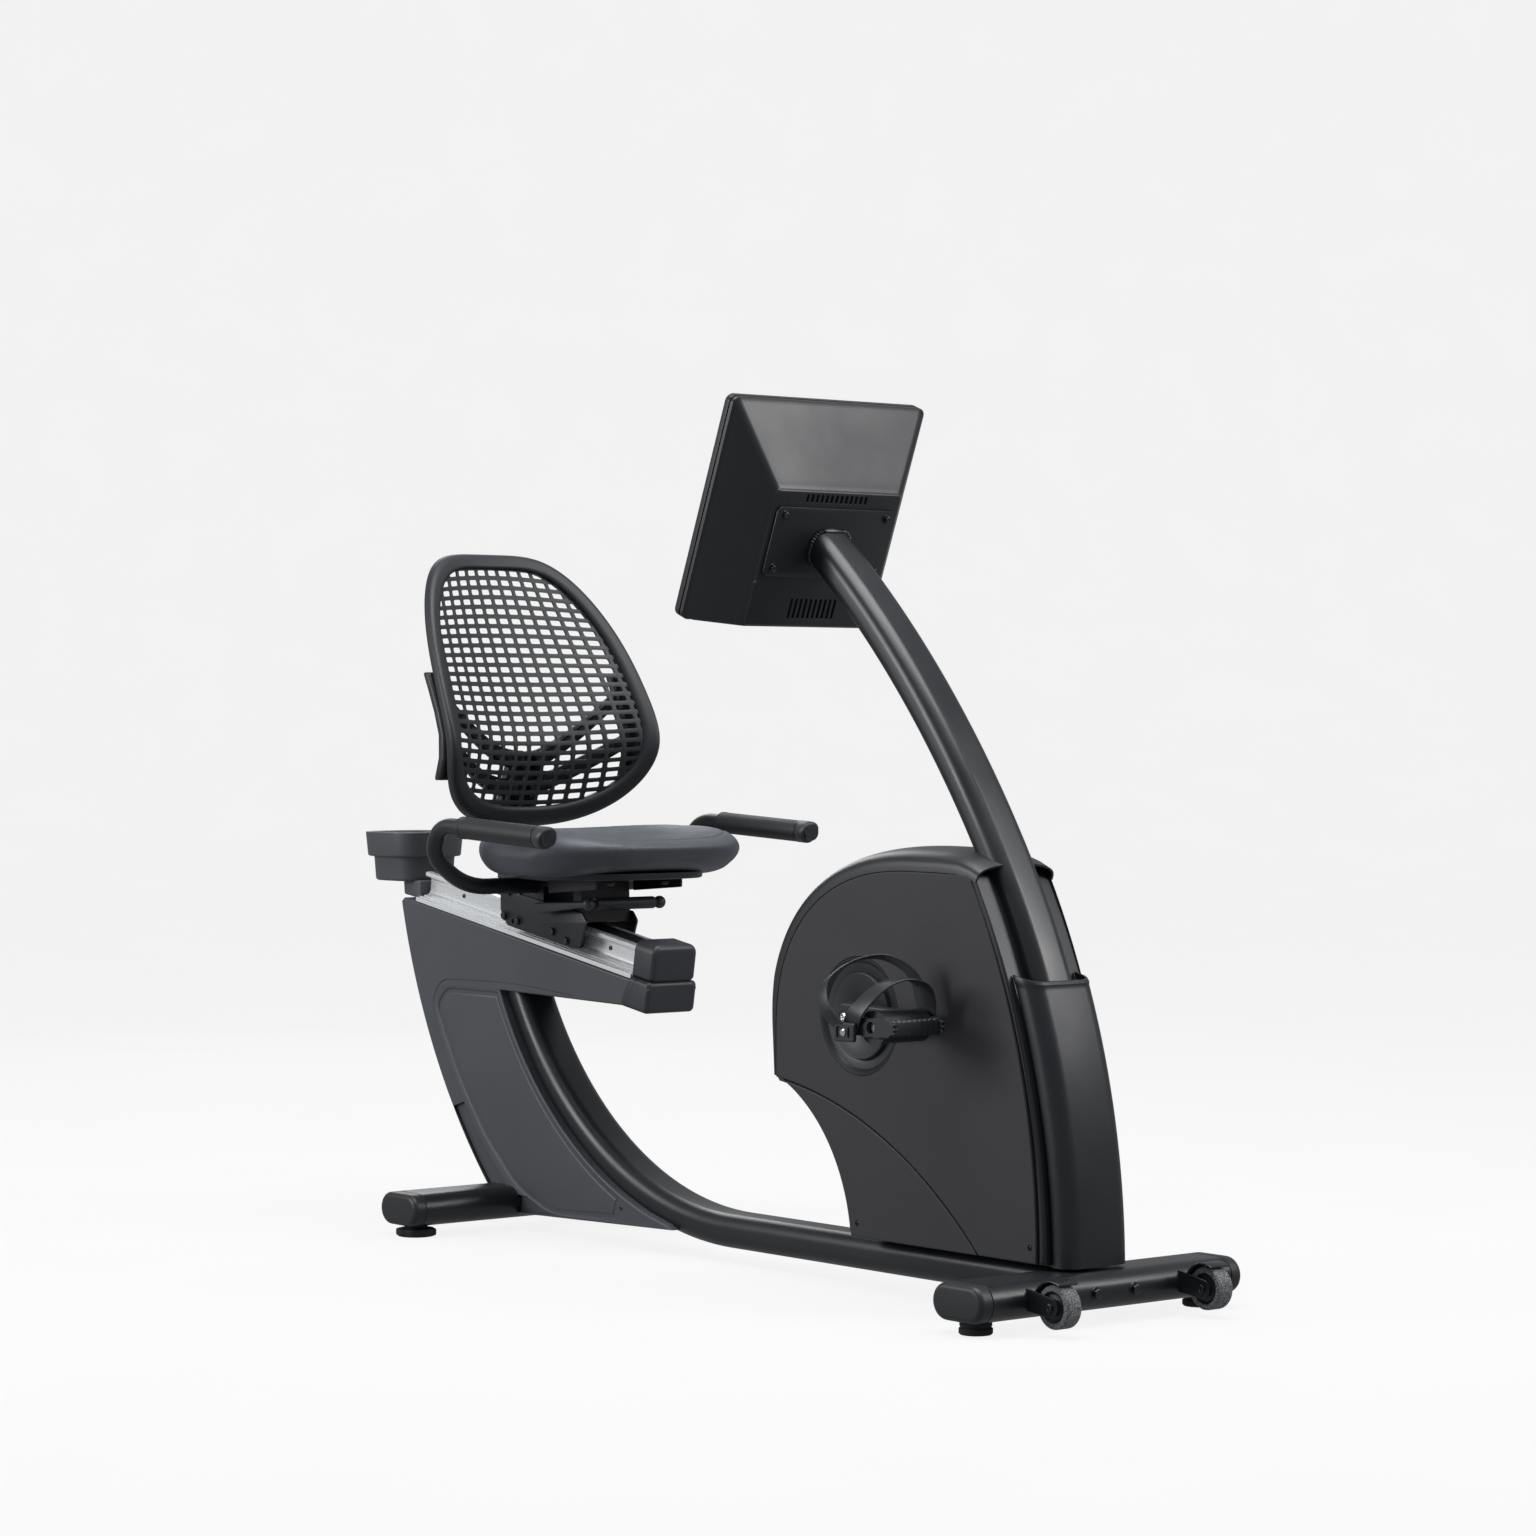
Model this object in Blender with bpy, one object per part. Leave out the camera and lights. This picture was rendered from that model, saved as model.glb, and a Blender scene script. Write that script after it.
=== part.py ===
"""Recumbent exercise bike, as an assembly of separate pieces.

Metres, +Z up, +X towards the console, +Y to the rider's left. Lengths along X are measured from the
middle of the front stabilizer, and one empty, machine, moves everything so that the origin is under
the middle of the whole bike.
"""
import bpy
import bmesh
from math import acos, asin, atan2, cos, hypot, pi, radians, sin, sqrt, tan
from mathutils import Vector

for old in list(bpy.data.objects):
    bpy.data.objects.remove(old, do_unlink=True)

# ---- driving dimensions -------------------------------------------------------------------------
GAP = 0.0003                # air left between two pieces that touch
RUN = 0.0006                # radial clearance of a turning fit

FOOT_HEIGHT = 0.018
STAB_DEPTH, STAB_HEIGHT = 0.098, 0.050          # flat oval tube of both stabilizers
FRONT_STAB_HALF, REAR_STAB_HALF = 0.240, 0.243
REAR_STAB_X = -1.2815
STAB_CAP, STAB_PLUG = 0.022, 0.006
SHEET_WALL = 0.0025

TUBE_WIDTH, TUBE_DEPTH, TUBE_CORNER = 0.070, 0.050, 0.015
BASE_Z = 0.046                                  # middle of the low frame tube
BASE_BEND_X, BASE_BEND_R, BASE_BEND = -0.737, 0.600, radians(65.8)

POST_X, POST_Z, POST_LOWER_R = -1.0544, 0.0617, 1.042   # centre and radius of the lower bend
POST_MIDDLE, POST_UPPER_R, POST_TOP = radians(29.45), 1.694, radians(50.3)
FLANGE_THICK = 0.004
BOOT_HALF, BOOT_FRONT, BOOT_CORNER, BOOT_WALL = 0.058, 0.034, 0.024, 0.003
BOOT_BOTTOM, BOOT_TOP = 0.0722, 0.457

COVER_HALF, COVER_WALL, COVER_BOTTOM = 0.072, 0.003, 0.076
COVER_REAR_X, COVER_REAR_LOW, COVER_REAR_HIGH = -0.571, 0.289, 0.348
COVER_TOP_X, COVER_TOP_Z, COVER_ROUND = -0.277, 0.590, 2.4
COVER_FRONT_TOP = 0.586
SCOOP_X, SCOOP_Z, SCOOP_R = -0.664, 0.050, 0.258        # hollow behind the rider's feet
PANEL_X, PANEL_Z, PANEL_R, PANEL_GAP = -0.653, -0.419, 0.711, 0.0003
CROWN_HEIGHT, CROWN_TAIL = 0.033, 0.012

CRANK_X, CRANK_Z, CRANK_LENGTH = -0.388, 0.385, 0.170
CRANK_AXLE_R, DISH_R, DISH_DEPTH = 0.010, 0.083, 0.006
ARM_INNER, ARM_THICK, ARM_HUB_R, ARM_TIP_R = 0.086, 0.014, 0.021, 0.015
SPINDLE_R, PEDAL_INNER, PEDAL_WIDTH = 0.0075, 0.106, 0.092
PEDAL_LENGTH, PEDAL_THICK, STRAP_WIDTH, STRAP_THICK, STRAP_RISE = 0.100, 0.024, 0.040, 0.003, 0.062
PULLEY_R, PULLEY_Y, PULLEY_WIDTH = 0.100, 0.022, 0.014
FLYWHEEL_X, FLYWHEEL_Z, FLYWHEEL_R, FLYWHEEL_WIDTH = -0.200, 0.215, 0.120, 0.020
HUB_PULLEY_R, BELT_THICK, FLYWHEEL_AXLE_R = 0.022, 0.002, 0.008

WHEEL_X, WHEEL_Y, WHEEL_Z, WHEEL_R, WHEEL_WIDTH, WHEEL_AXLE_R = 0.088, 0.1388, 0.0395, 0.029, 0.026, 0.004
FRONT_FOOT_R, LEVEL_FOOT_R, STUD_R, FOOT_INSET = 0.0225, 0.0305, 0.005, 0.035

RAIL_TILT = radians(9.65)                       # the rail runs down towards the front
RAIL_X, RAIL_Z = -1.279, 0.4646                 # a point on the plane the rail lies on
RAIL_REAR, RAIL_FRONT = -0.245, 0.335           # along the rail from that point
RAIL_HEIGHT, RAIL_FOOT, RAIL_WEB, RAIL_HEAD = 0.048, 0.045, 0.018, 0.030
RAIL_FOOT_THICK, RAIL_HEAD_THICK, INSERT_WIDTH, INSERT_DEPTH = 0.011, 0.008, 0.036, 0.004
RAIL_CAP_LENGTH, RAIL_CAP_HALF, RAIL_CAP_HEIGHT = 0.048, 0.0425, 0.060
BEAM_HALF, BEAM_DEPTH = 0.030, 0.030
LEG_COVER_HALF, LEG_COVER_WALL = 0.047, 0.003
LEG_REAR_X, LEG_REAR_Z, LEG_REAR_R = -0.629, 0.727, 0.9565

PLATE_Y, PLATE_THICK = 0.0470, 0.0035
ROLLER_R, ROLLER_WIDTH = 0.0135, 0.016
HANDLE_R, HANDLE_WALL, HANDLE_Y, HANDLE_CROSS_X, HANDLE_CROSS_Z = 0.0125, 0.002, 0.250, -1.190, 0.5420
GRIP_R, GRIP_REAR_X, GRIP_FRONT_X, GRIP_REAR_Z, GRIP_FRONT_Z = 0.017, -1.095, -0.868, 0.6360, 0.6245
SEAT_X, SEAT_HALF_DEPTH, SEAT_HALF_WIDTH, SEAT_ROUND = -1.060, 0.165, 0.190, 3.0
SEAT_PAN_Z, SEAT_PAN_THICK, CUSHION_THICK = 0.5560, 0.012, 0.070
BACK_X, BACK_WAIST_Z, BACK_SWEEP, BACK_SOFT, BACK_HOLLOW = -1.187, 0.757, 0.54, 0.04, 0.045
BACK_BOTTOM, BACK_TOP, BACK_HALF_WIDTH = 0.630, 1.062, 0.201
BACK_RIM, BACK_DEPTH, BACK_SKIN = 0.024, 0.026, 0.005
SPINE_HALF, SPINE_THICK = 0.032, 0.018
LEVER_R, LEVER_Y, LEVER_PIVOT_X, LEVER_PIVOT_Z = 0.006, 0.068, -1.150, 0.508
LEVER_BAR_X, LEVER_BAR_Z = -1.023, 0.518

TRAY_X, TRAY_HALF_LENGTH, TRAY_HALF_WIDTH, TRAY_ROUND = -1.590, 0.063, 0.061, 4.0
TRAY_BOTTOM, TRAY_STEP, TRAY_TOP, TRAY_WALL, TRAY_LIP = 0.536, 0.576, 0.616, 0.003, 0.006

CONSOLE_X, CONSOLE_Z, CONSOLE_TILT = -0.6016, 1.0996, radians(21.6)
CONSOLE_WIDTH, CONSOLE_HEIGHT, CONSOLE_CORNER = 0.3575, 0.3328, 0.012
BEZEL_DEPTH, BEZEL_RIM, GLASS_THICK = 0.012, 0.016, 0.004
SHELL_DEPTH, SHELL_WALL = 0.075, 0.003
BOX_WIDTH, BOX_HEIGHT, BOX_DROP = 0.231, 0.203, 0.048
BRACKET_WIDTH, BRACKET_HEIGHT, BRACKET_DROP, BRACKET_THICK = 0.220, 0.104, 0.022, 0.004

# ---- sizes that follow from them ----------------------------------------------------------------
STAB_Z = FOOT_HEIGHT + STAB_HEIGHT / 2
BASE_TOP = BASE_Z + TUBE_DEPTH / 2
FRONT_END = WHEEL_X + WHEEL_R
REAR_END = TRAY_X - TRAY_HALF_LENGTH - TRAY_LIP
UP, LEFT = Vector((0, 0, 1)), Vector((0, 1, 0))
SMOOTH_ANGLE = radians(40)


# ---- tools --------------------------------------------------------------------------------------
def frame_empty(name, location, tilt=0.0, parent=None):
    """An empty that carries pieces; tilt turns it about Y."""
    empty = bpy.data.objects.new(name, None)
    bpy.context.collection.objects.link(empty)
    empty.parent = parent
    empty.location = location
    empty.rotation_euler = (0, tilt, 0)
    return empty


def paint(name, colour, roughness, metallic=0.0):
    """A Principled material from a grey or coloured sRGB value in 0 to 1."""
    material = bpy.data.materials.new(name)
    material.use_nodes = True
    shader = material.node_tree.nodes["Principled BSDF"]
    linear = [((c + 0.055) / 1.055) ** 2.4 for c in colour]
    shader.inputs["Base Color"].default_value = (*linear, 1)
    shader.inputs["Roughness"].default_value = roughness
    shader.inputs["Metallic"].default_value = metallic
    return material


def finish(name, mesh, material, parent, origin=(0, 0, 0)):
    """Face the mesh outwards, shade it, and make it an object whose origin is the given point."""
    bmesh.ops.remove_doubles(mesh, verts=mesh.verts, dist=1e-6)
    bmesh.ops.recalc_face_normals(mesh, faces=mesh.faces)
    bmesh.ops.translate(mesh, verts=mesh.verts, vec=-Vector(origin))
    data = bpy.data.meshes.new(name)
    mesh.to_mesh(data)
    mesh.free()
    data.shade_smooth()
    data.set_sharp_from_angle(angle=SMOOTH_ANGLE)
    obj = bpy.data.objects.new(name, data)
    bpy.context.collection.objects.link(obj)
    if material:
        data.materials.append(material)
    obj.parent = parent
    obj.location = origin
    return obj


def loft(name, rings, material=None, parent=None, origin=(0, 0, 0), closed=False):
    """Skin over rings of points; the ends get faces, or the last ring joins the first."""
    mesh = bmesh.new()
    rows = [[mesh.verts.new(point) for point in ring] for ring in rings]
    pairs = list(zip(rows, rows[1:]))
    if closed:
        pairs.append((rows[-1], rows[0]))
    for one, two in pairs:
        for k in range(len(one)):
            n = (k + 1) % len(one)
            mesh.faces.new((one[k], one[n], two[n], two[k]))
    if not closed:
        mesh.faces.new(rows[0])
        mesh.faces.new(rows[-1])
    return finish(name, mesh, material, parent, origin)


def prism(name, outline, y0, y1, material=None, parent=None, origin=(0, 0, 0)):
    """An (x, z) outline extruded along Y."""
    rings = [[(x, y, z) for x, z in outline] for y in (y0, y1)]
    return loft(name, rings, material, parent, origin)


def turned(name, profile, centre, material=None, parent=None, steps=24):
    """A closed (radius, y) profile turned about the Y axis through centre; radius 0 closes a pole."""
    centre = Vector(centre)
    bored = min(radius for radius, _ in profile) > 0
    rings = []
    for radius, y in profile:
        radius = max(radius, 1e-7)
        rings.append([centre + Vector((radius * cos(2 * pi * k / steps), y, radius
                                       * sin(2 * pi * k / steps)))
                      for k in range(steps)])
    return loft(name, rings, material, parent, centre, closed=bored)


def pin(name, radius, y0, y1, x, z, material=None, parent=None, steps=20):
    """A round bar along Y."""
    return turned(name, [(0, y0), (radius, y0), (radius, y1), (0, y1)], (x, 0, z), material, parent, steps)


def drum(name, radius, z0, z1, x, y, material=None, parent=None, steps=20, lobes=0, lobe=0.0):
    """A round or lobed bar along Z."""
    rings = []
    for z in (z0, z1):
        rings.append([(x + radius * (1 + lobe * cos(lobes * a)) * cos(a), y + radius
                       * (1 + lobe * cos(lobes * a)) * sin(a), z)
                      for a in (2 * pi * k / steps for k in range(steps))])
    return loft(name, rings, material, parent, (x, y, z0))


def boolean(target, operation, tool):
    """A live Boolean with a hidden tool object, which moves with its target."""
    tool.hide_render = True
    tool.display_type = 'WIRE'
    modifier = target.modifiers.new(tool.name, 'BOOLEAN')
    modifier.operation = operation
    modifier.object = tool
    modifier.solver = 'EXACT'
    return target


def cut(target, *tools):
    for tool in tools:
        boolean(target, 'DIFFERENCE', tool)
    return target


def join(target, *tools):
    for tool in tools:
        boolean(target, 'UNION', tool)
    return target


def arc(x, z, radius, start, end, steps):
    """Points of an arc from angle start to end, both included."""
    return [(x + radius * cos(start + (end - start) * k / steps), z + radius
             * sin(start + (end - start) * k / steps))
            for k in range(steps + 1)]


def rounded_rectangle(width, height, corner, steps=2):
    """A rectangle about the origin with round corners, counter-clockwise."""
    points = []
    for k, (sx, sy) in enumerate(((1, -1), (1, 1), (-1, 1), (-1, -1))):
        start = -pi / 2 + k * pi / 2
        points += arc(sx * (width / 2 - corner), sy * (height / 2 - corner), corner, start, start + pi / 2,
                      steps)
    return points


def superellipse(half_x, half_y, power, steps=28):
    """A rounded box shape: |x / half_x| ** power + |y / half_y| ** power = 1."""
    points = []
    for k in range(steps):
        c, s = cos(2 * pi * k / steps), sin(2 * pi * k / steps)
        points.append((half_x * abs(c) ** (2 / power) * (1 if c > 0 else -1),
                       half_y * abs(s) ** (2 / power) * (1 if s > 0 else -1)))
    return points


def inset(outline, distance):
    """The outline moved inwards by distance, for points in counter-clockwise order."""
    result = []
    for k, (x, z) in enumerate(outline):
        x0, z0 = outline[k - 1]
        x1, z1 = outline[(k + 1) % len(outline)]
        before, after = Vector((x - x0, z - z0)).normalized(), Vector((x1 - x, z1 - z)).normalized()
        middle = Vector((-before.y - after.y, before.x + after.x)).normalized()
        reach = distance / max(0.4, middle.dot(Vector((-before.y, before.x))))
        result.append((x + middle.x * reach, z + middle.y * reach))
    return result


def section(shape, centre, radial):
    """A tube section: the shape's first value goes along Y and its second along radial."""
    return [Vector(centre) + LEFT * a + radial * b for a, b in shape]


def hollow(name, outer, inner, material, parent):
    """An open tube from its outer and inner rings."""
    return loft(name, outer + inner[::-1], material, parent, closed=True)


def slide_to_plane(ring, direction, point, normal):
    """The ring's points moved along direction until they lie on a plane."""
    return [p + direction * ((Vector(point) - p).dot(normal) / direction.dot(normal)) for p in ring]


def round_path(corners, radius, steps=3):
    """A polyline through corners, with each inner corner rounded to radius."""
    corners = [Vector(c) for c in corners]
    path = [corners[0]]
    for before, corner, after in zip(corners, corners[1:], corners[2:]):
        a, b = (before - corner).normalized(), (after - corner).normalized()
        half = acos(max(-1, min(1, a.dot(b)))) / 2
        run = min(radius / tan(half), 0.48 * min((before - corner).length, (after - corner).length))
        start, end = corner + a * run, corner + b * run
        path += [start * (1 - t) ** 2 + corner * 2 * t * (1 - t) + end * t ** 2
                 for t in (k / steps for k in range(steps + 1))]
    return path + [corners[-1]]


def bar_rings(path, radius, sides):
    """Round sections along a path, each turned as little as can be from the one before."""
    rings, across = [], None
    for k, point in enumerate(path):
        ahead = (path[min(k + 1, len(path) - 1)] - path[max(k - 1, 0)]).normalized()
        across = (across or ahead.orthogonal())
        across = (across - ahead * across.dot(ahead)).normalized()
        other = ahead.cross(across)
        rings.append([point + (across * cos(a) + other * sin(a)) * radius
                      for a in (2 * pi * n / sides for n in range(sides))])
    return rings


# ---- frames that carry the pieces ---------------------------------------------------------------
machine = frame_empty("machine", (-(FRONT_END + REAR_END) / 2, 0, 0))
rail_frame = frame_empty("rail_frame", (RAIL_X, 0, RAIL_Z), RAIL_TILT, machine)
console_frame = frame_empty("console_frame", (CONSOLE_X, 0, CONSOLE_Z), CONSOLE_TILT, machine)

steel_paint = paint("satin_black_paint", (0.15, 0.16, 0.18), 0.42, 0.2)
cover_plastic = paint("cover_plastic", (0.22, 0.22, 0.23), 0.6)
leg_plastic = paint("leg_cover_plastic", (0.25, 0.25, 0.27), 0.55)
black_plastic = paint("black_plastic", (0.12, 0.12, 0.13), 0.5)
rubber = paint("rubber", (0.08, 0.08, 0.08), 0.85)
tread = paint("grey_tread", (0.42, 0.43, 0.44), 0.9)
aluminium = paint("aluminium", (0.80, 0.81, 0.82), 0.35, 1.0)
bare_steel = paint("bare_steel", (0.62, 0.62, 0.63), 0.35, 1.0)
cast_iron = paint("cast_iron", (0.30, 0.30, 0.31), 0.6, 1.0)
cushion_skin = paint("cushion_skin", (0.20, 0.21, 0.23), 0.65)
screen_glass = paint("screen_glass", (0.02, 0.02, 0.03), 0.08)


# ---- stabilizers, caps, feet and transport wheels -----------------------------------------------
def oval(shrink=0.0, steps=6):
    """The stabilizer tube's flat oval section, as (x, z) about its middle."""
    radius = STAB_HEIGHT / 2 - shrink
    offset = (STAB_DEPTH - STAB_HEIGHT) / 2
    return (arc(offset, 0, radius, -pi / 2, pi / 2, steps)
            + arc(-offset, 0, radius, pi / 2, 3 * pi / 2, steps))


def oval_ring(x, y, shrink=0.0):
    return [(x + a, y, STAB_Z + b) for a, b in oval(shrink)]


def stabilizer(name, x, half):
    reach = half - STAB_CAP - GAP
    outer = [oval_ring(x, -reach), oval_ring(x, reach)]
    inner = [oval_ring(x, -reach, SHEET_WALL), oval_ring(x, reach, SHEET_WALL)]
    return hollow(name, outer, inner, steel_paint, machine)


def stabilizer_cap(name, x, half, side):
    """A moulded end cap: a crowned end and a plug that goes into the tube."""
    plug, joint = half - STAB_CAP - STAB_PLUG, half - STAB_CAP
    rings = [oval_ring(x, side * plug, SHEET_WALL + GAP), oval_ring(x, side * joint, SHEET_WALL + GAP),
             oval_ring(x, side * joint), oval_ring(x, side * (half - 0.007)),
             oval_ring(x, side * (half - 0.002), 0.002), oval_ring(x, side * half, 0.007)]
    return loft(name, rings, black_plastic, machine)


def wheel_fork(name, side):
    """A pressed fork: two cheeks that hold the axle, under a fender that arches over the tyre."""
    cheek, wall, fender = 0.0175, 0.0025, WHEEL_R + 0.006
    root = STAB_DEPTH / 2 - 0.008
    outline = [(root, STAB_Z - 0.010)] + arc(WHEEL_X, WHEEL_Z, 0.012, -pi / 2 - 0.4, pi / 4, 6)
    outline += arc(WHEEL_X, WHEEL_Z, fender, radians(65), radians(140), 7) + [(root, STAB_Z + 0.020)]
    middle = side * WHEEL_Y
    fork = prism(name, outline, middle - cheek, middle + cheek, steel_paint, machine)
    room = turned(name + "_room", [(0, -cheek + wall), (fender - wall, -cheek + wall),
                                   (fender - wall, cheek - wall), (0, cheek - wall)],
                  (WHEEL_X, middle, WHEEL_Z), parent=machine, steps=32)
    axle = pin(name + "_axle", WHEEL_AXLE_R, middle - cheek - 0.003, middle + cheek + 0.003, WHEEL_X,
               WHEEL_Z, parent=machine, steps=12)
    cut(fork, room)
    return join(fork, axle)


front_stabilizer = stabilizer("front_stabilizer", 0, FRONT_STAB_HALF)
rear_stabilizer = stabilizer("rear_stabilizer", REAR_STAB_X, REAR_STAB_HALF)
for side, hand in ((-1, "right"), (1, "left")):
    stabilizer_cap("front_end_cap_" + hand, 0, FRONT_STAB_HALF, side)
    stabilizer_cap("rear_end_cap_" + hand, REAR_STAB_X, REAR_STAB_HALF, side)
    join(front_stabilizer, wheel_fork("wheel_fork_" + hand, side))
    edge = 0.004
    turned("transport_wheel_" + hand,
           [(WHEEL_AXLE_R + RUN, -WHEEL_WIDTH / 2), (WHEEL_R - edge, -WHEEL_WIDTH / 2),
            (WHEEL_R, -WHEEL_WIDTH / 2 + edge),
            (WHEEL_R, WHEEL_WIDTH / 2 - edge), (WHEEL_R - edge, WHEEL_WIDTH / 2),
            (WHEEL_AXLE_R + RUN, WHEEL_WIDTH / 2)],
           (WHEEL_X, side * WHEEL_Y, WHEEL_Z), tread, machine, 26)
    drum("front_foot_" + hand, FRONT_FOOT_R, 0, FOOT_HEIGHT - GAP, 0, side * (FRONT_STAB_HALF - FOOT_INSET),
         rubber, machine)
    foot_y = side * (REAR_STAB_HALF - FOOT_INSET)
    foot = drum("leveling_foot_" + hand, LEVEL_FOOT_R, 0, FOOT_HEIGHT - GAP, REAR_STAB_X, foot_y, rubber,
                machine, 32, 8, 0.05)
    join(foot, drum("foot_stud_" + hand, STUD_R, 0.006, STAB_Z, REAR_STAB_X, foot_y, parent=machine,
                    steps=12))
    cut(rear_stabilizer, drum("stud_hole_" + hand, STUD_R + RUN, 0, STAB_Z, REAR_STAB_X, foot_y,
                              parent=machine, steps=12))


# ---- frame: base tube, rear frame and post ------------------------------------------------------
def base_rings(grow=0.0, end_plane=None):
    """Sections of the low tube: straight from the front, then bending up into the rear beam."""
    shape = rounded_rectangle(TUBE_WIDTH + 2 * grow, TUBE_DEPTH + 2 * grow, TUBE_CORNER + grow)
    rings = [section(shape, (x, 0, BASE_Z), UP) for x in (-0.028, BASE_BEND_X / 2, BASE_BEND_X + 0.02)]
    bends = 12
    for k in range(bends + 1):
        angle = BASE_BEND * k / bends
        centre = (BASE_BEND_X - BASE_BEND_R * sin(angle), 0, BASE_Z + BASE_BEND_R * (1 - cos(angle)))
        rings.append(section(shape, centre, Vector((sin(angle), 0, cos(angle)))))
    if end_plane:
        rings[-1] = slide_to_plane(rings[-1], Vector((-cos(BASE_BEND), 0, sin(BASE_BEND))), *end_plane)
    return rings


def post_station(angle):
    """Centre, outward direction and forward-up tangent of the post at an angle of its bends."""
    radial = Vector((cos(angle), 0, sin(angle)))
    centre = Vector((POST_X, 0, POST_Z)) + radial * POST_LOWER_R
    if angle > POST_MIDDLE:
        bend = Vector((cos(POST_MIDDLE), 0, sin(POST_MIDDLE)))
        centre = Vector((POST_X, 0, POST_Z)) + bend * (POST_LOWER_R - POST_UPPER_R) + radial * POST_UPPER_R
    return centre, radial, Vector((-sin(angle), 0, cos(angle)))


def post_angle(z):
    """The bend angle at which the post's middle is at height z."""
    if z <= POST_Z + POST_LOWER_R * sin(POST_MIDDLE):
        return asin((z - POST_Z) / POST_LOWER_R)
    return asin((z - POST_Z + (POST_UPPER_R - POST_LOWER_R) * sin(POST_MIDDLE)) / POST_UPPER_R)


def post_rings(grow, bottom, top_angle, steps):
    shape = rounded_rectangle(TUBE_WIDTH + 2 * grow, TUBE_DEPTH + 2 * grow, TUBE_CORNER + grow)
    start = post_angle(bottom)
    rings, tangents = [], []
    for k in range(steps + 1):
        centre, radial, tangent = post_station(start + (top_angle - start) * k / steps)
        rings.append(section(shape, centre, radial))
        tangents.append(tangent)
    rings[0] = slide_to_plane(rings[0], tangents[0], (0, 0, bottom), UP)
    return rings, tangents[-1]


def rail_point(along, height, y=0.0):
    """A point given along and above the plane of the rail."""
    return Vector((RAIL_X + along * cos(RAIL_TILT) + height * sin(RAIL_TILT), y,
                   RAIL_Z - along * sin(RAIL_TILT) + height * cos(RAIL_TILT)))


rail_up = Vector((sin(RAIL_TILT), 0, cos(RAIL_TILT)))
under_beam = (rail_point(0, -BEAM_DEPTH - 2 * GAP), rail_up)
base_tube = hollow("base_tube", base_rings(0, under_beam), base_rings(-SHEET_WALL, under_beam), steel_paint,
                   machine)
cope = loft("stabilizer_cope", [oval_ring(0, -0.06, -GAP), oval_ring(0, 0.06, -GAP)], parent=machine)
cut(base_tube, cope)

BEAM_REAR, BEAM_FRONT = RAIL_REAR - 0.010, RAIL_FRONT + RAIL_CAP_LENGTH - 0.004


def beam_ring(along, shrink=0.0):
    half, depth = BEAM_HALF - shrink, BEAM_DEPTH / 2 - shrink
    middle = -GAP - BEAM_DEPTH / 2
    return [rail_point(along, middle + b, a)
            for a, b in rounded_rectangle(2 * half, 2 * depth, 0.006 - shrink / 2, 2)]


rear_frame = hollow("rear_frame", [beam_ring(BEAM_REAR), beam_ring(BEAM_FRONT)],
                    [beam_ring(BEAM_REAR, SHEET_WALL), beam_ring(BEAM_FRONT, SHEET_WALL)], steel_paint,
                    machine)
LEG_LEAN = radians(20)
leg_foot = Vector((REAR_STAB_X - 0.004, 0, STAB_Z + STAB_HEIGHT / 2 + GAP))
leg_direction = Vector((-sin(LEG_LEAN), 0, cos(LEG_LEAN)))
leg_across = Vector((cos(LEG_LEAN), 0, sin(LEG_LEAN)))


def leg_rings(shrink):
    shape = rounded_rectangle(0.060 - 2 * shrink, 0.044 - 2 * shrink, 0.008 - shrink, 2)
    ring = section(shape, leg_foot, leg_across)
    ends = ((leg_foot, UP), (rail_point(0, -GAP - BEAM_DEPTH + SHEET_WALL / 2), rail_up))
    return [slide_to_plane(ring, leg_direction, point, normal) for point, normal in ends]


join(rear_frame, hollow("rear_leg", leg_rings(0), leg_rings(SHEET_WALL), None, machine))

bracket_depth = SHELL_DEPTH + GAP + BRACKET_THICK
console_normal = Vector((cos(CONSOLE_TILT), 0, -sin(CONSOLE_TILT)))
behind_console = Vector((CONSOLE_X, 0, CONSOLE_Z)) + console_normal * (bracket_depth + GAP)
FLANGE_BOTTOM = BASE_TOP + GAP
outer, top_tangent = post_rings(0, FLANGE_BOTTOM + FLANGE_THICK / 2, POST_TOP, 16)
inner, _ = post_rings(-SHEET_WALL, FLANGE_BOTTOM + FLANGE_THICK / 2, POST_TOP, 16)
for rings in (outer, inner):
    rings[-1] = slide_to_plane(rings[-1], top_tangent, behind_console, console_normal)
upright_post = hollow("upright_post", outer, inner, steel_paint, machine)
flange = [(x - 0.024, y) for x, y in rounded_rectangle(0.072, 0.090, 0.008)]
join(upright_post, loft("post_flange", [[(x, y, z) for x, y in flange]
                                        for z in (FLANGE_BOTTOM, FLANGE_BOTTOM + FLANGE_THICK)],
                        parent=machine))


# ---- post boot ----------------------------------------------------------------------------------
def boot_section(thin, steps=4):
    """Half of the U-shaped wall, as (y, outward), from the rear edge round to the other rear edge."""
    half, front, corner = BOOT_HALF - thin, BOOT_FRONT - thin, BOOT_CORNER - thin
    right = [(-half, 0.001)] + [(-half + corner - corner * cos(a), front - corner + corner * sin(a))
                                for a in (pi / 2 * k / steps for k in range(steps + 1))]
    return right + [(-y, r) for y, r in right[::-1]]


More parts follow.
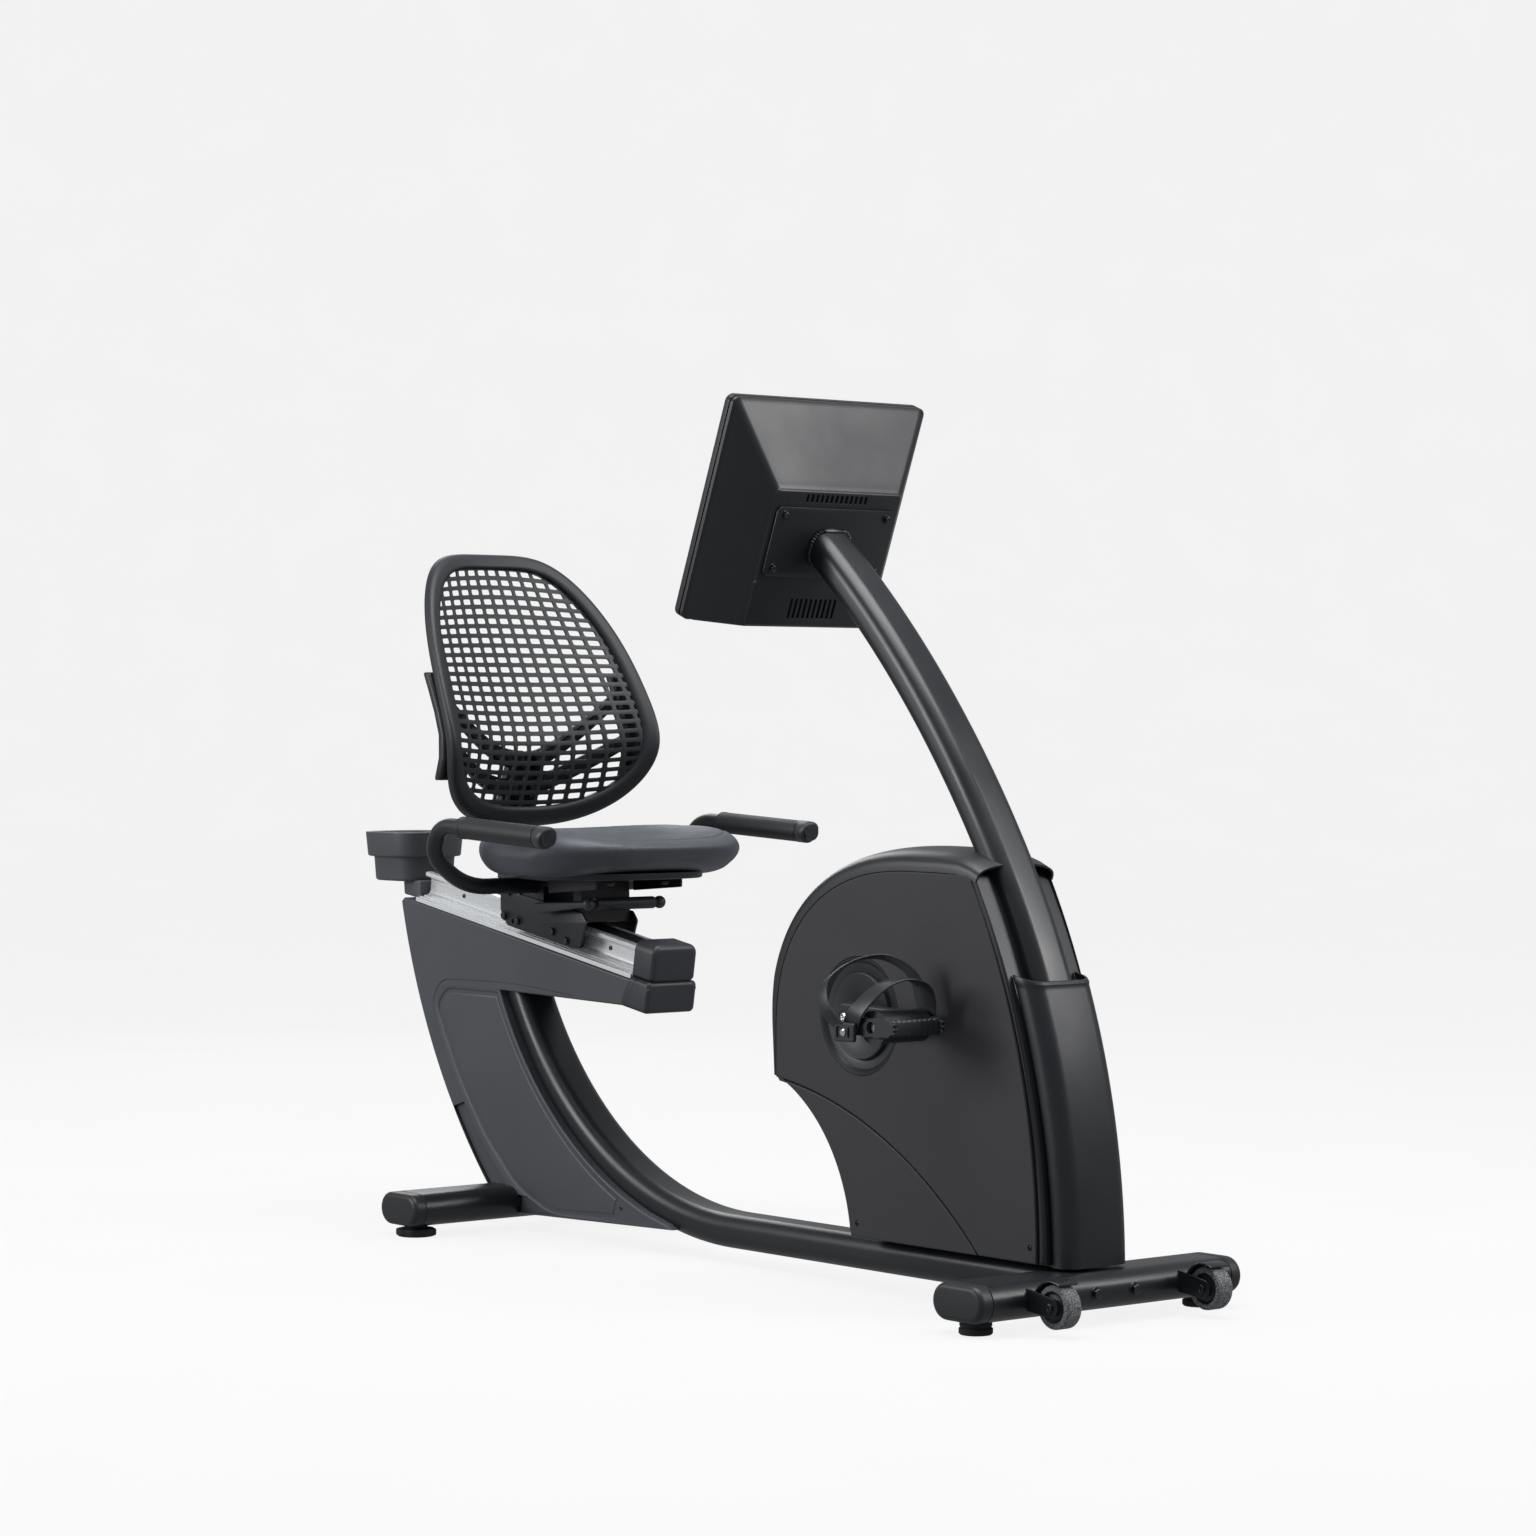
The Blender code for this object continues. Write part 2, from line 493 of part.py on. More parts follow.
shape = boot_section(0) + boot_section(BOOT_WALL)[::-1]
rings = []
low, high = post_angle(BOOT_BOTTOM), post_angle(BOOT_TOP)
for k in range(12):
    centre, radial, tangent = post_station(low + (high - low) * k / 11)
    rings.append(section(shape, centre, radial))
rings[0] = slide_to_plane(rings[0], UP, (0, 0, BOOT_BOTTOM), UP)
TOP_DIP = 0.7
rings[-1] = [p - tangent * TOP_DIP * (p - centre).dot(radial) for p in rings[-1]]
post_boot = loft("post_boot", rings, black_plastic, machine)
cut(post_boot, loft("boot_cope", [oval_ring(0, -0.08, -GAP * 2), oval_ring(0, 0.08, -GAP * 2)],
                    parent=machine))


# ---- drive covers -------------------------------------------------------------------------------
def cover_top_curve(steps=12):
    """From the middle of the top, over the rounded shoulder, to the straight rear edge."""
    half_x, half_z = COVER_TOP_X - COVER_REAR_X, COVER_TOP_Z - COVER_REAR_HIGH
    points = []
    for k in range(steps + 1):
        angle = pi / 2 * k / steps
        points.append((COVER_TOP_X - half_x * sin(angle) ** (2 / COVER_ROUND),
                       COVER_REAR_HIGH + half_z * cos(angle) ** (2 / COVER_ROUND)))
    return points


def post_edge(z, back=0.0015):
    centre, radial, _ = post_station(post_angle(z))
    return centre - radial * back


def post_room():
    """The space that the post needs inside the covers."""
    return post_rings(0.0012, COVER_BOTTOM - 0.02, POST_TOP, 16)[0]


def cover_outline():
    """The side cover seen from the side, counter-clockwise for x to the right and z up."""
    front = [post_edge(COVER_BOTTOM + (COVER_FRONT_TOP - COVER_BOTTOM) * k / 10) for k in range(11)]
    start = atan2(COVER_REAR_LOW - SCOOP_Z, COVER_REAR_X - SCOOP_X)
    end = asin((COVER_BOTTOM - SCOOP_Z) / SCOOP_R)
    return ([(p.x, p.z) for p in front] + cover_top_curve() + arc(SCOOP_X, SCOOP_Z, SCOOP_R, start, end, 9))


def cover_solid(name, side, radius, operation):
    """One shell, hollow towards the middle, kept above or below the joint between the two panels."""
    outline = cover_outline()
    cover = prism(name, outline, side * COVER_HALF, side * GAP, cover_plastic, machine)
    inside = [(x, z - (0.03 if z < COVER_BOTTOM + 0.001 else 0)) for x, z in inset(outline, COVER_WALL)]
    inside = [(x, min(z, COVER_BOTTOM - 0.02) if z < COVER_BOTTOM + 0.004 else z) for x, z in inside]
    room = prism(name + "_room", inside, side * (COVER_HALF - COVER_WALL), -side * 0.01, parent=machine)
    post = loft(name + "_post", post_room(), parent=machine)
    line = prism(name + "_line", arc(PANEL_X, PANEL_Z, radius, 0, 2 * pi * 119 / 120, 119), side * 0.1,
                 -side * 0.05, parent=machine)
    cut(cover, room, post)
    boolean(cover, operation, line)
    return cover


def crank_dish(name, side):
    """The round dish that the crank turns in, turned about the crank axle."""
    face = COVER_HALF
    floor = face - DISH_DEPTH
    profile = [(0.022, floor - COVER_WALL), (DISH_R + 0.001, floor - COVER_WALL),
               (DISH_R + 0.001, face - 0.0002),
               (DISH_R - 0.002, face - 0.0002), (DISH_R - 0.008, floor), (0.061, floor),
               (0.059, floor + 0.004),
               (0.022, floor + 0.004)]
    return turned(name, [(r, side * y) for r, y in profile], (CRANK_X, 0, CRANK_Z), parent=machine,
                  steps=28)


for side, hand in ((-1, "right"), (1, "left")):
    upper = cover_solid("drive_cover_" + hand, side, PANEL_R + PANEL_GAP, 'DIFFERENCE')
    cut(upper, turned("crank_opening_" + hand, [(0, side * 0.05), (DISH_R, side * 0.05),
                                                (DISH_R, side * 0.09), (0, side * 0.09)],
                      (CRANK_X, 0, CRANK_Z), parent=machine, steps=28))
    join(upper, crank_dish("crank_dish_" + hand, side))
    cover_solid("lower_cover_" + hand, side, PANEL_R - PANEL_GAP, 'INTERSECT')


def crown():
    """The capping strip that arches from one side cover to the other, over the top and down the rear."""
    top = [(COVER_TOP_X + 0.125, COVER_FRONT_TOP), (COVER_TOP_X + 0.07, COVER_TOP_Z - 0.0012)]
    line = top + cover_top_curve() + [(COVER_REAR_X, COVER_REAR_LOW + 0.002)]
    rings = []
    steps = 8
    for k, (x, z) in enumerate(line):
        x0, z0 = line[max(k - 1, 0)]
        x1, z1 = line[min(k + 1, len(line) - 1)]
        out = Vector((z1 - z0, 0, x0 - x1)).normalized()
        away = max(0.0, (COVER_REAR_HIGH + 0.08 - z) / (COVER_REAR_HIGH + 0.08 - COVER_REAR_LOW))
        height = CROWN_HEIGHT + (CROWN_TAIL - CROWN_HEIGHT) * away
        base = Vector((x, 0, z)) + out * 2 * GAP
        ring = []
        for thin in (0, COVER_WALL):
            arch = [base + LEFT * (COVER_HALF - thin) * cos(a) + out * (height - thin) * sin(a) ** 0.8
                    for a in (pi * n / steps for n in range(steps + 1))]
            ring += arch if thin == 0 else arch[::-1]
        rings.append(ring)
    cap = loft("drive_cover_crown", rings, cover_plastic, machine)
    return cut(cap, loft("crown_post", post_room(), parent=machine))


crown()


# ---- drive: frame plate, crank, pulleys, belt, flywheel, brake ----------------------------------
PLATE_FACE, PLATE_STEEL = -0.040, 0.005
BRAKE_PIVOT_ANGLE, BRAKE_END_ANGLE, BRAKE_RING = radians(215), radians(150), 0.0145
brake_r = FLYWHEEL_R + 0.0035 + BRAKE_RING / 2
brake_x = FLYWHEEL_X + brake_r * cos(BRAKE_PIVOT_ANGLE)
brake_z = FLYWHEEL_Z + brake_r * sin(BRAKE_PIVOT_ANGLE)
plate = arc(CRANK_X, CRANK_Z, 0.032, radians(30), radians(210), 8)
plate += arc(brake_x, brake_z, 0.012, radians(170), radians(260), 3)
plate += [(-0.290, FLANGE_BOTTOM), (-0.110, FLANGE_BOTTOM)] + arc(FLYWHEEL_X, FLYWHEEL_Z, 0.030,
    radians(-20), radians(60), 5)
drive_frame = prism("drive_frame", plate, PLATE_FACE - PLATE_STEEL, PLATE_FACE, steel_paint, machine)
foot_pad = prism("drive_foot", [(-0.280, FLANGE_BOTTOM), (-0.120, FLANGE_BOTTOM),
                                (-0.120, FLANGE_BOTTOM + 0.004), (-0.280, FLANGE_BOTTOM + 0.004)],
                 PLATE_FACE - 0.002, 0.030, parent=machine)
BUSH_R = CRANK_AXLE_R + 0.0008
shell_barrel = turned("crank_shell", [(BUSH_R, PLATE_FACE - 0.012), (0.020, PLATE_FACE - 0.012),
                                      (0.020, 0.018), (BUSH_R, 0.018)],
                      (CRANK_X, 0, CRANK_Z), parent=machine)
plate_bore = pin("plate_bore", BUSH_R, -0.06, -0.02, CRANK_X, CRANK_Z, parent=machine, steps=32)
stub = pin("flywheel_stub", FLYWHEEL_AXLE_R, PLATE_FACE - 0.002, 0.046, FLYWHEEL_X, FLYWHEEL_Z,
           parent=machine)
brake_pin = pin("brake_pin", 0.004, PLATE_FACE - 0.002, 0.002, brake_x, brake_z, parent=machine, steps=16)
cut(drive_frame, plate_bore)
join(drive_frame, foot_pad, shell_barrel, stub, brake_pin)

axle_reach = ARM_INNER - 0.010 - GAP
pin("crank_axle", CRANK_AXLE_R, -axle_reach, axle_reach, CRANK_X, CRANK_Z, bare_steel, machine, 32)
pulley_bore = CRANK_AXLE_R + GAP
turned("drive_pulley", [(pulley_bore, PULLEY_Y), (0.030, PULLEY_Y), (0.034, PULLEY_Y + 0.004),
                        (PULLEY_R - 0.008, PULLEY_Y + 0.004),
                        (PULLEY_R - 0.004, PULLEY_Y), (PULLEY_R, PULLEY_Y),
                        (PULLEY_R, PULLEY_Y + PULLEY_WIDTH),
                        (PULLEY_R - 0.004, PULLEY_Y + PULLEY_WIDTH),
                        (PULLEY_R - 0.008, PULLEY_Y + PULLEY_WIDTH - 0.004),
                        (0.034, PULLEY_Y + PULLEY_WIDTH - 0.004), (0.030, PULLEY_Y + PULLEY_WIDTH),
                        (pulley_bore, PULLEY_Y + PULLEY_WIDTH)],
       (CRANK_X, 0, CRANK_Z), black_plastic, machine, 28)
fly_bore = FLYWHEEL_AXLE_R + RUN
turned("flywheel", [(fly_bore, -FLYWHEEL_WIDTH - 0.002), (0.030, -FLYWHEEL_WIDTH - 0.002), (0.034, -0.017),
                    (FLYWHEEL_R - 0.026, -0.017),
                    (FLYWHEEL_R - 0.022, -FLYWHEEL_WIDTH - 0.002), (FLYWHEEL_R, -FLYWHEEL_WIDTH - 0.002),
                    (FLYWHEEL_R, -0.002),
                    (FLYWHEEL_R - 0.022, -0.002), (FLYWHEEL_R - 0.026, -0.007), (0.034, -0.007),
                    (0.030, -0.002),
                    (HUB_PULLEY_R, 0.002), (HUB_PULLEY_R, PULLEY_Y + PULLEY_WIDTH),
                    (fly_bore, PULLEY_Y + PULLEY_WIDTH)],
       (FLYWHEEL_X, 0, FLYWHEEL_Z), cast_iron, machine, 28)


def belt_loop(grow):
    """The outline of a belt pulled tight round the two pulleys, at a distance from their rims."""
    dx, dz = FLYWHEEL_X - CRANK_X, FLYWHEEL_Z - CRANK_Z
    lean, wrap = atan2(dz, dx), acos((PULLEY_R - HUB_PULLEY_R) / hypot(dx, dz))
    big = arc(CRANK_X, CRANK_Z, PULLEY_R + grow, lean + wrap, lean + 2 * pi - wrap, 26)
    return big + arc(FLYWHEEL_X, FLYWHEEL_Z, HUB_PULLEY_R + grow, lean - wrap, lean + wrap, 10)


belt_y = (PULLEY_Y + 0.001, PULLEY_Y + PULLEY_WIDTH - 0.001)
belt = [[(x, y, z) for x, z in belt_loop(grow)] for grow, y in
        ((GAP, belt_y[0]), (GAP + BELT_THICK, belt_y[0]), (GAP + BELT_THICK, belt_y[1]), (GAP, belt_y[1]))]
loft("drive_belt", belt, rubber, machine, closed=True)

caliper = arc(FLYWHEEL_X, FLYWHEEL_Z, brake_r - BRAKE_RING / 2, BRAKE_END_ANGLE, BRAKE_PIVOT_ANGLE, 10)
caliper += arc(brake_x, brake_z, BRAKE_RING / 2, BRAKE_PIVOT_ANGLE + pi * 1.05, BRAKE_PIVOT_ANGLE + pi
               * 1.95, 6)
caliper += arc(FLYWHEEL_X, FLYWHEEL_Z, brake_r + BRAKE_RING / 2, BRAKE_PIVOT_ANGLE, BRAKE_END_ANGLE, 10)
brake_arm = prism("brake_arm", caliper, -0.024, -0.001, bare_steel, machine, (brake_x, 0, brake_z))
cut(brake_arm, pin("brake_bore", 0.004 + RUN, -0.05, 0.05, brake_x, brake_z, parent=machine, steps=16))


# ---- cranks and pedals --------------------------------------------------------------------------
def strap_ring(thin, side):
    """The strap's arch over the pedal as (y, z): up one side, over the foot and down the other."""
    near, far = PEDAL_INNER - GAP - STRAP_THICK, PEDAL_INNER + PEDAL_WIDTH + GAP + STRAP_THICK
    middle, half = (near + far) / 2, (far - near) / 2 - thin
    foot, shoulder = SPINDLE_R + 0.0015, PEDAL_THICK / 2 + 0.0015
    points = [(middle - half, foot)]
    for k in range(11):
        angle = pi * k / 10
        c, s = cos(angle), sin(angle)
        points.append((middle - half * abs(c) ** 0.7 * (1 if c > 0 else -1), shoulder
                       + (STRAP_RISE - shoulder - thin) * s ** 0.7))
    points.append((middle + half, foot))
    return [(side * y, CRANK_Z + z) for y, z in points]


for side, hand, ahead in ((-1, "right", 1), (1, "left", -1)):
    tip_x = CRANK_X + ahead * CRANK_LENGTH
    lean = acos((ARM_HUB_R - ARM_TIP_R) / CRANK_LENGTH)
    outline = arc(0, 0, ARM_HUB_R, lean, 2 * pi - lean, 16) + arc(CRANK_LENGTH, 0, ARM_TIP_R, -lean, lean,
        12)
    outline = [(CRANK_X + ahead * x, CRANK_Z + z) for x, z in outline]
    arm = prism("crank_arm_" + hand, outline, side * ARM_INNER, side * (ARM_INNER + ARM_THICK), steel_paint,
                machine,
                (CRANK_X, 0, CRANK_Z))
    hub = pin("crank_hub_" + hand, ARM_HUB_R - 0.003, side * (ARM_INNER - 0.010), side
              * (ARM_INNER + ARM_THICK + 0.002),
              CRANK_X, CRANK_Z, parent=machine, steps=28)
    spindle = pin("spindle_" + hand, SPINDLE_R, side * (ARM_INNER + 0.002), side
                  * (PEDAL_INNER + PEDAL_WIDTH - 0.006),
                  tip_x, CRANK_Z, parent=machine, steps=20)
    join(arm, hub, spindle)

    body = [(tip_x + x, CRANK_Z + z) for x, z in rounded_rectangle(PEDAL_LENGTH, PEDAL_THICK, 0.008, 4)]
    pedal = prism("pedal_" + hand, body, side * PEDAL_INNER, side * (PEDAL_INNER + PEDAL_WIDTH),
                  black_plastic, machine,
                  (tip_x, 0, CRANK_Z))
    cut(pedal, pin("pedal_bore_" + hand, SPINDLE_R + RUN, side * 0.09, side
                   * (PEDAL_INNER + PEDAL_WIDTH - 0.004),
                   tip_x, CRANK_Z, parent=machine, steps=20))
    strap = strap_ring(0, side) + strap_ring(STRAP_THICK, side)[::-1]
    rings = [[(x, y, z) for y, z in strap] for x in (tip_x - STRAP_WIDTH / 2, tip_x + STRAP_WIDTH / 2)]
    loft("pedal_strap_" + hand, rings, rubber, machine, (tip_x, 0, CRANK_Z))


# ---- rear leg covers ----------------------------------------------------------------------------
def beam_line(x, height=0.0):
    """A height above the rail plane at a place along X."""
    return RAIL_Z - (x - RAIL_X) * tan(RAIL_TILT) + height


def leg_outline():
    """The rear cover from the side: beam, front edge along the bent tube, foot and rear edge."""
    nose_top, nose_low, throat = -0.903, -0.930, -1.285
    tube_r = BASE_BEND_R + TUBE_DEPTH / 2 - 0.012
    centre_z = BASE_Z + BASE_BEND_R
    points = [(-1.552, beam_line(-1.552, -GAP)), (nose_low, 0.366)]
    throat_angle = atan2(0.374 - centre_z, throat - BASE_BEND_X)
    end_angle = atan2(0.045 - centre_z, -0.862 - BASE_BEND_X)
    curve = arc(BASE_BEND_X, centre_z, tube_r, throat_angle + 2 * pi, end_angle + 2 * pi, 14)
    rear_low = atan2(0.063 - LEG_REAR_Z, -1.320 - LEG_REAR_X)
    rear_high = atan2(0.505 - LEG_REAR_Z, -1.556 - LEG_REAR_X)
    rear = arc(LEG_REAR_X, LEG_REAR_Z, LEG_REAR_R, rear_low + 2 * pi, rear_high + 2 * pi, 12)
    outline = [points[0]] + rear[::-1] + [(-1.252, 0.0245), (-1.181, 0.028), (-0.846, 0.038)]
    outline += curve[::-1] + [points[1], (nose_top - 0.010, 0.380), (nose_top, beam_line(nose_top, -0.010)),
                              (nose_top - 0.004, beam_line(nose_top - 0.004, -GAP))]
    return outline


for side, hand in ((-1, "right"), (1, "left")):
    outline = leg_outline()
    cover = prism("leg_cover_" + hand, outline, side * LEG_COVER_HALF, side * GAP, leg_plastic, machine)
    room = prism("leg_room_" + hand, inset(outline, LEG_COVER_WALL), side
                 * (LEG_COVER_HALF - LEG_COVER_WALL), -side * 0.01,
                 parent=machine)
    tube = loft("leg_tube_room_" + hand, base_rings(0.0012), parent=machine)
    beam = loft("leg_beam_room_" + hand, [beam_ring(BEAM_REAR - 0.001, -0.001),
                                          beam_ring(BEAM_FRONT + 0.001, -0.001)], parent=machine)
    foot_room = loft("leg_foot_room_" + hand, [oval_ring(REAR_STAB_X, -0.1, -0.001),
                                               oval_ring(REAR_STAB_X, 0.1, -0.001)], parent=machine)
    cut(cover, room, tube, beam, foot_room)


# ---- rail, its insert, front cap ----------------------------------------------------------------
def rail_shape():
    """The extrusion's section as (y, height): foot, channel on each side, head with a slot on top."""
    head, top = RAIL_HEIGHT - RAIL_HEAD_THICK, RAIL_HEIGHT
    slot = INSERT_WIDTH / 2
    right = [(RAIL_FOOT, 0.0), (RAIL_FOOT, RAIL_FOOT_THICK - 0.004), (RAIL_WEB + 0.002, RAIL_FOOT_THICK),
             (RAIL_WEB, RAIL_FOOT_THICK + 0.002),
             (RAIL_WEB, head - 0.002), (RAIL_WEB + 0.002, head), (RAIL_HEAD, head),
             (RAIL_HEAD, top - 0.001), (RAIL_HEAD - 0.001, top),
             (slot, top), (slot, top - INSERT_DEPTH)]
    return right + [(-y, h) for y, h in right[::-1]]


rings = [[(along, y, height) for y, height in rail_shape()] for along in (RAIL_REAR, RAIL_FRONT - GAP)]
loft("slide_rail", rings, aluminium, rail_frame)
slot = INSERT_WIDTH / 2 - GAP
ribs = [(-slot, RAIL_HEIGHT - INSERT_DEPTH + GAP), (slot, RAIL_HEIGHT - INSERT_DEPTH + GAP)]
rib_count = 6
for k in range(rib_count):
    left = slot - 2 * slot * k / rib_count
    ribs += [(left, RAIL_HEIGHT + 0.001), (left - 2 * slot / rib_count * 0.6, RAIL_HEIGHT + 0.001),
             (left - 2 * slot / rib_count * 0.6, RAIL_HEIGHT - 0.001),
             (left - 2 * slot / rib_count, RAIL_HEIGHT - 0.001)]
loft("rail_insert", [[(along, y, height) for y, height in ribs] for along in (RAIL_REAR, RAIL_FRONT - GAP)],
     black_plastic, rail_frame)

cap_shape = rounded_rectangle(2 * RAIL_CAP_HALF, RAIL_CAP_HEIGHT - 0.002, 0.010, 4)
rings = []
for along, shrink in ((0, 0.0), (RAIL_CAP_LENGTH - 0.012, 0.0), (RAIL_CAP_LENGTH - 0.004, 0.003),
                      (RAIL_CAP_LENGTH, 0.009)):
    rings.append([(RAIL_FRONT + along, y * (1 - shrink / RAIL_CAP_HALF), 0.001 + RAIL_CAP_HEIGHT / 2 + h
                   * (1 - shrink / RAIL_CAP_HEIGHT))
                  for y, h in cap_shape])
loft("rail_front_cap", rings, black_plastic, rail_frame)


# ---- accessory tray -----------------------------------------------------------------------------
def tray_ring(z, shrink):
    return [(TRAY_X + x, y, z) for x, y in superellipse(TRAY_HALF_LENGTH - shrink, TRAY_HALF_WIDTH - shrink,
        TRAY_ROUND)]


levels = [(TRAY_BOTTOM, 0.012), (TRAY_BOTTOM + 0.004, 0.008), (TRAY_STEP - 0.004, 0.006),
          (TRAY_STEP, -TRAY_LIP + 0.004),
          (TRAY_STEP + 0.006, -TRAY_LIP), (TRAY_TOP - 0.004, -TRAY_LIP), (TRAY_TOP, -TRAY_LIP + 0.003),
          (TRAY_TOP, TRAY_WALL), (TRAY_STEP, TRAY_WALL + 0.001), (TRAY_STEP - 0.006, 0.006 + TRAY_WALL),
          (TRAY_BOTTOM + TRAY_WALL, 0.010 + TRAY_WALL)]
tray = loft("accessory_tray", [tray_ring(z, shrink) for z, shrink in levels], black_plastic, machine)
neck = [(TRAY_X + 0.020, TRAY_BOTTOM + 0.001), (TRAY_X + 0.020, beam_line(TRAY_X + 0.040, 0.004)),
        (TRAY_X + 0.040, beam_line(TRAY_X + 0.040, 0.001)),
        (RAIL_X + (RAIL_REAR - 0.003) * cos(RAIL_TILT),
         beam_line(RAIL_X + (RAIL_REAR - 0.003) * cos(RAIL_TILT), 0.001)),
        (RAIL_X + (RAIL_REAR - 0.003) * cos(RAIL_TILT), TRAY_BOTTOM + 0.001)]
join(tray, prism("tray_neck", neck, -0.034, 0.034, parent=machine))


# ---- seat carriage ------------------------------------------------------------------------------
PLATE_OUTLINE = [rail_point(0.017, 0.0150), rail_point(0.196, 0.0150), rail_point(0.212, 0.028),
                 rail_point(0.219, 0.062),
                 rail_point(0.205, 0.074), rail_point(0.040, 0.069), rail_point(0.036, 0.0855),
                 rail_point(-0.014, 0.0855),
                 rail_point(-0.004, 0.034)]
plate_outline = [(p.x, p.z) for p in PLATE_OUTLINE]
AXLE_R, ROLLER_ALONG, ROLLER_HEIGHT = 0.004, (0.032, 0.175), 0.0251
for side, hand in ((-1, "right"), (1, "left")):
    plate = prism("carriage_plate_" + hand, plate_outline, side * PLATE_Y, side * (PLATE_Y + PLATE_THICK),
                  steel_paint, machine)
    for along, place in zip(ROLLER_ALONG, ("rear", "front")):
        spot = rail_point(along, ROLLER_HEIGHT)
        inner_y = RAIL_WEB + 0.006
        join(plate, pin(f"{place}_axle_{hand}", AXLE_R, side * (inner_y - 0.002), side
                        * (PLATE_Y + PLATE_THICK + 0.002),
                        spot.x, spot.z, parent=machine, steps=12))
        turned(f"{place}_roller_{hand}", [(AXLE_R + RUN, side * inner_y), (ROLLER_R, side * inner_y),
                                          (ROLLER_R, side * (inner_y + ROLLER_WIDTH)),
                                          (AXLE_R + RUN, side * (inner_y + ROLLER_WIDTH))],
                                          (spot.x, 0, spot.z), black_plastic, machine, 24)

SADDLE = HANDLE_R + GAP * 2
bracket_foot = RAIL_HEIGHT + 0.008
block = [(p.x, p.z) for p in (rail_point(0.018, bracket_foot), rail_point(0.205, bracket_foot))]
block += [(block[1][0] - 0.004, SEAT_PAN_Z - GAP), (-1.262, SEAT_PAN_Z - GAP), (-1.262, block[0][1])]
seat_bracket = prism("seat_bracket", block, -PLATE_Y + GAP, PLATE_Y - GAP, steel_paint, machine)
cut(seat_bracket, pin("handle_saddle", SADDLE, -0.1, 0.1, HANDLE_CROSS_X, HANDLE_CROSS_Z, parent=machine),
    prism("bracket_room", [(x, z) for x, z in ((-1.172, 0.49), (-1.085, 0.47), (-1.085, 0.545),
                                               (-1.172, 0.545))], -0.042, 0.042, parent=machine))


# ---- handlebar and grips ------------------------------------------------------------------------
def handle_height(x):
    return GRIP_REAR_Z + (GRIP_FRONT_Z - GRIP_REAR_Z) * (x - GRIP_REAR_X) / (GRIP_FRONT_X - GRIP_REAR_X)


GRIP_SIDES = 14
bar_end = GRIP_FRONT_X - 0.006
right_half = [(bar_end, -HANDLE_Y, handle_height(bar_end)), (-1.154, -HANDLE_Y, handle_height(-1.154)),
              (-1.181, -HANDLE_Y + 0.004, 0.592), (HANDLE_CROSS_X, -HANDLE_Y + 0.070, HANDLE_CROSS_Z)]
left_half = [(x, -y, z) for x, y, z in right_half[::-1]]
path = round_path(right_half + left_half, 0.035)
hollow("handlebar", bar_rings(path, HANDLE_R, 10), bar_rings(path, HANDLE_R - HANDLE_WALL, 10), steel_paint,
       machine)
for side, hand in ((-1, "right"), (1, "left")):
    start, end = Vector((GRIP_REAR_X, side * HANDLE_Y, GRIP_REAR_Z)), Vector((GRIP_FRONT_X, side * HANDLE_Y,
        GRIP_FRONT_Z))
    ahead = (end - start).normalized()
    upward = LEFT.cross(ahead)
    length = (end - start).length
    bore = (HANDLE_R + GAP) / cos(pi / GRIP_SIDES)
    rings = []
    for along, radius in ((0, bore), (0, GRIP_R - 0.002), (0.003, GRIP_R), (length - 0.004, GRIP_R),
                          (length, GRIP_R - 0.004),
                          (length, 0.004), (length - 0.004, 0.004), (length - 0.004, bore)):
        rings.append([start + ahead * along + (LEFT * cos(a) - upward * sin(a)) * radius
                      for a in (2 * pi * k / GRIP_SIDES for k in range(GRIP_SIDES))])
    loft("grip_" + hand, rings, rubber, machine, closed=True)


# ---- seat pan and cushion -----------------------------------------------------------------------
def seat_ring(z, shrink, dish=0.0):
    """The seat's outline; dish lowers the middle of the front and back edges."""
    shape = superellipse(SEAT_HALF_DEPTH - shrink, SEAT_HALF_WIDTH - shrink, SEAT_ROUND)
    return [(SEAT_X + x, y, z - dish * (1 - (y / SEAT_HALF_WIDTH) ** 2)) for x, y in shape]


loft("seat_pan", [seat_ring(SEAT_PAN_Z, 0.020), seat_ring(SEAT_PAN_Z + SEAT_PAN_THICK / 2, 0.010),
                  seat_ring(SEAT_PAN_Z + SEAT_PAN_THICK, 0.008)], black_plastic, machine)
cushion_z = SEAT_PAN_Z + SEAT_PAN_THICK + GAP
cushion_top = cushion_z + CUSHION_THICK
loft("seat_cushion", [seat_ring(cushion_z, 0.008), seat_ring(cushion_z + 0.018, 0),
                      seat_ring(cushion_top - 0.030, 0.002, 0.002),
                      seat_ring(cushion_top - 0.008, 0.012, 0.006), seat_ring(cushion_top, 0.030, 0.012),
                      seat_ring(cushion_top - 0.004, 0.090, 0.012)], cushion_skin, machine)


# ---- backrest and its support -------------------------------------------------------------------
def back_x(y, z):
    """The front of the backrest: reclined above its waist, curled back below it, hollow across."""
    bend = sqrt((z - BACK_WAIST_Z) ** 2 + BACK_SOFT ** 2) - BACK_SOFT
    return BACK_X - BACK_SWEEP * bend - BACK_HOLLOW * (1 - (y / BACK_HALF_WIDTH) ** 2)


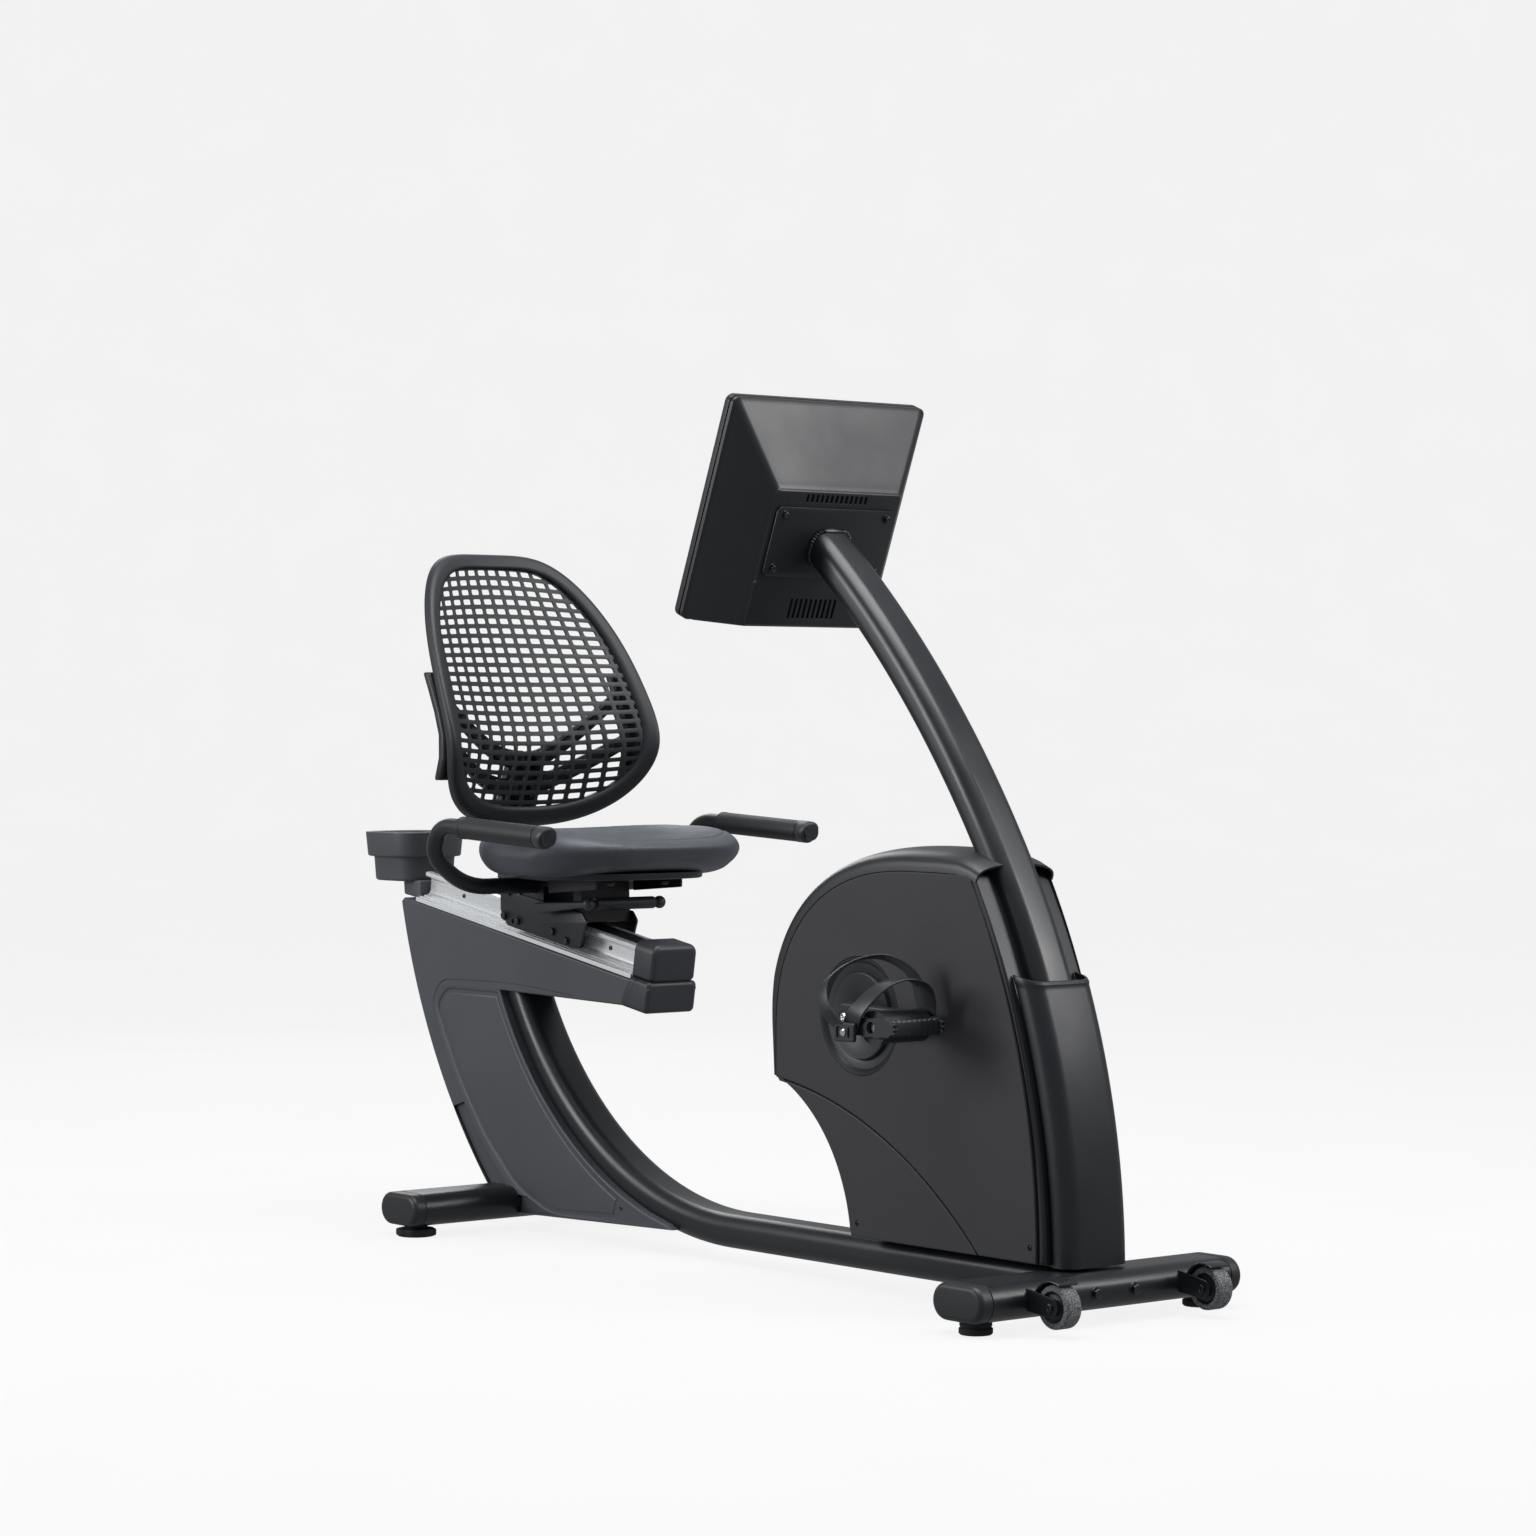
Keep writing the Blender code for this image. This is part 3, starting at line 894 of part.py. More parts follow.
def back_outline(inset_by=0.0, steps=30):
    """The frame's outline as (y, z): egg-shaped, widest above the seat and narrower at the top."""
    middle = (BACK_BOTTOM + BACK_TOP) / 2
    half_z = (BACK_TOP - BACK_BOTTOM) / 2
    points = []
    for k in range(steps):
        angle = 2 * pi * k / steps
        c, s = cos(angle), sin(angle)
        z = (1 if s > 0 else -1) * abs(s) ** (2 / 3.0)
        taper = 1 - 0.135 * z - 0.10 * z * z
        power = 2.6 + 0.9 * (1 + z)
        y = (1 if c > 0 else -1) * abs(c) ** (2 / power) * taper
        points.append((y * (BACK_HALF_WIDTH - inset_by) * 0.985, middle + z * (half_z - inset_by)))
    return points


def back_ring(inset_by, depth, share=1.0):
    """A ring set in from the frame's outline, behind the front surface by depth."""
    middle = (BACK_BOTTOM + BACK_TOP) / 2
    ring = [(y * share, middle + (z - middle) * share) for y, z in back_outline(inset_by)]
    return [(back_x(y, z) - depth, y, z) for y, z in ring]


front_skin, back_skin = 0.008, 0.008 + BACK_SKIN
rings = [back_ring(BACK_RIM, front_skin, s) for s in (0.12, 0.4, 0.7)]
rings += [back_ring(BACK_RIM, front_skin), back_ring(BACK_RIM - 0.004, 0.001), back_ring(0.008, 0.0),
          back_ring(0.0, 0.008),
          back_ring(0.001, BACK_DEPTH - 0.006), back_ring(0.008, BACK_DEPTH),
          back_ring(BACK_RIM - 0.004, BACK_DEPTH - 0.001),
          back_ring(BACK_RIM, back_skin)]
rings += [back_ring(BACK_RIM, back_skin, s) for s in (0.7, 0.4, 0.12)]
loft("backrest", rings, black_plastic, machine)

SPINE_TOP_Z, SPINE_CLEAR = 0.745, 0.004
spine_foot_x = -1.2625 - GAP
spine_foot_z = beam_line(spine_foot_x, RAIL_HEIGHT / cos(RAIL_TILT)) + 0.0115
spine_line = [Vector((spine_foot_x, 0, spine_foot_z)), Vector((-1.300, 0, spine_foot_z + 0.038)),
              Vector((-1.318, 0, 0.620)),
              Vector((back_x(0, 0.69) - BACK_DEPTH - SPINE_THICK - SPINE_CLEAR, 0, 0.690)),
              Vector((back_x(0, SPINE_TOP_Z) - BACK_DEPTH - SPINE_THICK - SPINE_CLEAR, 0, SPINE_TOP_Z))]
spine_rings = []
for k, point in enumerate(spine_line):
    ahead = (spine_line[min(k + 1, 4)] - spine_line[max(k - 1, 0)]).normalized()
    across = Vector((ahead.z, 0, -ahead.x))
    half = SPINE_HALF * (1.25 - 0.08 * k)
    ring = section(rounded_rectangle(2 * half, SPINE_THICK, 0.005, 2), point, across)
    if k == 0:
        ring = slide_to_plane(ring, Vector((-1, 0, 0)), point, Vector((1, 0, 0)))
    spine_rings.append(ring)
support = loft("backrest_support", spine_rings, black_plastic, machine)


def wing_rings(side):
    """An arm from the spine out and up to the frame's side, behind the skin."""
    rings = []
    for k in range(8):
        t = k / 7
        y, z = side * (0.012 + 0.164 * t), SPINE_TOP_Z - 0.020 + 0.075 * t ** 1.3
        x = back_x(y, z) - BACK_DEPTH - SPINE_CLEAR - SPINE_THICK * 0.5
        height = 0.052 - 0.010 * t
        rings.append([(x + a, y, z + b) for a, b in rounded_rectangle(SPINE_THICK * 0.9, height, 0.005, 2)])
    return rings


for side, hand in ((-1, "right"), (1, "left")):
    join(support, loft("wing_" + hand, wing_rings(side), parent=machine))
    post_y = side * 0.176
    column = []
    for z in (0.705, 0.740, 0.775, 0.810, 0.845, 0.872):
        x = back_x(post_y, z) - BACK_DEPTH - SPINE_CLEAR - 0.012
        column.append([(x + a, post_y + b, z) for a, b in rounded_rectangle(0.024, 0.030, 0.005, 2)])
    join(support, loft("side_block_" + hand, column, parent=machine))


# ---- release lever ------------------------------------------------------------------------------
start_y = PLATE_Y + PLATE_THICK + 0.0006
corners = [(LEVER_PIVOT_X, -start_y, LEVER_PIVOT_Z), (LEVER_PIVOT_X, -LEVER_Y, LEVER_PIVOT_Z),
           (LEVER_BAR_X, -LEVER_Y, LEVER_BAR_Z)]
path = round_path(corners + [(x, -y, z) for x, y, z in corners[::-1]], 0.014, 4)
rings = bar_rings(path, LEVER_R, 10)
loft("release_lever", rings, black_plastic, machine, (LEVER_PIVOT_X, 0, LEVER_PIVOT_Z))


# ---- console ------------------------------------------------------------------------------------
def panel_ring(depth, width, height, corner, drop=0.0):
    """A rounded rectangle of the console: x is the depth behind the screen's rim, z runs up the panel."""
    return [(depth, a, b - drop) for a, b in rounded_rectangle(width, height, corner)]


w, h, c = CONSOLE_WIDTH, CONSOLE_HEIGHT, CONSOLE_CORNER
rim = 2 * BEZEL_RIM
rings = [panel_ring(-GAP, w, h, c), panel_ring(-BEZEL_DEPTH + 0.003, w, h, c),
         panel_ring(-BEZEL_DEPTH, w - 0.006, h - 0.006, c - 0.002),
         panel_ring(-BEZEL_DEPTH, w - rim, h - rim, 0.004),
         panel_ring(-BEZEL_DEPTH + GLASS_THICK + GAP, w - rim, h - rim, 0.004),
         panel_ring(-BEZEL_DEPTH + GLASS_THICK + GAP, w - 2 * rim, h - 2 * rim, 0.004),
         panel_ring(-GAP, w - 2 * rim, h - 2 * rim, 0.004)]
loft("console_bezel", rings, black_plastic, console_frame, closed=True)
glass = [panel_ring(-BEZEL_DEPTH + d, w - rim - 2 * GAP, h - rim - 2 * GAP, 0.004)
         for d in (0, GLASS_THICK)]
loft("console_screen", glass, screen_glass, console_frame)

t = SHELL_WALL
rings = [panel_ring(0, w, h, c), panel_ring(0.010, w, h, c),
         panel_ring(SHELL_DEPTH - 0.004, BOX_WIDTH + 0.006, BOX_HEIGHT + 0.006, 0.008, BOX_DROP),
         panel_ring(SHELL_DEPTH, BOX_WIDTH, BOX_HEIGHT, 0.005, BOX_DROP),
         panel_ring(SHELL_DEPTH - t, BOX_WIDTH - 2 * t, BOX_HEIGHT - 2 * t, 0.004, BOX_DROP),
         panel_ring(SHELL_DEPTH - 0.008, BOX_WIDTH - 2 * t, BOX_HEIGHT - 2 * t, 0.006, BOX_DROP),
         panel_ring(0.010, w - 2 * t, h - 2 * t, c - t),
         panel_ring(0, w - 2 * t, h - 2 * t, c - t)]
mesh = bmesh.new()
rows = [[mesh.verts.new(p) for p in ring] for ring in rings]
for k, (one, two) in enumerate(zip(rows, rows[1:] + rows[:1])):
    if k == 3:
        mesh.faces.new(one)
        mesh.faces.new(two)
        continue
    for n in range(len(one)):
        m = (n + 1) % len(one)
        mesh.faces.new((one[n], one[m], two[m], two[n]))
console_back = finish("console_back_shell", mesh, black_plastic, console_frame)

plate_rings = [panel_ring(SHELL_DEPTH + GAP, BRACKET_WIDTH, BRACKET_HEIGHT, 0.006, BRACKET_DROP),
               panel_ring(SHELL_DEPTH + GAP + BRACKET_THICK, BRACKET_WIDTH, BRACKET_HEIGHT, 0.006,
                          BRACKET_DROP)]
loft("console_bracket", plate_rings, steel_paint, console_frame)
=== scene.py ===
"""Recumbent exercise bike: the finished surfaces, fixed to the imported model.

Lengths are in metres. X is measured from the middle of the front stabilizer, Y to the rider's left and Z
up from the floor. put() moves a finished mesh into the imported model's frame.
"""
import bmesh
import bpy
import numpy as np
from math import atan2, cos, pi, radians, sin, sqrt, tan
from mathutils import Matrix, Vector
from mathutils.geometry import tessellate_polygon


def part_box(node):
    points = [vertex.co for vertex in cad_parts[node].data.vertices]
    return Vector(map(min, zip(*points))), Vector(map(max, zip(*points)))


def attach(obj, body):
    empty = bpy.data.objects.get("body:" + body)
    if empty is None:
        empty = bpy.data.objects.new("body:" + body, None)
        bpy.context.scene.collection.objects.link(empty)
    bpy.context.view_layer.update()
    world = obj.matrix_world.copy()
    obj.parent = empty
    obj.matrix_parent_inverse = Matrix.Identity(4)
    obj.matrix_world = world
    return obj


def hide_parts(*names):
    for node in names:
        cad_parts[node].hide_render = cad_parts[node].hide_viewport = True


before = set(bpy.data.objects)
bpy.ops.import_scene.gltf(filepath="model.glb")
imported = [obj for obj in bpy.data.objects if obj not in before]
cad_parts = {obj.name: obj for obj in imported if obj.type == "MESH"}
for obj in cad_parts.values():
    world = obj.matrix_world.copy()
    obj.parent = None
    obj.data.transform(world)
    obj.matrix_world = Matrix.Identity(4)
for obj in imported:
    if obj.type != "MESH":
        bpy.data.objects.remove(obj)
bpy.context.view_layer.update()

end_low, end_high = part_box("front_end_cap_left")
MACHINE_X = (end_low.x + end_high.x) / 2


# ---- camera, floor and light --------------------------------------------------------------------
# The camera stands low and to the right of the bike, ahead of it, with a long lens. The floor is one
# pale sheet that runs up behind the bike in a wide curve, under large soft lamps.
def linear(code):
    """An sRGB hex colour as linear RGBA: ((c + 0.055) / 1.055) to the power 2.4, or c / 12.92 when dark."""
    parts = np.array([int(code[k:k + 2], 16) for k in (1, 3, 5)]) / 255
    values = np.where(parts > 0.04045, ((parts + 0.055) / 1.055) ** 2.4, parts / 12.92)
    return (*values, 1.0)


def add_node(material, kind, links=(), **settings):
    """Adds one shader node. A setting names a socket or a property; a link is (output, input name)."""
    node = material.node_tree.nodes.new("ShaderNode" + kind)
    for name, value in settings.items():
        socket = node.inputs.get(name.replace("_", " "))
        if socket is not None:
            socket.default_value = value
        else:
            setattr(node, name, value)
    for output, name in links:
        material.node_tree.links.new(output, node.inputs[name])
    return node


def new_material(name, hex_colour, roughness, metallic=0.0, specular=0.5):
    """A material with one Principled shader, and its Object coordinates."""
    material = bpy.data.materials.new(name)
    material.use_nodes = True
    shader = material.node_tree.nodes["Principled BSDF"]
    shader.inputs["Base Color"].default_value = linear(hex_colour)
    shader.inputs["Roughness"].default_value = roughness
    shader.inputs["Metallic"].default_value = metallic
    shader.inputs["Specular IOR Level"].default_value = specular
    place = add_node(material, "TexCoord").outputs["Object"]
    return material, shader, place


def wire(material, output, socket):
    """Joins one output to a socket."""
    material.node_tree.links.new(output, socket)


camera = bpy.data.objects.new("camera", bpy.data.cameras.new("camera"))
bpy.context.scene.collection.objects.link(camera)
camera.location = (4.61526, -3.70373, 0.79596)
camera.rotation_euler = (radians(90 - 0.8952), 0, radians(51.243))
camera.data.lens = 93.83
camera.data.sensor_width = 36
camera.data.shift_x, camera.data.shift_y = 0.026, 0.0103
camera.data.clip_end = 100
bpy.context.scene.camera = camera


def grid_faces(rows, columns, wrap_rows=False, wrap_columns=False):
    """Quads between the points of a grid, counted row by row; either way round can join up."""
    r = np.arange(rows if wrap_rows else rows - 1)[:, None]
    c = np.arange(columns if wrap_columns else columns - 1)[None, :]
    r1, c1 = (r + 1) % rows, (c + 1) % columns
    corners = (r * columns + c, r * columns + c1, r1 * columns + c1, r1 * columns + c)
    return np.stack([np.broadcast_to(k, (r.size, c.size)).ravel() for k in corners], axis=1)


def backdrop(half=14.0, back=-11.0, curve=4.0):
    """A floor that turns up into a wall: flat, then a quarter circle, then straight up."""
    angles = np.linspace(0, pi / 2, 25)
    along = np.concatenate([[16.0], back - curve * np.sin(angles)])
    height = np.concatenate([[0.0], curve * (1 - np.cos(angles))])
    along, height = np.append(along, along[-1]), np.append(height, 16.0)
    side = np.array([-half, half])
    spread = np.broadcast_to(side, (len(along), 2))
    flat = np.stack([np.repeat(along[:, None], 2, 1), spread, np.repeat(height[:, None], 2, 1)], axis=-1)
    turn = radians(-37.5)
    x, y = flat[..., 0] * cos(turn) - flat[..., 1] * sin(turn), flat[..., 0] * sin(turn) + flat[...,
        1] * cos(turn)
    points = np.stack([x, y, flat[..., 2]], axis=-1).reshape(-1, 3)
    mesh = bpy.data.meshes.new("studio_floor")
    mesh.from_pydata(points.tolist(), [], grid_faces(len(along), 2).tolist())
    mesh.shade_smooth()
    return bpy.data.objects.new("studio_floor", mesh)


# White studio paper: matt, and bright enough by itself to show no horizon.
studio_paper, shader, place = new_material("studio_paper", "#4a4a4a", 1.0, specular=0.0)
fibres = add_node(studio_paper, "TexNoise", [(place, "Vector")], Scale=3.0, Detail=3.0)
tint = add_node(studio_paper, "Mix", [(fibres.outputs["Fac"], "Factor")], data_type='RGBA')
tint.inputs[6].default_value, tint.inputs[7].default_value = linear("#eeeeee"), linear("#f0f0f0")
wire(studio_paper, tint.outputs[2], shader.inputs["Emission Color"])
shader.inputs["Emission Strength"].default_value = 1.0
floor = backdrop()
floor.data.materials.append(studio_paper)
bpy.context.scene.collection.objects.link(floor)
floor.visible_diffuse = floor.visible_glossy = False


def lamp(name, place, aim, size, power):
    """A square area lamp that faces a point."""
    light = bpy.data.lights.new(name, 'AREA')
    light.shape = 'RECTANGLE'
    light.size, light.size_y = size
    light.energy = power
    holder = bpy.data.objects.new(name, light)
    holder.location = place
    holder.rotation_euler = (Vector(aim) - Vector(place)).to_track_quat('-Z', 'Y').to_euler()
    bpy.context.scene.collection.objects.link(holder)
    return holder


MIDDLE = (0.0, 0.0, 0.6)
lamp("overhead_softbox", (0.4, -0.3, 3.6), MIDDLE, (2.8, 2.0), 130)
lamp("front_strip", (3.2, 2.4, 2.9), (0.2, 0, 0.6), (1.0, 2.4), 85)
lamp("right_fill", (-2.2, -3.9, 1.9), (-0.5, 0, 0.4), (1.8, 2.2), 105)
lamp("rear_rim", (-3.4, 1.6, 2.2), MIDDLE, (1.4, 2.4), 30)
world = bpy.data.worlds.new("studio")
bpy.context.scene.world = world
world.use_nodes = True
world.node_tree.nodes["Background"].inputs["Color"].default_value = linear("#f4f6fa")
world.node_tree.nodes["Background"].inputs["Strength"].default_value = 0.35
bpy.context.scene.view_settings.view_transform = 'Standard'


# ---- stabilizers --------------------------------------------------------------------------------
# Two flat oval steel tubes lie across the floor, one under each end, and carry the whole bike. They are
# cut from 100 x 50 mm tube and powder coated in satin black, with two bolt heads on the front one.
FOOT_HEIGHT, STAB_DEPTH, STAB_HEIGHT = 0.018, 0.098, 0.05
STAB_Z = FOOT_HEIGHT + STAB_HEIGHT / 2
FRONT_STAB_HALF, REAR_STAB_HALF, REAR_STAB_X, STAB_CAP = 0.24, 0.243, -1.2815, 0.022
X_AXIS, Y_AXIS, Z_AXIS = np.eye(3)
SIDES = ((-1, "right"), (1, "left"))


def powder_coat(name, hex_colour, roughness):
    """Powder-coated steel: a blue-black baked film, whose slight orange peel breaks up the highlights."""
    material, shader, place = new_material(name, hex_colour, roughness, specular=0.5)
    drift = add_node(material, "TexNoise", [(place, "Vector")], Scale=9.0, Detail=3.0)
    low, high = roughness - 0.05, roughness + 0.06
    gloss = add_node(material, "MapRange", [(drift.outputs["Fac"], "Value")],
                     From_Min=0.3, From_Max=0.7, To_Min=low, To_Max=high)
    wire(material, gloss.outputs["Result"], shader.inputs["Roughness"])
    # the peel is about 2 mm across, drawn at 4 mm so that it shows
    peel = add_node(material, "TexNoise", [(place, "Vector")], Scale=250.0, Detail=1.0)
    bump = add_node(material, "Bump", [(peel.outputs["Fac"], "Height")], Strength=0.1, Distance=0.0004)
    wire(material, bump.outputs["Normal"], shader.inputs["Normal"])
    return material


# Baked polyester powder on steel tube: satin black, with a soft broken highlight.
black_powder_coat = powder_coat("satin_black_powder_coat", "#17191d", 0.34)


def chamfer_round(corners, radius, steps=5, closed=True):
    """Rounds every corner of a path: between two points, each radius from the corner, the path follows
    start (1 - t) squared + corner 2 t (1 - t) + end t squared."""
    corners = np.asarray(corners, float)
    radius = np.broadcast_to(np.asarray(radius, float), (len(corners),))[:, None]
    before, after = np.roll(corners, 1, 0) - corners, np.roll(corners, -1, 0) - corners
    length_before, length_after = (np.linalg.norm(v, axis=1, keepdims=True) + 1e-12
        for v in (before, after))
    start = corners + before / length_before * np.minimum(radius, 0.48 * length_before)
    end = corners + after / length_after * np.minimum(radius, 0.48 * length_after)
    t = np.linspace(0, 1, steps + 1)[None, :, None]
    curve = start[:, None] * (1 - t) ** 2 + corners[:, None] * 2 * t * (1 - t) + end[:, None] * t ** 2
    if closed:
        return curve.reshape(-1, corners.shape[1])
    return np.concatenate([corners[:1], curve[1:-1].reshape(-1, corners.shape[1]), corners[-1:]])


def arc(x, z, radius, start, end, steps):
    """Points at a radius from (x, z), from one angle to another in equal steps."""
    angles = np.linspace(start, end, steps + 1)
    return np.column_stack([x + radius * np.cos(angles), z + radius * np.sin(angles)])


def rounded_box(width, height, corner, steps=6):
    """A rectangle about the origin with a quarter circle at each corner."""
    parts = [arc(sx * (width / 2 - corner), sz * (height / 2 - corner), corner, k * pi / 2, (k + 1) * pi
                 / 2, steps)
             for k, (sx, sz) in enumerate(((1, 1), (-1, 1), (-1, -1), (1, -1)))]
    return np.concatenate(parts)


def skin(rings, closed=False, open_ends=False):
    """A surface over rings of points, each ring closed. The ends get flat faces, or the last ring joins
    the first."""
    rings = np.asarray(rings, float)
    count, size = rings.shape[:2]
    faces = grid_faces(count, size, wrap_rows=closed, wrap_columns=True).tolist()
    if not (closed or open_ends):
        faces += [list(range(size))[::-1], list(range((count - 1) * size, count * size))]
    return rings.reshape(-1, 3), faces


def joined(*shapes):
    """Several shapes as one list of points and one list of faces."""
    points, faces, start = [], [], 0
    for shape_points, shape_faces in shapes:
        points.append(shape_points)
        faces += [[k + start for k in face] for face in shape_faces]
        start += len(shape_points)
    return np.concatenate(points), faces


def turned(profile, centre, axis=Y_AXIS, steps=56, closed=False):
    """A profile of (radius, distance along the axis), turned round the axis through a centre."""
    axis = np.asarray(axis, float) / np.linalg.norm(axis)
    across = np.cross(axis, X_AXIS if abs(axis[0]) < 0.7 else Z_AXIS)
    across /= np.linalg.norm(across)
    other = np.cross(axis, across)
    angles = np.linspace(0, 2 * pi, steps, endpoint=False)
    spoke = np.cos(angles)[:, None] * across + np.sin(angles)[:, None] * other
    profile = np.asarray(profile, float)
    rings = np.asarray(centre, float) + profile[:, 1, None, None] * axis + profile[:, 0, None, None] * spoke
    return skin(rings, closed=closed)


def moved(shape, origin=(0, 0, 0), across=X_AXIS, up=Z_AXIS, out=Y_AXIS):
    """A shape drawn in (across, up, out) coordinates, set down at an origin along three directions."""
    points, faces = shape
    basis = np.stack([np.asarray(v, float) for v in (across, up, out)])
    return np.asarray(origin, float) + points @ basis, faces


def put(name, shape, material, body, stands_for=(), crease=32):
    """Makes a piece: points closer than 0.01 mm merged, faces turned outwards, edges sharper than the
    crease angle kept sharp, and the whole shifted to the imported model's place."""
    points, faces = shape
    mesh = bpy.data.meshes.new(name)
    mesh.from_pydata((points + MACHINE_X * X_AXIS).tolist(), [], faces)
    work = bmesh.new()
    work.from_mesh(mesh)
    bmesh.ops.remove_doubles(work, verts=work.verts, dist=1e-5)
    bmesh.ops.recalc_face_normals(work, faces=work.faces)
    work.to_mesh(mesh)
    work.free()
    mesh.shade_smooth()
    mesh.set_sharp_from_angle(angle=radians(crease))
    mesh.materials.append(material)
    piece = bpy.data.objects.new(name, mesh)
    bpy.context.scene.collection.objects.link(piece)
    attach(piece, body)
    if stands_for:
        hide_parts(*stands_for)
    return piece


def oval(x, y, z=STAB_Z, shrink=0.0, steps=18):
    """A flat oval ring in the XZ plane: two half circles joined by straight sides."""
    radius, offset = STAB_HEIGHT / 2 - shrink, (STAB_DEPTH - STAB_HEIGHT) / 2
    flat = np.concatenate([arc(offset, 0, radius, -pi / 2, pi / 2, steps),
        arc(-offset, 0, radius, pi / 2, 3 * pi / 2, steps)])
    return np.column_stack([x + flat[:, 0], np.full(len(flat), y), z + flat[:, 1]])


def stabilizer(x, half):
    """The flat oval carried along Y between the end caps, with a 0.8 mm chamfer at each end."""
    reach, chamfer = half - STAB_CAP, 0.0008
    rings = [oval(x, -reach, shrink=chamfer), oval(x, -reach + chamfer), oval(x, reach - chamfer),
             oval(x, reach, shrink=chamfer)]
    return skin(rings)


def hex_bolt(centre, axis, radius, height=0.005, washer=0.0):
    """A hexagon head with a rounded crown on a round washer: the head's radius at angle a is
    radius / cos(a - the nearest 60 degrees)."""
    axis = np.asarray(axis, float) / np.linalg.norm(axis)
    across = np.cross(axis, Z_AXIS if abs(axis[2]) < 0.9 else X_AXIS)
    across /= np.linalg.norm(across)
    other = np.cross(axis, across)
    angles = np.linspace(0, 2 * pi, 48, endpoint=False)
    spoke = np.cos(angles)[:, None] * across + np.sin(angles)[:, None] * other
    hexagon = 1 / np.cos((angles + pi / 6) % (pi / 3) - pi / 6)
    levels = [(0, washer), (0.9, washer), (1, washer + 0.1 * height), (1, washer + 0.72 * height)]
    rings = [np.asarray(centre) + axis * h + spoke * (radius * s * hexagon)[:, None] for s, h in levels]
    crown = [(0.98, washer + 0.9 * height), (0.86, washer + height), (0.5, washer + height),
             (0.45, washer + 0.86 * height), (0, washer + 0.86 * height)]
    rings += [np.asarray(centre) + axis * h + spoke * radius * s for s, h in crown]
    head = skin(rings)
    if washer:
        disc = [(0, 0), (radius * 1.45, 0), (radius * 1.5, washer * 0.5), (radius * 1.45, washer),
                (0, washer)]
        head = joined(head, turned(disc, centre, axis, 40))
    return head


def socket_screw(centre, axis, radius, height=0.004):
    """A button head: a dome with a hexagon socket sunk in it."""
    axis = np.asarray(axis, float) / np.linalg.norm(axis)
    dome = [(radius, 0), (radius, height * 0.25), (radius * 0.92, height * 0.6),
            (radius * 0.72, height * 0.9), (radius * 0.5, height),
            (radius * 0.44, height), (radius * 0.4, height * 0.9), (radius * 0.4, height * 0.25),
            (0, height * 0.25)]
    return turned([(0, 0)] + dome, centre, axis, 36)


# Black-oxide steel: a dark grey-brown oxide on machined screws, half matte, with bright worn edges.
black_oxide, shader, place = new_material("black_oxide_steel", "#4a4b4d", 0.36, metallic=1.0)
wear = add_node(black_oxide, "TexNoise", [(place, "Vector")], Scale=420.0, Detail=2.0)
ramp = add_node(black_oxide, "MapRange", [(wear.outputs["Fac"], "Value")], From_Min=0.35, From_Max=0.65,
                To_Min=0.26, To_Max=0.5)
wire(black_oxide, ramp.outputs["Result"], shader.inputs["Roughness"])

put("front_stabilizer_tube", stabilizer(0, FRONT_STAB_HALF), black_powder_coat, "frame")
put("rear_stabilizer_tube", stabilizer(REAR_STAB_X, REAR_STAB_HALF), black_powder_coat, "frame",
    ["rear_stabilizer"])
BOLT_Y, BOLT_Z = 0.0355, 0.043
bolts = joined(*[hex_bolt((STAB_DEPTH / 2 - 0.0006, side * BOLT_Y, BOLT_Z), X_AXIS, 0.0062, 0.005, 0.0015)
                 for side in (-1, 1)])
put("front_stabilizer_bolts", bolts, black_oxide, "frame")


# ---- end caps and feet --------------------------------------------------------------------------
# Each tube end is closed by a crowned nylon cap with a parting line. The front feet are plain rubber
# discs; the rear ones are lobed and screw up and down to level the bike.
def moulded(name, hex_colour, roughness, grain=600.0, depth=0.12, patch=0.5):
    """Moulded plastic: the colour drifts by a shade over a hand's width, and the steel mould's eroded
    surface leaves an even fine grain that scatters the highlight."""
    material, shader, place = new_material(name, hex_colour, roughness, specular=0.45)
    cloud = add_node(material, "TexNoise", [(place, "Vector")], Scale=7.0, Detail=4.0, Roughness=0.6)
    base = np.array(linear(hex_colour))
    shade = add_node(material, "Mix", [(cloud.outputs["Fac"], "Factor")], data_type='RGBA')
    shade.inputs[6].default_value = (*(base[:3] * (1 - 0.22 * patch)), 1)
    shade.inputs[7].default_value = (*(base[:3] * (1 + 0.22 * patch)), 1)
    wire(material, shade.outputs[2], shader.inputs["Base Color"])
    gloss = add_node(material, "MapRange", [(cloud.outputs["Fac"], "Value")], From_Min=0.3, From_Max=0.7,
                     To_Min=roughness - 0.04, To_Max=roughness + 0.05)
    wire(material, gloss.outputs["Result"], shader.inputs["Roughness"])
    erosion = add_node(material, "TexNoise", [(place, "Vector")], Scale=grain, Detail=2.0, Roughness=0.7)
    bump = add_node(material, "Bump", [(erosion.outputs["Fac"], "Height")], Strength=depth, Distance=0.0005)
    wire(material, bump.outputs["Normal"], shader.inputs["Normal"])
    return material


# Glass-filled nylon from a steel mould: dull black. Moulded rubber: duller still, with a coarser grain.
black_nylon = moulded("glass_filled_nylon_black", "#1f2124", 0.45)
foot_rubber = moulded("moulded_rubber_black", "#161718", 0.8, grain=350.0, depth=0.3)


def end_cap(x, half, side):
    """The oval carried outwards and drawn in over a quarter round, with a 1 mm step at the joint."""
    joint, crown = half - STAB_CAP, 0.008
    turn = np.linspace(0, pi / 2, 9)
    levels = [(0.0012, joint), (0.0012, joint + 0.001), (0, joint + 0.0018), (0, half - crown)]
    levels += [(crown * (1 - cos(a)), half - crown + crown * sin(a)) for a in turn[1:]]
    return skin([oval(x, side * y, shrink=s) for s, y in levels])


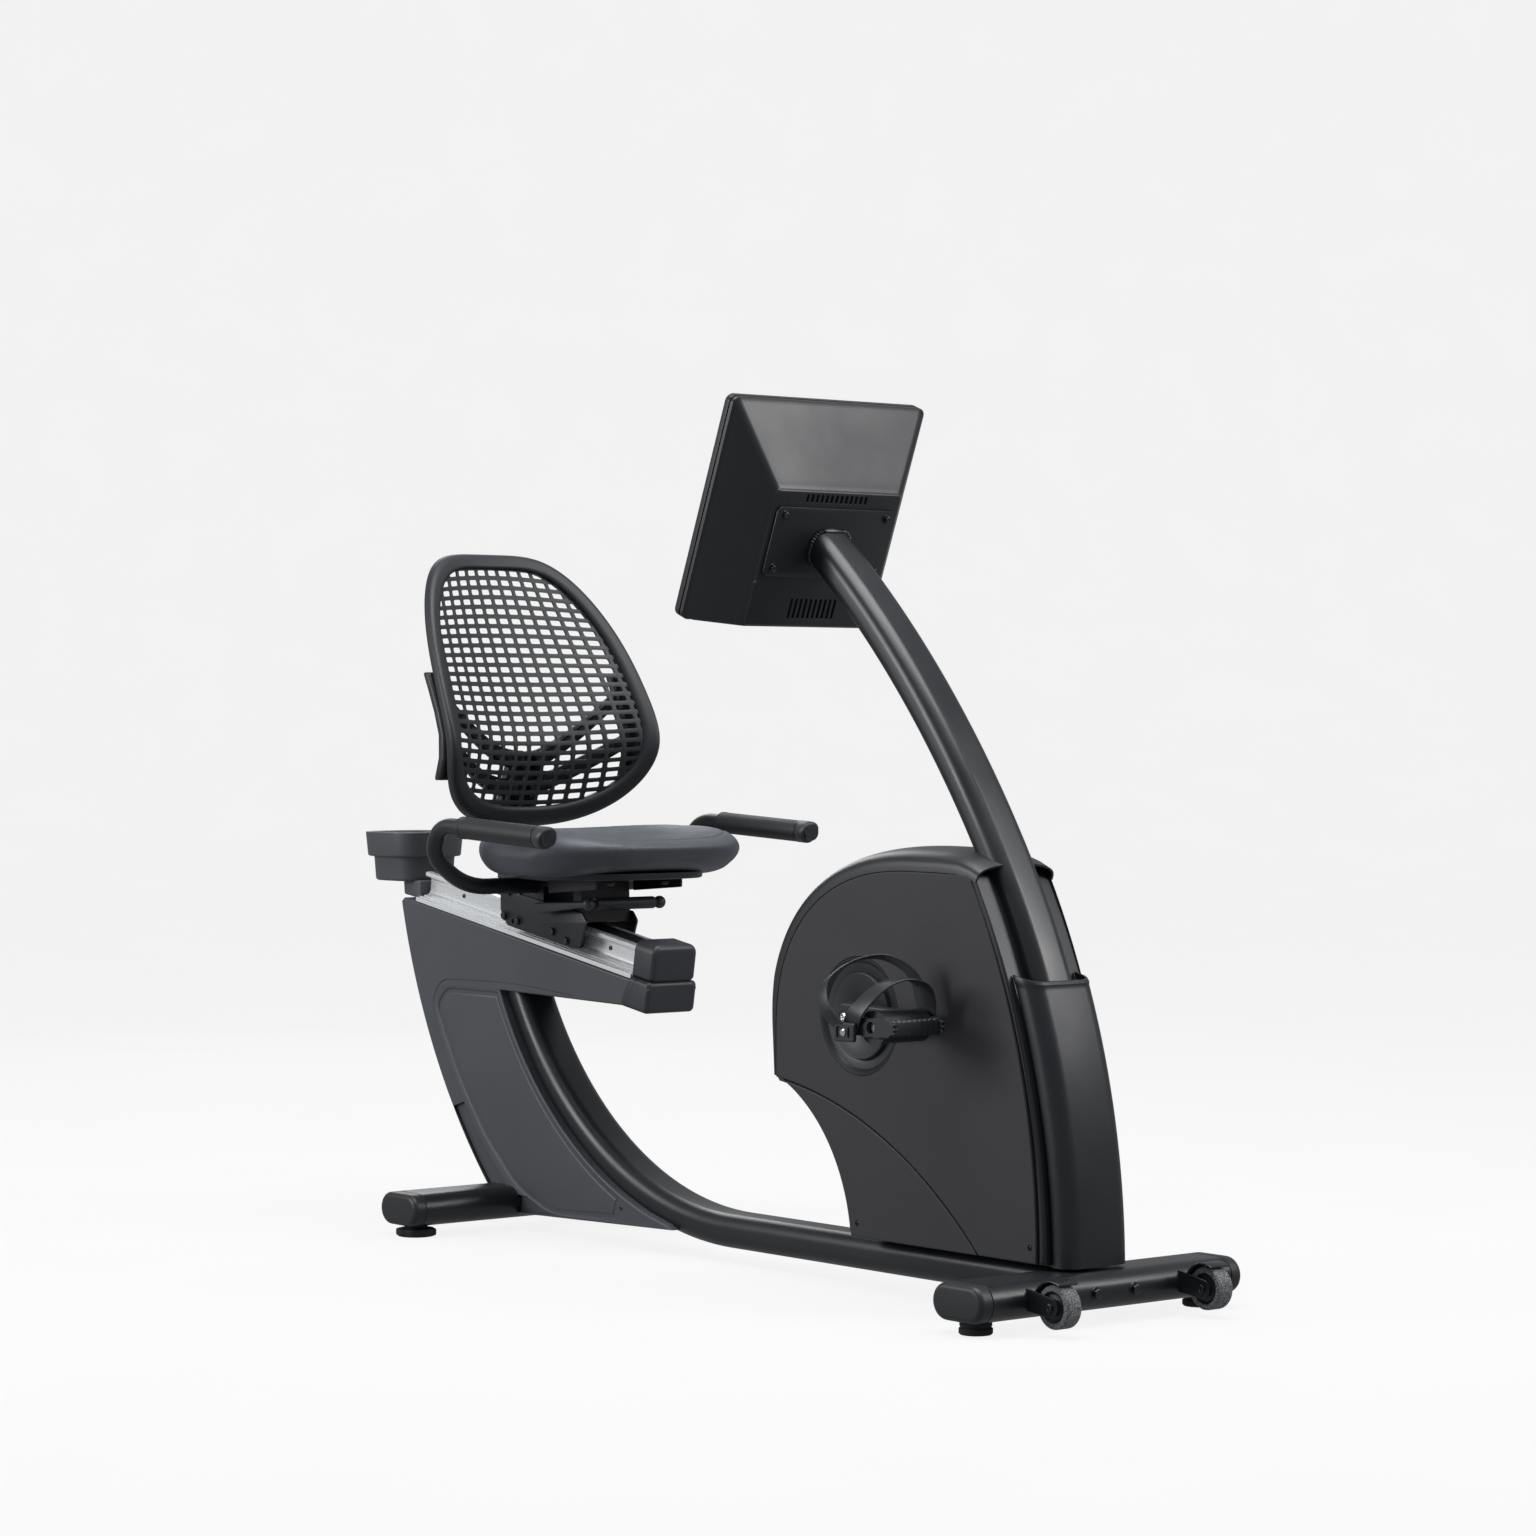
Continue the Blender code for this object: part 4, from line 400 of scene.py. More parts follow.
FOOT_INSET = 0.035
for side, hand in SIDES:
    put("front_cap_" + hand, end_cap(0, FRONT_STAB_HALF, side), black_nylon, "frame",
        ["front_end_cap_" + hand])
    put("rear_cap_" + hand, end_cap(REAR_STAB_X, REAR_STAB_HALF, side), black_nylon, "frame",
        ["rear_end_cap_" + hand])
    disc = [(0, 0), (0.0205, 0), (0.0225, 0.002), (0.0225, 0.008), (0.0205, 0.0095), (0.0205, 0.0105),
            (0.0215, 0.0115), (0.0215, 0.0165),
            (0.02, 0.0177), (0, 0.0177)]
    foot = turned(disc, (0, side * (FRONT_STAB_HALF - FOOT_INSET), 0), Z_AXIS, 48)
    put("rubber_foot_" + hand, foot, foot_rubber, "frame", ["front_foot_" + hand])


def lobed_foot(x, y, radius=0.03, lobes=8, depth=0.05):
    """A hand wheel: radius times 1 + depth cos(lobes times the angle), under a smaller lock collar."""
    angles = np.linspace(0, 2 * pi, 128, endpoint=False)
    wave = 1 + depth * np.cos(lobes * angles)
    levels = [(0.02, 0, 0), (0.9, 0, 0), (0.97, 0.0012, 1), (1, 0.003, 1), (1, 0.0095, 1),
              (0.97, 0.0112, 1), (0.9, 0.012, 0.6),
              (0.62, 0.0125, 0), (0.6, 0.0135, 0), (0.6, 0.0172, 0), (0.57, 0.0177, 0), (0.02, 0.0177, 0)]
    rings = []
    for scale, z, waved in levels:
        reach = radius * scale * (1 + (wave - 1) * waved)
        rings.append(np.column_stack([x + reach * np.cos(angles), y + reach * np.sin(angles),
            np.full(128, z)]))
    return skin(rings)


for side, hand in SIDES:
    foot_y = side * (REAR_STAB_HALF - FOOT_INSET)
    stud = turned([(0, 0.01), (0.0048, 0.01), (0.0048, 0.04), (0, 0.04)], (REAR_STAB_X, foot_y, 0), Z_AXIS,
                  20)
    put("levelling_foot_" + hand, joined(lobed_foot(REAR_STAB_X, foot_y), stud), foot_rubber,
        "leveling_foot_" + hand,
        ["leveling_foot_" + hand])


# ---- transport wheels ---------------------------------------------------------------------------
# Two small wheels ride clear of the floor on the front stabilizer until the rear is lifted. Each has a
# speckled grey tread on a black hub, on an axle between two pressed cheeks under a fender.
WHEEL_X, WHEEL_Y, WHEEL_Z, WHEEL_R, WHEEL_WIDTH = 0.088, 0.1388, 0.0395, 0.029, 0.026

# Polyurethane tread: grey, matte, filled with light and dark crumbs about 1 mm across, drawn at 2 mm.
grey_tread, shader, place = new_material("filled_polyurethane_grey", "#67696b", 0.85, specular=0.25)
crumbs = add_node(grey_tread, "TexNoise", [(place, "Vector")], Scale=520.0, Detail=3.0, Roughness=0.75)
speckle = add_node(grey_tread, "ValToRGB", [(crumbs.outputs["Fac"], "Fac")])
speckle.color_ramp.elements[0].position, speckle.color_ramp.elements[0].color = 0.42, linear("#3f4143")
speckle.color_ramp.elements[1].position, speckle.color_ramp.elements[1].color = 0.6, linear("#8d8f91")
wire(grey_tread, speckle.outputs["Color"], shader.inputs["Base Color"])
rough = add_node(grey_tread, "Bump", [(crumbs.outputs["Fac"], "Height")], Strength=0.4, Distance=0.0006)
wire(grey_tread, rough.outputs["Normal"], shader.inputs["Normal"])


def panel(outline, edge, back=None, holes=()):
    """A flat-faced plate in (across, up, out) coordinates. edge lists (inset, out) from the rear rim to the
    face, back the same from the rim to the inner face. Each hole is (outline, [(growth, out), ...],
    through): its walls run in from the face, to a floor of its own or through to the inner face."""
    outline = anticlockwise(outline)
    size = len(outline)
    rings = [np.column_stack([inset(outline, d), np.full(size, out)]) for d, out in edge]
    points, faces = skin(rings, open_ends=True)
    points, outer = [points], list(range((len(edge) - 1) * size, len(edge) * size))
    rear, count = list(range(size)), len(edge) * size
    if back:
        inner = np.concatenate([np.column_stack([inset(outline, d), np.full(size, out)])
                                for d, out in back])
        chain = [list(range(size))] + [list(range(count + k * size, count + (k + 1) * size))
            for k in range(len(back))]
        for one, two in zip(chain, chain[1:]):
            faces += np.column_stack([one, two, np.roll(two, -1), np.roll(one, -1)]).tolist()
        points.append(inner)
        count += len(inner)
        rear = chain[-1]
    front_loops, rear_loops = [outer], [rear]
    for shape, walls, through in holes:
        shape = anticlockwise(shape)
        size = len(shape)
        rows = [np.column_stack([inset(shape, -grow), np.full(size, out)]) for grow, out in walls]
        start, count = count, count + len(rows) * size
        points.append(np.concatenate(rows))
        faces += (grid_faces(len(rows), size, wrap_columns=True) + start).tolist()
        front_loops.append(list(range(start, start + size)))
        last = list(range(count - size, count))
        if through:
            rear_loops.append(last)
        else:
            faces.append(last)
    points = np.concatenate(points)
    for loops in (front_loops, rear_loops):
        order = np.concatenate(loops)
        lines = [[Vector((*points[k, :2], 0)) for k in loop] for loop in loops]
        faces += order[np.array(tessellate_polygon(lines))].tolist()
    return points, faces


def anticlockwise(outline):
    """The outline in the order that has its inside on the left: its shoelace sum is positive."""
    outline = np.asarray(outline, float)
    x, z = outline.T
    return outline if np.sum(x * np.roll(z, -1) - np.roll(x, -1) * z) > 0 else outline[::-1]


def inset(outline, distance):
    """Moves each point inwards along the mean of its two sides' normals, further where they meet sharply."""
    before = outline - np.roll(outline, 1, 0)
    after = np.roll(outline, -1, 0) - outline
    normals = []
    for side in (before, after):
        normal = np.column_stack([-side[:, 1], side[:, 0]])
        normals.append(normal / (np.linalg.norm(normal, axis=1, keepdims=True) + 1e-12))
    middle = normals[0] + normals[1]
    middle /= np.linalg.norm(middle, axis=1, keepdims=True) + 1e-12
    reach = 1 / np.maximum(0.4, np.sum(middle * normals[0], axis=1, keepdims=True))
    return outline + middle * reach * distance


def round_edge(depth, radius, steps=5, rear=0.0):
    """An edge profile for panel(): up the side from rear, then a quarter round into the face at depth."""
    turn = np.linspace(0, pi / 2, steps + 1)
    curve = [(radius * (1 - cos(a)), depth - radius + radius * sin(a)) for a in turn]
    return [(0.0, rear)] + curve + [(radius + 0.0004, depth)]


def fork_cheek(side_y, inner, outer):
    """One pressed cheek, a rounded tongue from the tube to the axle."""
    root = STAB_DEPTH / 2 - 0.01
    outline = [(root, STAB_Z - 0.012)] + list(arc(WHEEL_X, WHEEL_Z, 0.0135, -pi / 2 - 0.3, pi / 3, 12))
    outline += [(root + 0.012, STAB_Z + 0.016), (root, STAB_Z + 0.017)]
    low, high = sorted((inner, outer))
    return moved(panel(outline, [(0.0004, low), (0, low + 0.0004), (0, high - 0.0004), (0.0004, high)]),
                 (0, side_y, 0))


def fender(side_y, half=0.0175, wall=0.0025):
    """A strip bent over the tyre: a shallow crowned section carried round an arc about the axle."""
    angles = np.linspace(radians(62), radians(166), 25)
    across = rounded_box(2 * half, wall, wall * 0.45, 3)
    radius = WHEEL_R + 0.0048 + across[:, 1] - 0.1 * (across[:, 0] / half) ** 2 * wall
    rings = [np.column_stack([WHEEL_X + radius * cos(a), side_y + across[:, 0], WHEEL_Z + radius * sin(a)])
             for a in angles]
    return skin(rings)


forks = []
for side, hand in SIDES:
    middle = side * WHEEL_Y
    forks += [fork_cheek(middle, 0.015, 0.0175), fork_cheek(middle, -0.0175, -0.015), fender(middle)]
    for end in (-1, 1):
        forks.append(hex_bolt((WHEEL_X, middle + end * 0.0174, WHEEL_Z), end * Y_AXIS, 0.0052, 0.0032))
    half = WHEEL_WIDTH / 2
    tyre = chamfer_round([(0.021, -half), (WHEEL_R, -half), (WHEEL_R, half), (0.021, half)],
        [0.001, 0.004, 0.004, 0.001], 4)
    put("wheel_tread_" + hand, turned(tyre, (WHEEL_X, middle, WHEEL_Z), steps=72, closed=True), grey_tread,
        "transport_wheel_" + hand, ["transport_wheel_" + hand])
    hub = chamfer_round([(0.0046, -0.0145), (0.009, -0.0145), (0.0095, -0.011), (0.0175, -0.0095),
        (0.0215, -0.0125), (0.0215, 0.0125), (0.0175, 0.0095),
                         (0.0095, 0.011), (0.009, 0.0145), (0.0046, 0.0145)], 0.0008, 3)
    put("wheel_hub_" + hand, turned(hub, (WHEEL_X, middle, WHEEL_Z), steps=48, closed=True), black_nylon,
        "transport_wheel_" + hand)
put("wheel_forks", joined(*forks), black_powder_coat, "frame", ["front_stabilizer"])


# ---- main frame tube and post -------------------------------------------------------------------
# A rectangular steel tube with well-rounded corners runs back along the floor and bends up into the rear
# leg. A second, bent twice, is the post that carries the console; both are powder coated like the feet.
TUBE_WIDTH, TUBE_DEPTH, BASE_Z = 0.07, 0.05, 0.046
BASE_BEND_X, BASE_BEND_R, BASE_BEND = -0.737, 0.6, radians(65.8)
POST_X, POST_Z, POST_LOWER_R, POST_UPPER_R = -1.0544, 0.0617, 1.042, 1.694
POST_MIDDLE, POST_TOP = radians(29.45), radians(50.3)
CONSOLE_X, CONSOLE_Z, CONSOLE_TILT = -0.6016, 1.0996, radians(21.6)
SHELL_DEPTH, BRACKET_THICK, GAP = 0.075, 0.004, 0.0003
console_out = np.array([cos(CONSOLE_TILT), 0, -sin(CONSOLE_TILT)])
console_up = np.array([sin(CONSOLE_TILT), 0, cos(CONSOLE_TILT)])
console_middle = np.array([CONSOLE_X, 0, CONSOLE_Z])


def carried(section, centres, outward):
    """A section of (side, outward) offsets set down at each centre: side goes along Y."""
    section = np.asarray(section, float)
    return centres[:, None] + section[None, :, :1] * Y_AXIS + section[None, :, 1:] * outward[:, None]


def base_line(steps=40):
    """Centres and outward directions of the low tube: a straight, then an arc about a point above it."""
    bend = np.linspace(0, BASE_BEND, steps + 1)
    curve = np.column_stack([BASE_BEND_X - BASE_BEND_R * np.sin(bend), bend * 0,
                             BASE_Z + BASE_BEND_R * (1 - np.cos(bend))])
    straight = np.column_stack([np.linspace(-0.026, BASE_BEND_X, 12)[:-1], np.zeros(11),
        np.full(11, BASE_Z)])
    outward = np.column_stack([np.sin(bend), bend * 0, np.cos(bend)])
    return np.concatenate([straight, curve]), np.concatenate([np.tile(Z_AXIS, (11, 1)), outward])


def post_line(angles):
    """Centres, outward directions and forward tangents of the post: two arcs that share a tangent, the
    lower one tighter, at the given bend angles."""
    angles = np.asarray(angles, float)
    radial = np.column_stack([np.cos(angles), angles * 0, np.sin(angles)])
    centre = np.array([POST_X, 0, POST_Z])
    middle = np.array([cos(POST_MIDDLE), 0, sin(POST_MIDDLE)])
    upper = centre + middle * (POST_LOWER_R - POST_UPPER_R) + radial * POST_UPPER_R
    line = np.where((angles > POST_MIDDLE)[:, None], upper, centre + radial * POST_LOWER_R)
    return line, radial, np.column_stack([-np.sin(angles), angles * 0, np.cos(angles)])


def post_angle(z):
    """The bend angle at which the post's middle reaches height z, on whichever arc is there."""
    z = np.asarray(z, float)
    low = np.arcsin(np.clip((z - POST_Z) / POST_LOWER_R, -1, 1))
    high = np.arcsin(np.clip((z - POST_Z + (POST_UPPER_R - POST_LOWER_R) * sin(POST_MIDDLE)) / POST_UPPER_R,
        -1, 1))
    return np.where(z <= POST_Z + POST_LOWER_R * sin(POST_MIDDLE), low, high)


def to_plane(ring, direction, point, normal):
    """A ring's points moved along a direction until they lie on a plane."""
    run = ((np.asarray(point) - ring) @ normal) / (direction @ normal)
    return ring + run[:, None] * direction


tube_section = rounded_box(TUBE_WIDTH, TUBE_DEPTH, 0.02, 12)
centres, outward = base_line()
put("base_tube_bent", skin(carried(tube_section, centres, outward)), black_powder_coat, "frame",
    ["base_tube"])

FLANGE_Z = BASE_Z + TUBE_DEPTH / 2 + GAP
angles = np.linspace(float(post_angle(FLANGE_Z)), POST_TOP, 90)
centres, outward, ahead = post_line(angles)
rings = carried(tube_section, centres, outward)
behind_console = console_middle + console_out * (SHELL_DEPTH + BRACKET_THICK + 3 * GAP)
rings[0] = to_plane(rings[0], ahead[0], (0, 0, FLANGE_Z), Z_AXIS)
rings[-1] = to_plane(rings[-1], ahead[-1], behind_console, console_out)
flange = moved(panel(rounded_box(0.072, 0.09, 0.008), round_edge(0.004, 0.001)), (-0.024, 0, FLANGE_Z),
               X_AXIS, Y_AXIS, Z_AXIS)
put("post_bent_tube", joined(skin(rings), flange), black_powder_coat, "frame",
    ["upright_post"])


def weld_bead(ring, normal, radius, ripples):
    """A bead laid round a tube end: a small half-round section carried along the ring, whose radius swells
    by a fifth with each ripple of the weld pool."""
    ring = np.asarray(ring)
    count = len(ring)
    steps = np.linspace(0, count, 260, endpoint=False)
    low = np.floor(steps).astype(int)
    share = (steps - low)[:, None]
    path = ring[low] * (1 - share) + ring[(low + 1) % count] * share
    side = path - path.mean(0)
    side /= np.linalg.norm(side, axis=1, keepdims=True)
    swell = radius * (1 + 0.22 * np.sin(2 * pi * ripples * steps / count))[:, None, None]
    turn = np.linspace(0, 2 * pi, 10, endpoint=False)[None, :, None]
    return skin(path[:, None] + swell * (np.cos(turn) * side[:, None] + np.sin(turn) * np.asarray(normal)),
                closed=True)


put("post_weld", weld_bead(rings[-1] + console_out * 0.0006, console_out, 0.0034, 34), black_powder_coat,
    "frame")
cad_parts["rear_frame"].data.materials.clear()
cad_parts["rear_frame"].data.materials.append(black_powder_coat)


# ---- post boot ----------------------------------------------------------------------------------
# A tall nylon cover wraps the front and sides of the post's lower half, like a shin guard. Its top edge
# stands clear of the post and has a rolled lip; its bottom sits on the front stabilizer.
BOOT_HALF, BOOT_FRONT, BOOT_CORNER, BOOT_WALL = 0.058, 0.034, 0.024, 0.003
BOOT_BOTTOM, BOOT_TOP = 0.0722, 0.457
# Satin nylon with a blue cast, which catches one long highlight down its front.
boot_plastic = moulded("satin_nylon_blue_black", "#191b20", 0.38)


def boot_section(thin):
    """Half of the U-shaped wall as (y, outward): up one side, round a quarter circle and across the front."""
    half, front, corner = BOOT_HALF - thin, BOOT_FRONT - thin, BOOT_CORNER - thin
    turn = np.linspace(0, pi / 2, 9)
    right = np.column_stack([-half + corner - corner * np.cos(turn),
                             front - corner + corner * np.sin(turn)])
    right = np.concatenate([[(-half, 0.001)], right])
    return np.concatenate([right, right[::-1] * (-1, 1)])


def boot_shell():
    """The wall's section carried up the post; the last rings swell by the lip and dip towards the front."""
    angles = np.linspace(float(post_angle(BOOT_BOTTOM)), float(post_angle(BOOT_TOP)), 60)
    centres, outward, ahead = post_line(angles)
    lip = np.exp(-((angles - angles[-2]) / 0.003) ** 2) * 0.0012
    rings = []
    for k in range(len(angles)):
        section = np.concatenate([boot_section(-lip[k]), boot_section(BOOT_WALL)[::-1]])
        rings.append(carried(section, centres[k:k + 1], outward[k:k + 1])[0])
    rings[0] = to_plane(rings[0], Z_AXIS, (0, 0, BOOT_BOTTOM), Z_AXIS)
    fade = np.clip((angles - angles[-16]) / (angles[-1] - angles[-16]), 0, 1) ** 2
    for k in range(len(angles)):
        rings[k] = rings[k] - ahead[k] * (0.7 * fade[k] * ((rings[k] - centres[k]) @ outward[k]))[:, None]
    return skin(rings)


put("post_boot_shell", boot_shell(), boot_plastic, "frame", ["post_boot"])


# ---- drive covers -------------------------------------------------------------------------------
# Two flat ABS side covers hide the belt and flywheel, each in an upper and a lower panel that meet along
# an arc. A crowned strip caps them over the top and down the rear, and a narrow fairing meets the post.
COVER_HALF, COVER_WALL, COVER_BOTTOM = 0.072, 0.003, 0.076
COVER_REAR_X, COVER_REAR_LOW, COVER_REAR_HIGH, COVER_TOP_X, COVER_TOP_Z = -0.571, 0.289, 0.348, -0.277, 0.59
COVER_FRONT_TOP, COVER_ROUND, SCOOP_X, SCOOP_Z, SCOOP_R = 0.586, 2.4, -0.664, 0.05, 0.258
PANEL_X, PANEL_Z, PANEL_R = -0.653, -0.419, 0.711
FAIRING_X, FAIRING_Z, FAIRING_R = -1.049, 0.083, 1.021
CRANK_X, CRANK_Z, DISH_R = -0.388, 0.385, 0.083
# Textured ABS for the flat sides, matt grey, and smoother black ABS for the rolled crown.
panel_abs = moulded("textured_abs_graphite", "#29292c", 0.58, grain=420.0, depth=0.16)
crown_abs = moulded("satin_abs_black", "#1e2023", 0.38)


def cover_top(steps=48):
    """From the middle of the top over the shoulder to the rear edge: a quarter of a superellipse, whose
    |x| and |z| shares, each to the power 2.4, add up to 1."""
    angle = np.linspace(0, pi / 2, steps + 1)
    x = COVER_TOP_X - (COVER_TOP_X - COVER_REAR_X) * np.sin(angle) ** (2 / COVER_ROUND)
    rise = COVER_TOP_Z - COVER_REAR_HIGH
    return np.column_stack([x, COVER_REAR_HIGH + rise * np.cos(angle) ** (2 / COVER_ROUND)])


def on_circle(x, z, radius, height):
    """The point to the right of a circle's centre at a height."""
    return np.column_stack([x + np.sqrt(radius ** 2 - (height - z) ** 2), height])


def seam_heights(low, high, steps=40):
    """Heights in equal steps from the low end of a seam to the high end."""
    return np.linspace(low, high, steps + 1)


panel_top = 0.5885
joint_low = np.array([PANEL_X + sqrt(PANEL_R ** 2 - (COVER_BOTTOM - PANEL_Z) ** 2), COVER_BOTTOM])
rear_turn = atan2(COVER_REAR_LOW - PANEL_Z, COVER_REAR_X - PANEL_X), atan2(COVER_BOTTOM - PANEL_Z,
    joint_low[0] - PANEL_X)
front_edge = on_circle(FAIRING_X, FAIRING_Z, FAIRING_R, seam_heights(COVER_BOTTOM, panel_top))
SEAM = 0.0006
upper_joint = arc(PANEL_X, PANEL_Z, PANEL_R + SEAM, *rear_turn, 48)
upper_outline = np.concatenate([front_edge, cover_top(), [(COVER_REAR_X, COVER_REAR_LOW + 0.02)],
    upper_joint])
scoop = arc(SCOOP_X, SCOOP_Z, SCOOP_R, atan2(COVER_REAR_LOW - SCOOP_Z, COVER_REAR_X - SCOOP_X),
            np.arcsin((COVER_BOTTOM - SCOOP_Z) / SCOOP_R), 36)
lower_joint = arc(PANEL_X, PANEL_Z, PANEL_R - SEAM, rear_turn[1], rear_turn[0], 48)
lower_outline = np.concatenate([scoop[1:-1], [(-0.405, COVER_BOTTOM), (joint_low[0] - 0.002, COVER_BOTTOM)],
    lower_joint[1:-1]])
post_side = post_line(post_angle(seam_heights(COVER_BOTTOM, COVER_FRONT_TOP)))[0]
fairing_back = on_circle(FAIRING_X, FAIRING_Z, FAIRING_R + 0.0012,
    seam_heights(COVER_BOTTOM, COVER_FRONT_TOP))
fairing_outline = np.concatenate([post_side[:, [0, 2]] - (0.0015, 0), fairing_back[::-1]])
circle = arc(0, 0, 1, 0, 2 * pi, 96)[:-1]
inner_face = COVER_HALF - COVER_WALL
shell_back = [(COVER_WALL, 0.0004), (COVER_WALL, inner_face)]
screw_well = [(0, COVER_HALF), (0.0004, COVER_HALF - 0.0004), (0.0, COVER_HALF - 0.0012),
              (0, COVER_HALF - 0.0028)]


def dish():
    """The dished surround of the crank: a bright-edged rim falls to a flat ring with a raised disc."""
    face = COVER_HALF
    profile = [(DISH_R - 0.0002, face - 0.003), (DISH_R - 0.0008, face - 0.0004),
               (DISH_R - 0.0022, face - 0.0004), (DISH_R - 0.006, face - 0.0028),
               (DISH_R - 0.0085, face - 0.0055), (0.0635, face - 0.0062), (0.0622, face - 0.0066),
               (0.0616, face - 0.004), (0.0606, face - 0.0012),
               (0.059, face - 0.0004), (0.056, face - 0.0008), (0.024, face - 0.0016),
               (0.0225, face - 0.0024), (0.0222, face - 0.009),
               (0.05, face - 0.0095), (DISH_R - 0.0002, face - 0.009)]
    return turned(profile, (CRANK_X, 0, CRANK_Z), steps=96, closed=True)


for side, hand in SIDES:
    place = dict(origin=(0, 0, 0), across=X_AXIS, up=Z_AXIS, out=side * Y_AXIS)
    hole = (circle * DISH_R + (CRANK_X, CRANK_Z),
            [(0.001, COVER_HALF), (0, COVER_HALF - 0.0008), (0, inner_face)], True)
    front_screw = (circle[::3] * 0.0042 + (-0.04, 0.0969), screw_well, False)
    rear_screw = (circle[::3] * 0.0042 + (-0.392, 0.0956), screw_well, False)
    upper = panel(upper_outline, round_edge(COVER_HALF, 0.0022, rear=0.0004), shell_back,
                  [hole, front_screw])
    lower = panel(lower_outline, round_edge(COVER_HALF, 0.0022, rear=0.0004), shell_back, [rear_screw])
    ring_of_crank = dish()
    ring_of_crank = (ring_of_crank[0] * (1, side, 1), ring_of_crank[1])
    put("upper_cover_" + hand, moved(upper, **place), panel_abs, "frame",
        ["drive_cover_" + hand])
    put("lower_cover_panel_" + hand, moved(lower, **place), panel_abs, "frame",
        ["lower_cover_" + hand])
    put("crank_dish_" + hand, ring_of_crank, crown_abs, "frame")
    fairing = panel(fairing_outline, round_edge(COVER_HALF - 0.0022, 0.005, rear=0.0004))
    put("front_fairing_" + hand, moved(fairing, **place), boot_plastic, "frame")
    screws = [socket_screw((x, side * (COVER_HALF - 0.0029), z), side * Y_AXIS, 0.0036, 0.0026)
              for x, z in ((-0.04, 0.0969), (-0.392, 0.0956))]
    put("cover_screws_" + hand, joined(*screws), black_oxide, "frame")


def crown():
    """The cap: an arch of half width 72 mm that stands up by the crown's height, carried along the covers'
    top line. Its height is h sin(a) to the power 0.62, which keeps the shoulders full, and it fades towards
    the tail. A small step runs along both edges."""
    front = np.array([(COVER_TOP_X + 0.128, COVER_FRONT_TOP - 0.0075),
                      (COVER_TOP_X + 0.112, COVER_FRONT_TOP - 0.0012),
                      (COVER_TOP_X + 0.09, COVER_TOP_Z - 0.0016),
                      (COVER_TOP_X + 0.05, COVER_TOP_Z - 0.0004)])
    line = np.concatenate([front, cover_top(60)[1:],
        [(COVER_REAR_X, 0.33), (COVER_REAR_X, 0.31), (COVER_REAR_X, COVER_REAR_LOW + 0.001)]])
    tangent = np.gradient(line, axis=0)
    out = np.column_stack([tangent[:, 1], -tangent[:, 0]])
    out *= np.sign(np.sum(out * (line - (-0.3, 0.33)), axis=1))[:, None]
    out /= np.linalg.norm(out, axis=1)[:, None]
    tail = np.clip((COVER_REAR_HIGH + 0.08 - line[:, 1]) / (COVER_REAR_HIGH + 0.08 - COVER_REAR_LOW), 0, 1)
    height = 0.033 - 0.021 * tail
    nose = np.clip((line[:, 0] - (COVER_TOP_X + 0.06)) / 0.057, 0, 1)
    height = height * (1 - 0.22 * nose ** 2)
    turn = np.linspace(0, pi, 41)
    rings = []
    for point, direction, tall in zip(line, out, height):
        loop = []
        for thin in (0, COVER_WALL):
            side = (COVER_HALF - 0.0004 - thin) * np.sign(np.cos(turn)) * np.abs(np.cos(turn)) ** 0.9
            rise = (tall - thin) * np.sin(turn) ** 0.62
            arch = np.column_stack([point[0] + direction[0] * rise, side, point[1] + direction[1] * rise])
            loop.append(arch if thin == 0 else arch[::-1])
        rings.append(np.concatenate(loop) + np.array([direction[0], 0, direction[1]]) * 2 * GAP)
    return skin(rings)


put("cover_crown", crown(), crown_abs, "frame", ["drive_cover_crown"])


# ---- drive parts behind the covers --------------------------------------------------------------
# The belt drive is hidden: a plate welded to the base tube carries the crank shell and the flywheel, and
# a swinging magnet arm brakes the iron rim. These stay as modelled and get their own finishes.
# Cast iron with a turned rim: bright grey, its gloss drifting slowly.
cast_iron = powder_coat("turned_cast_iron", "#5a5b5d", 0.5)
cast_iron.node_tree.nodes["Principled BSDF"].inputs["Metallic"].default_value = 1.0
# Bright steel from the lathe: fine rings vary the gloss.
turned_steel, shader, place = new_material("turned_bright_steel", "#b9babc", 0.28, metallic=1.0)
lathe = add_node(turned_steel, "TexNoise", [(place, "Vector")], Scale=300.0, Detail=2.0)
lathe_gloss = add_node(turned_steel, "MapRange", [(lathe.outputs["Fac"], "Value")], From_Min=0.3,
                       From_Max=0.7, To_Min=0.2, To_Max=0.36)
wire(turned_steel, lathe_gloss.outputs["Result"], shader.inputs["Roughness"])
# Ribbed drive belt: matt black rubber.
belt_rubber = moulded("ribbed_belt_rubber", "#191a1b", 0.72, grain=500.0, depth=0.25)
for node, finish in (("drive_frame", black_powder_coat), ("crank_axle", turned_steel),
                     ("drive_pulley", black_nylon), ("flywheel", cast_iron),
                     ("drive_belt", belt_rubber), ("brake_arm", turned_steel)):
    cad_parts[node].data.materials.clear()
    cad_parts[node].data.materials.append(finish)


# ---- cranks -------------------------------------------------------------------------------------
# Forged steel arms, black coated, taper from the axle to the pedal spindle. A chromed cap closes the
# axle's end, and the spindle screws in from outside with a flat for the spanner.
CRANK_LENGTH, ARM_INNER, ARM_THICK, ARM_HUB_R, ARM_TIP_R = 0.17, 0.086, 0.014, 0.021, 0.015
PEDAL_INNER, PEDAL_WIDTH, PEDAL_LENGTH, PEDAL_THICK, SPINDLE_R = 0.106, 0.092, 0.1, 0.024, 0.0075
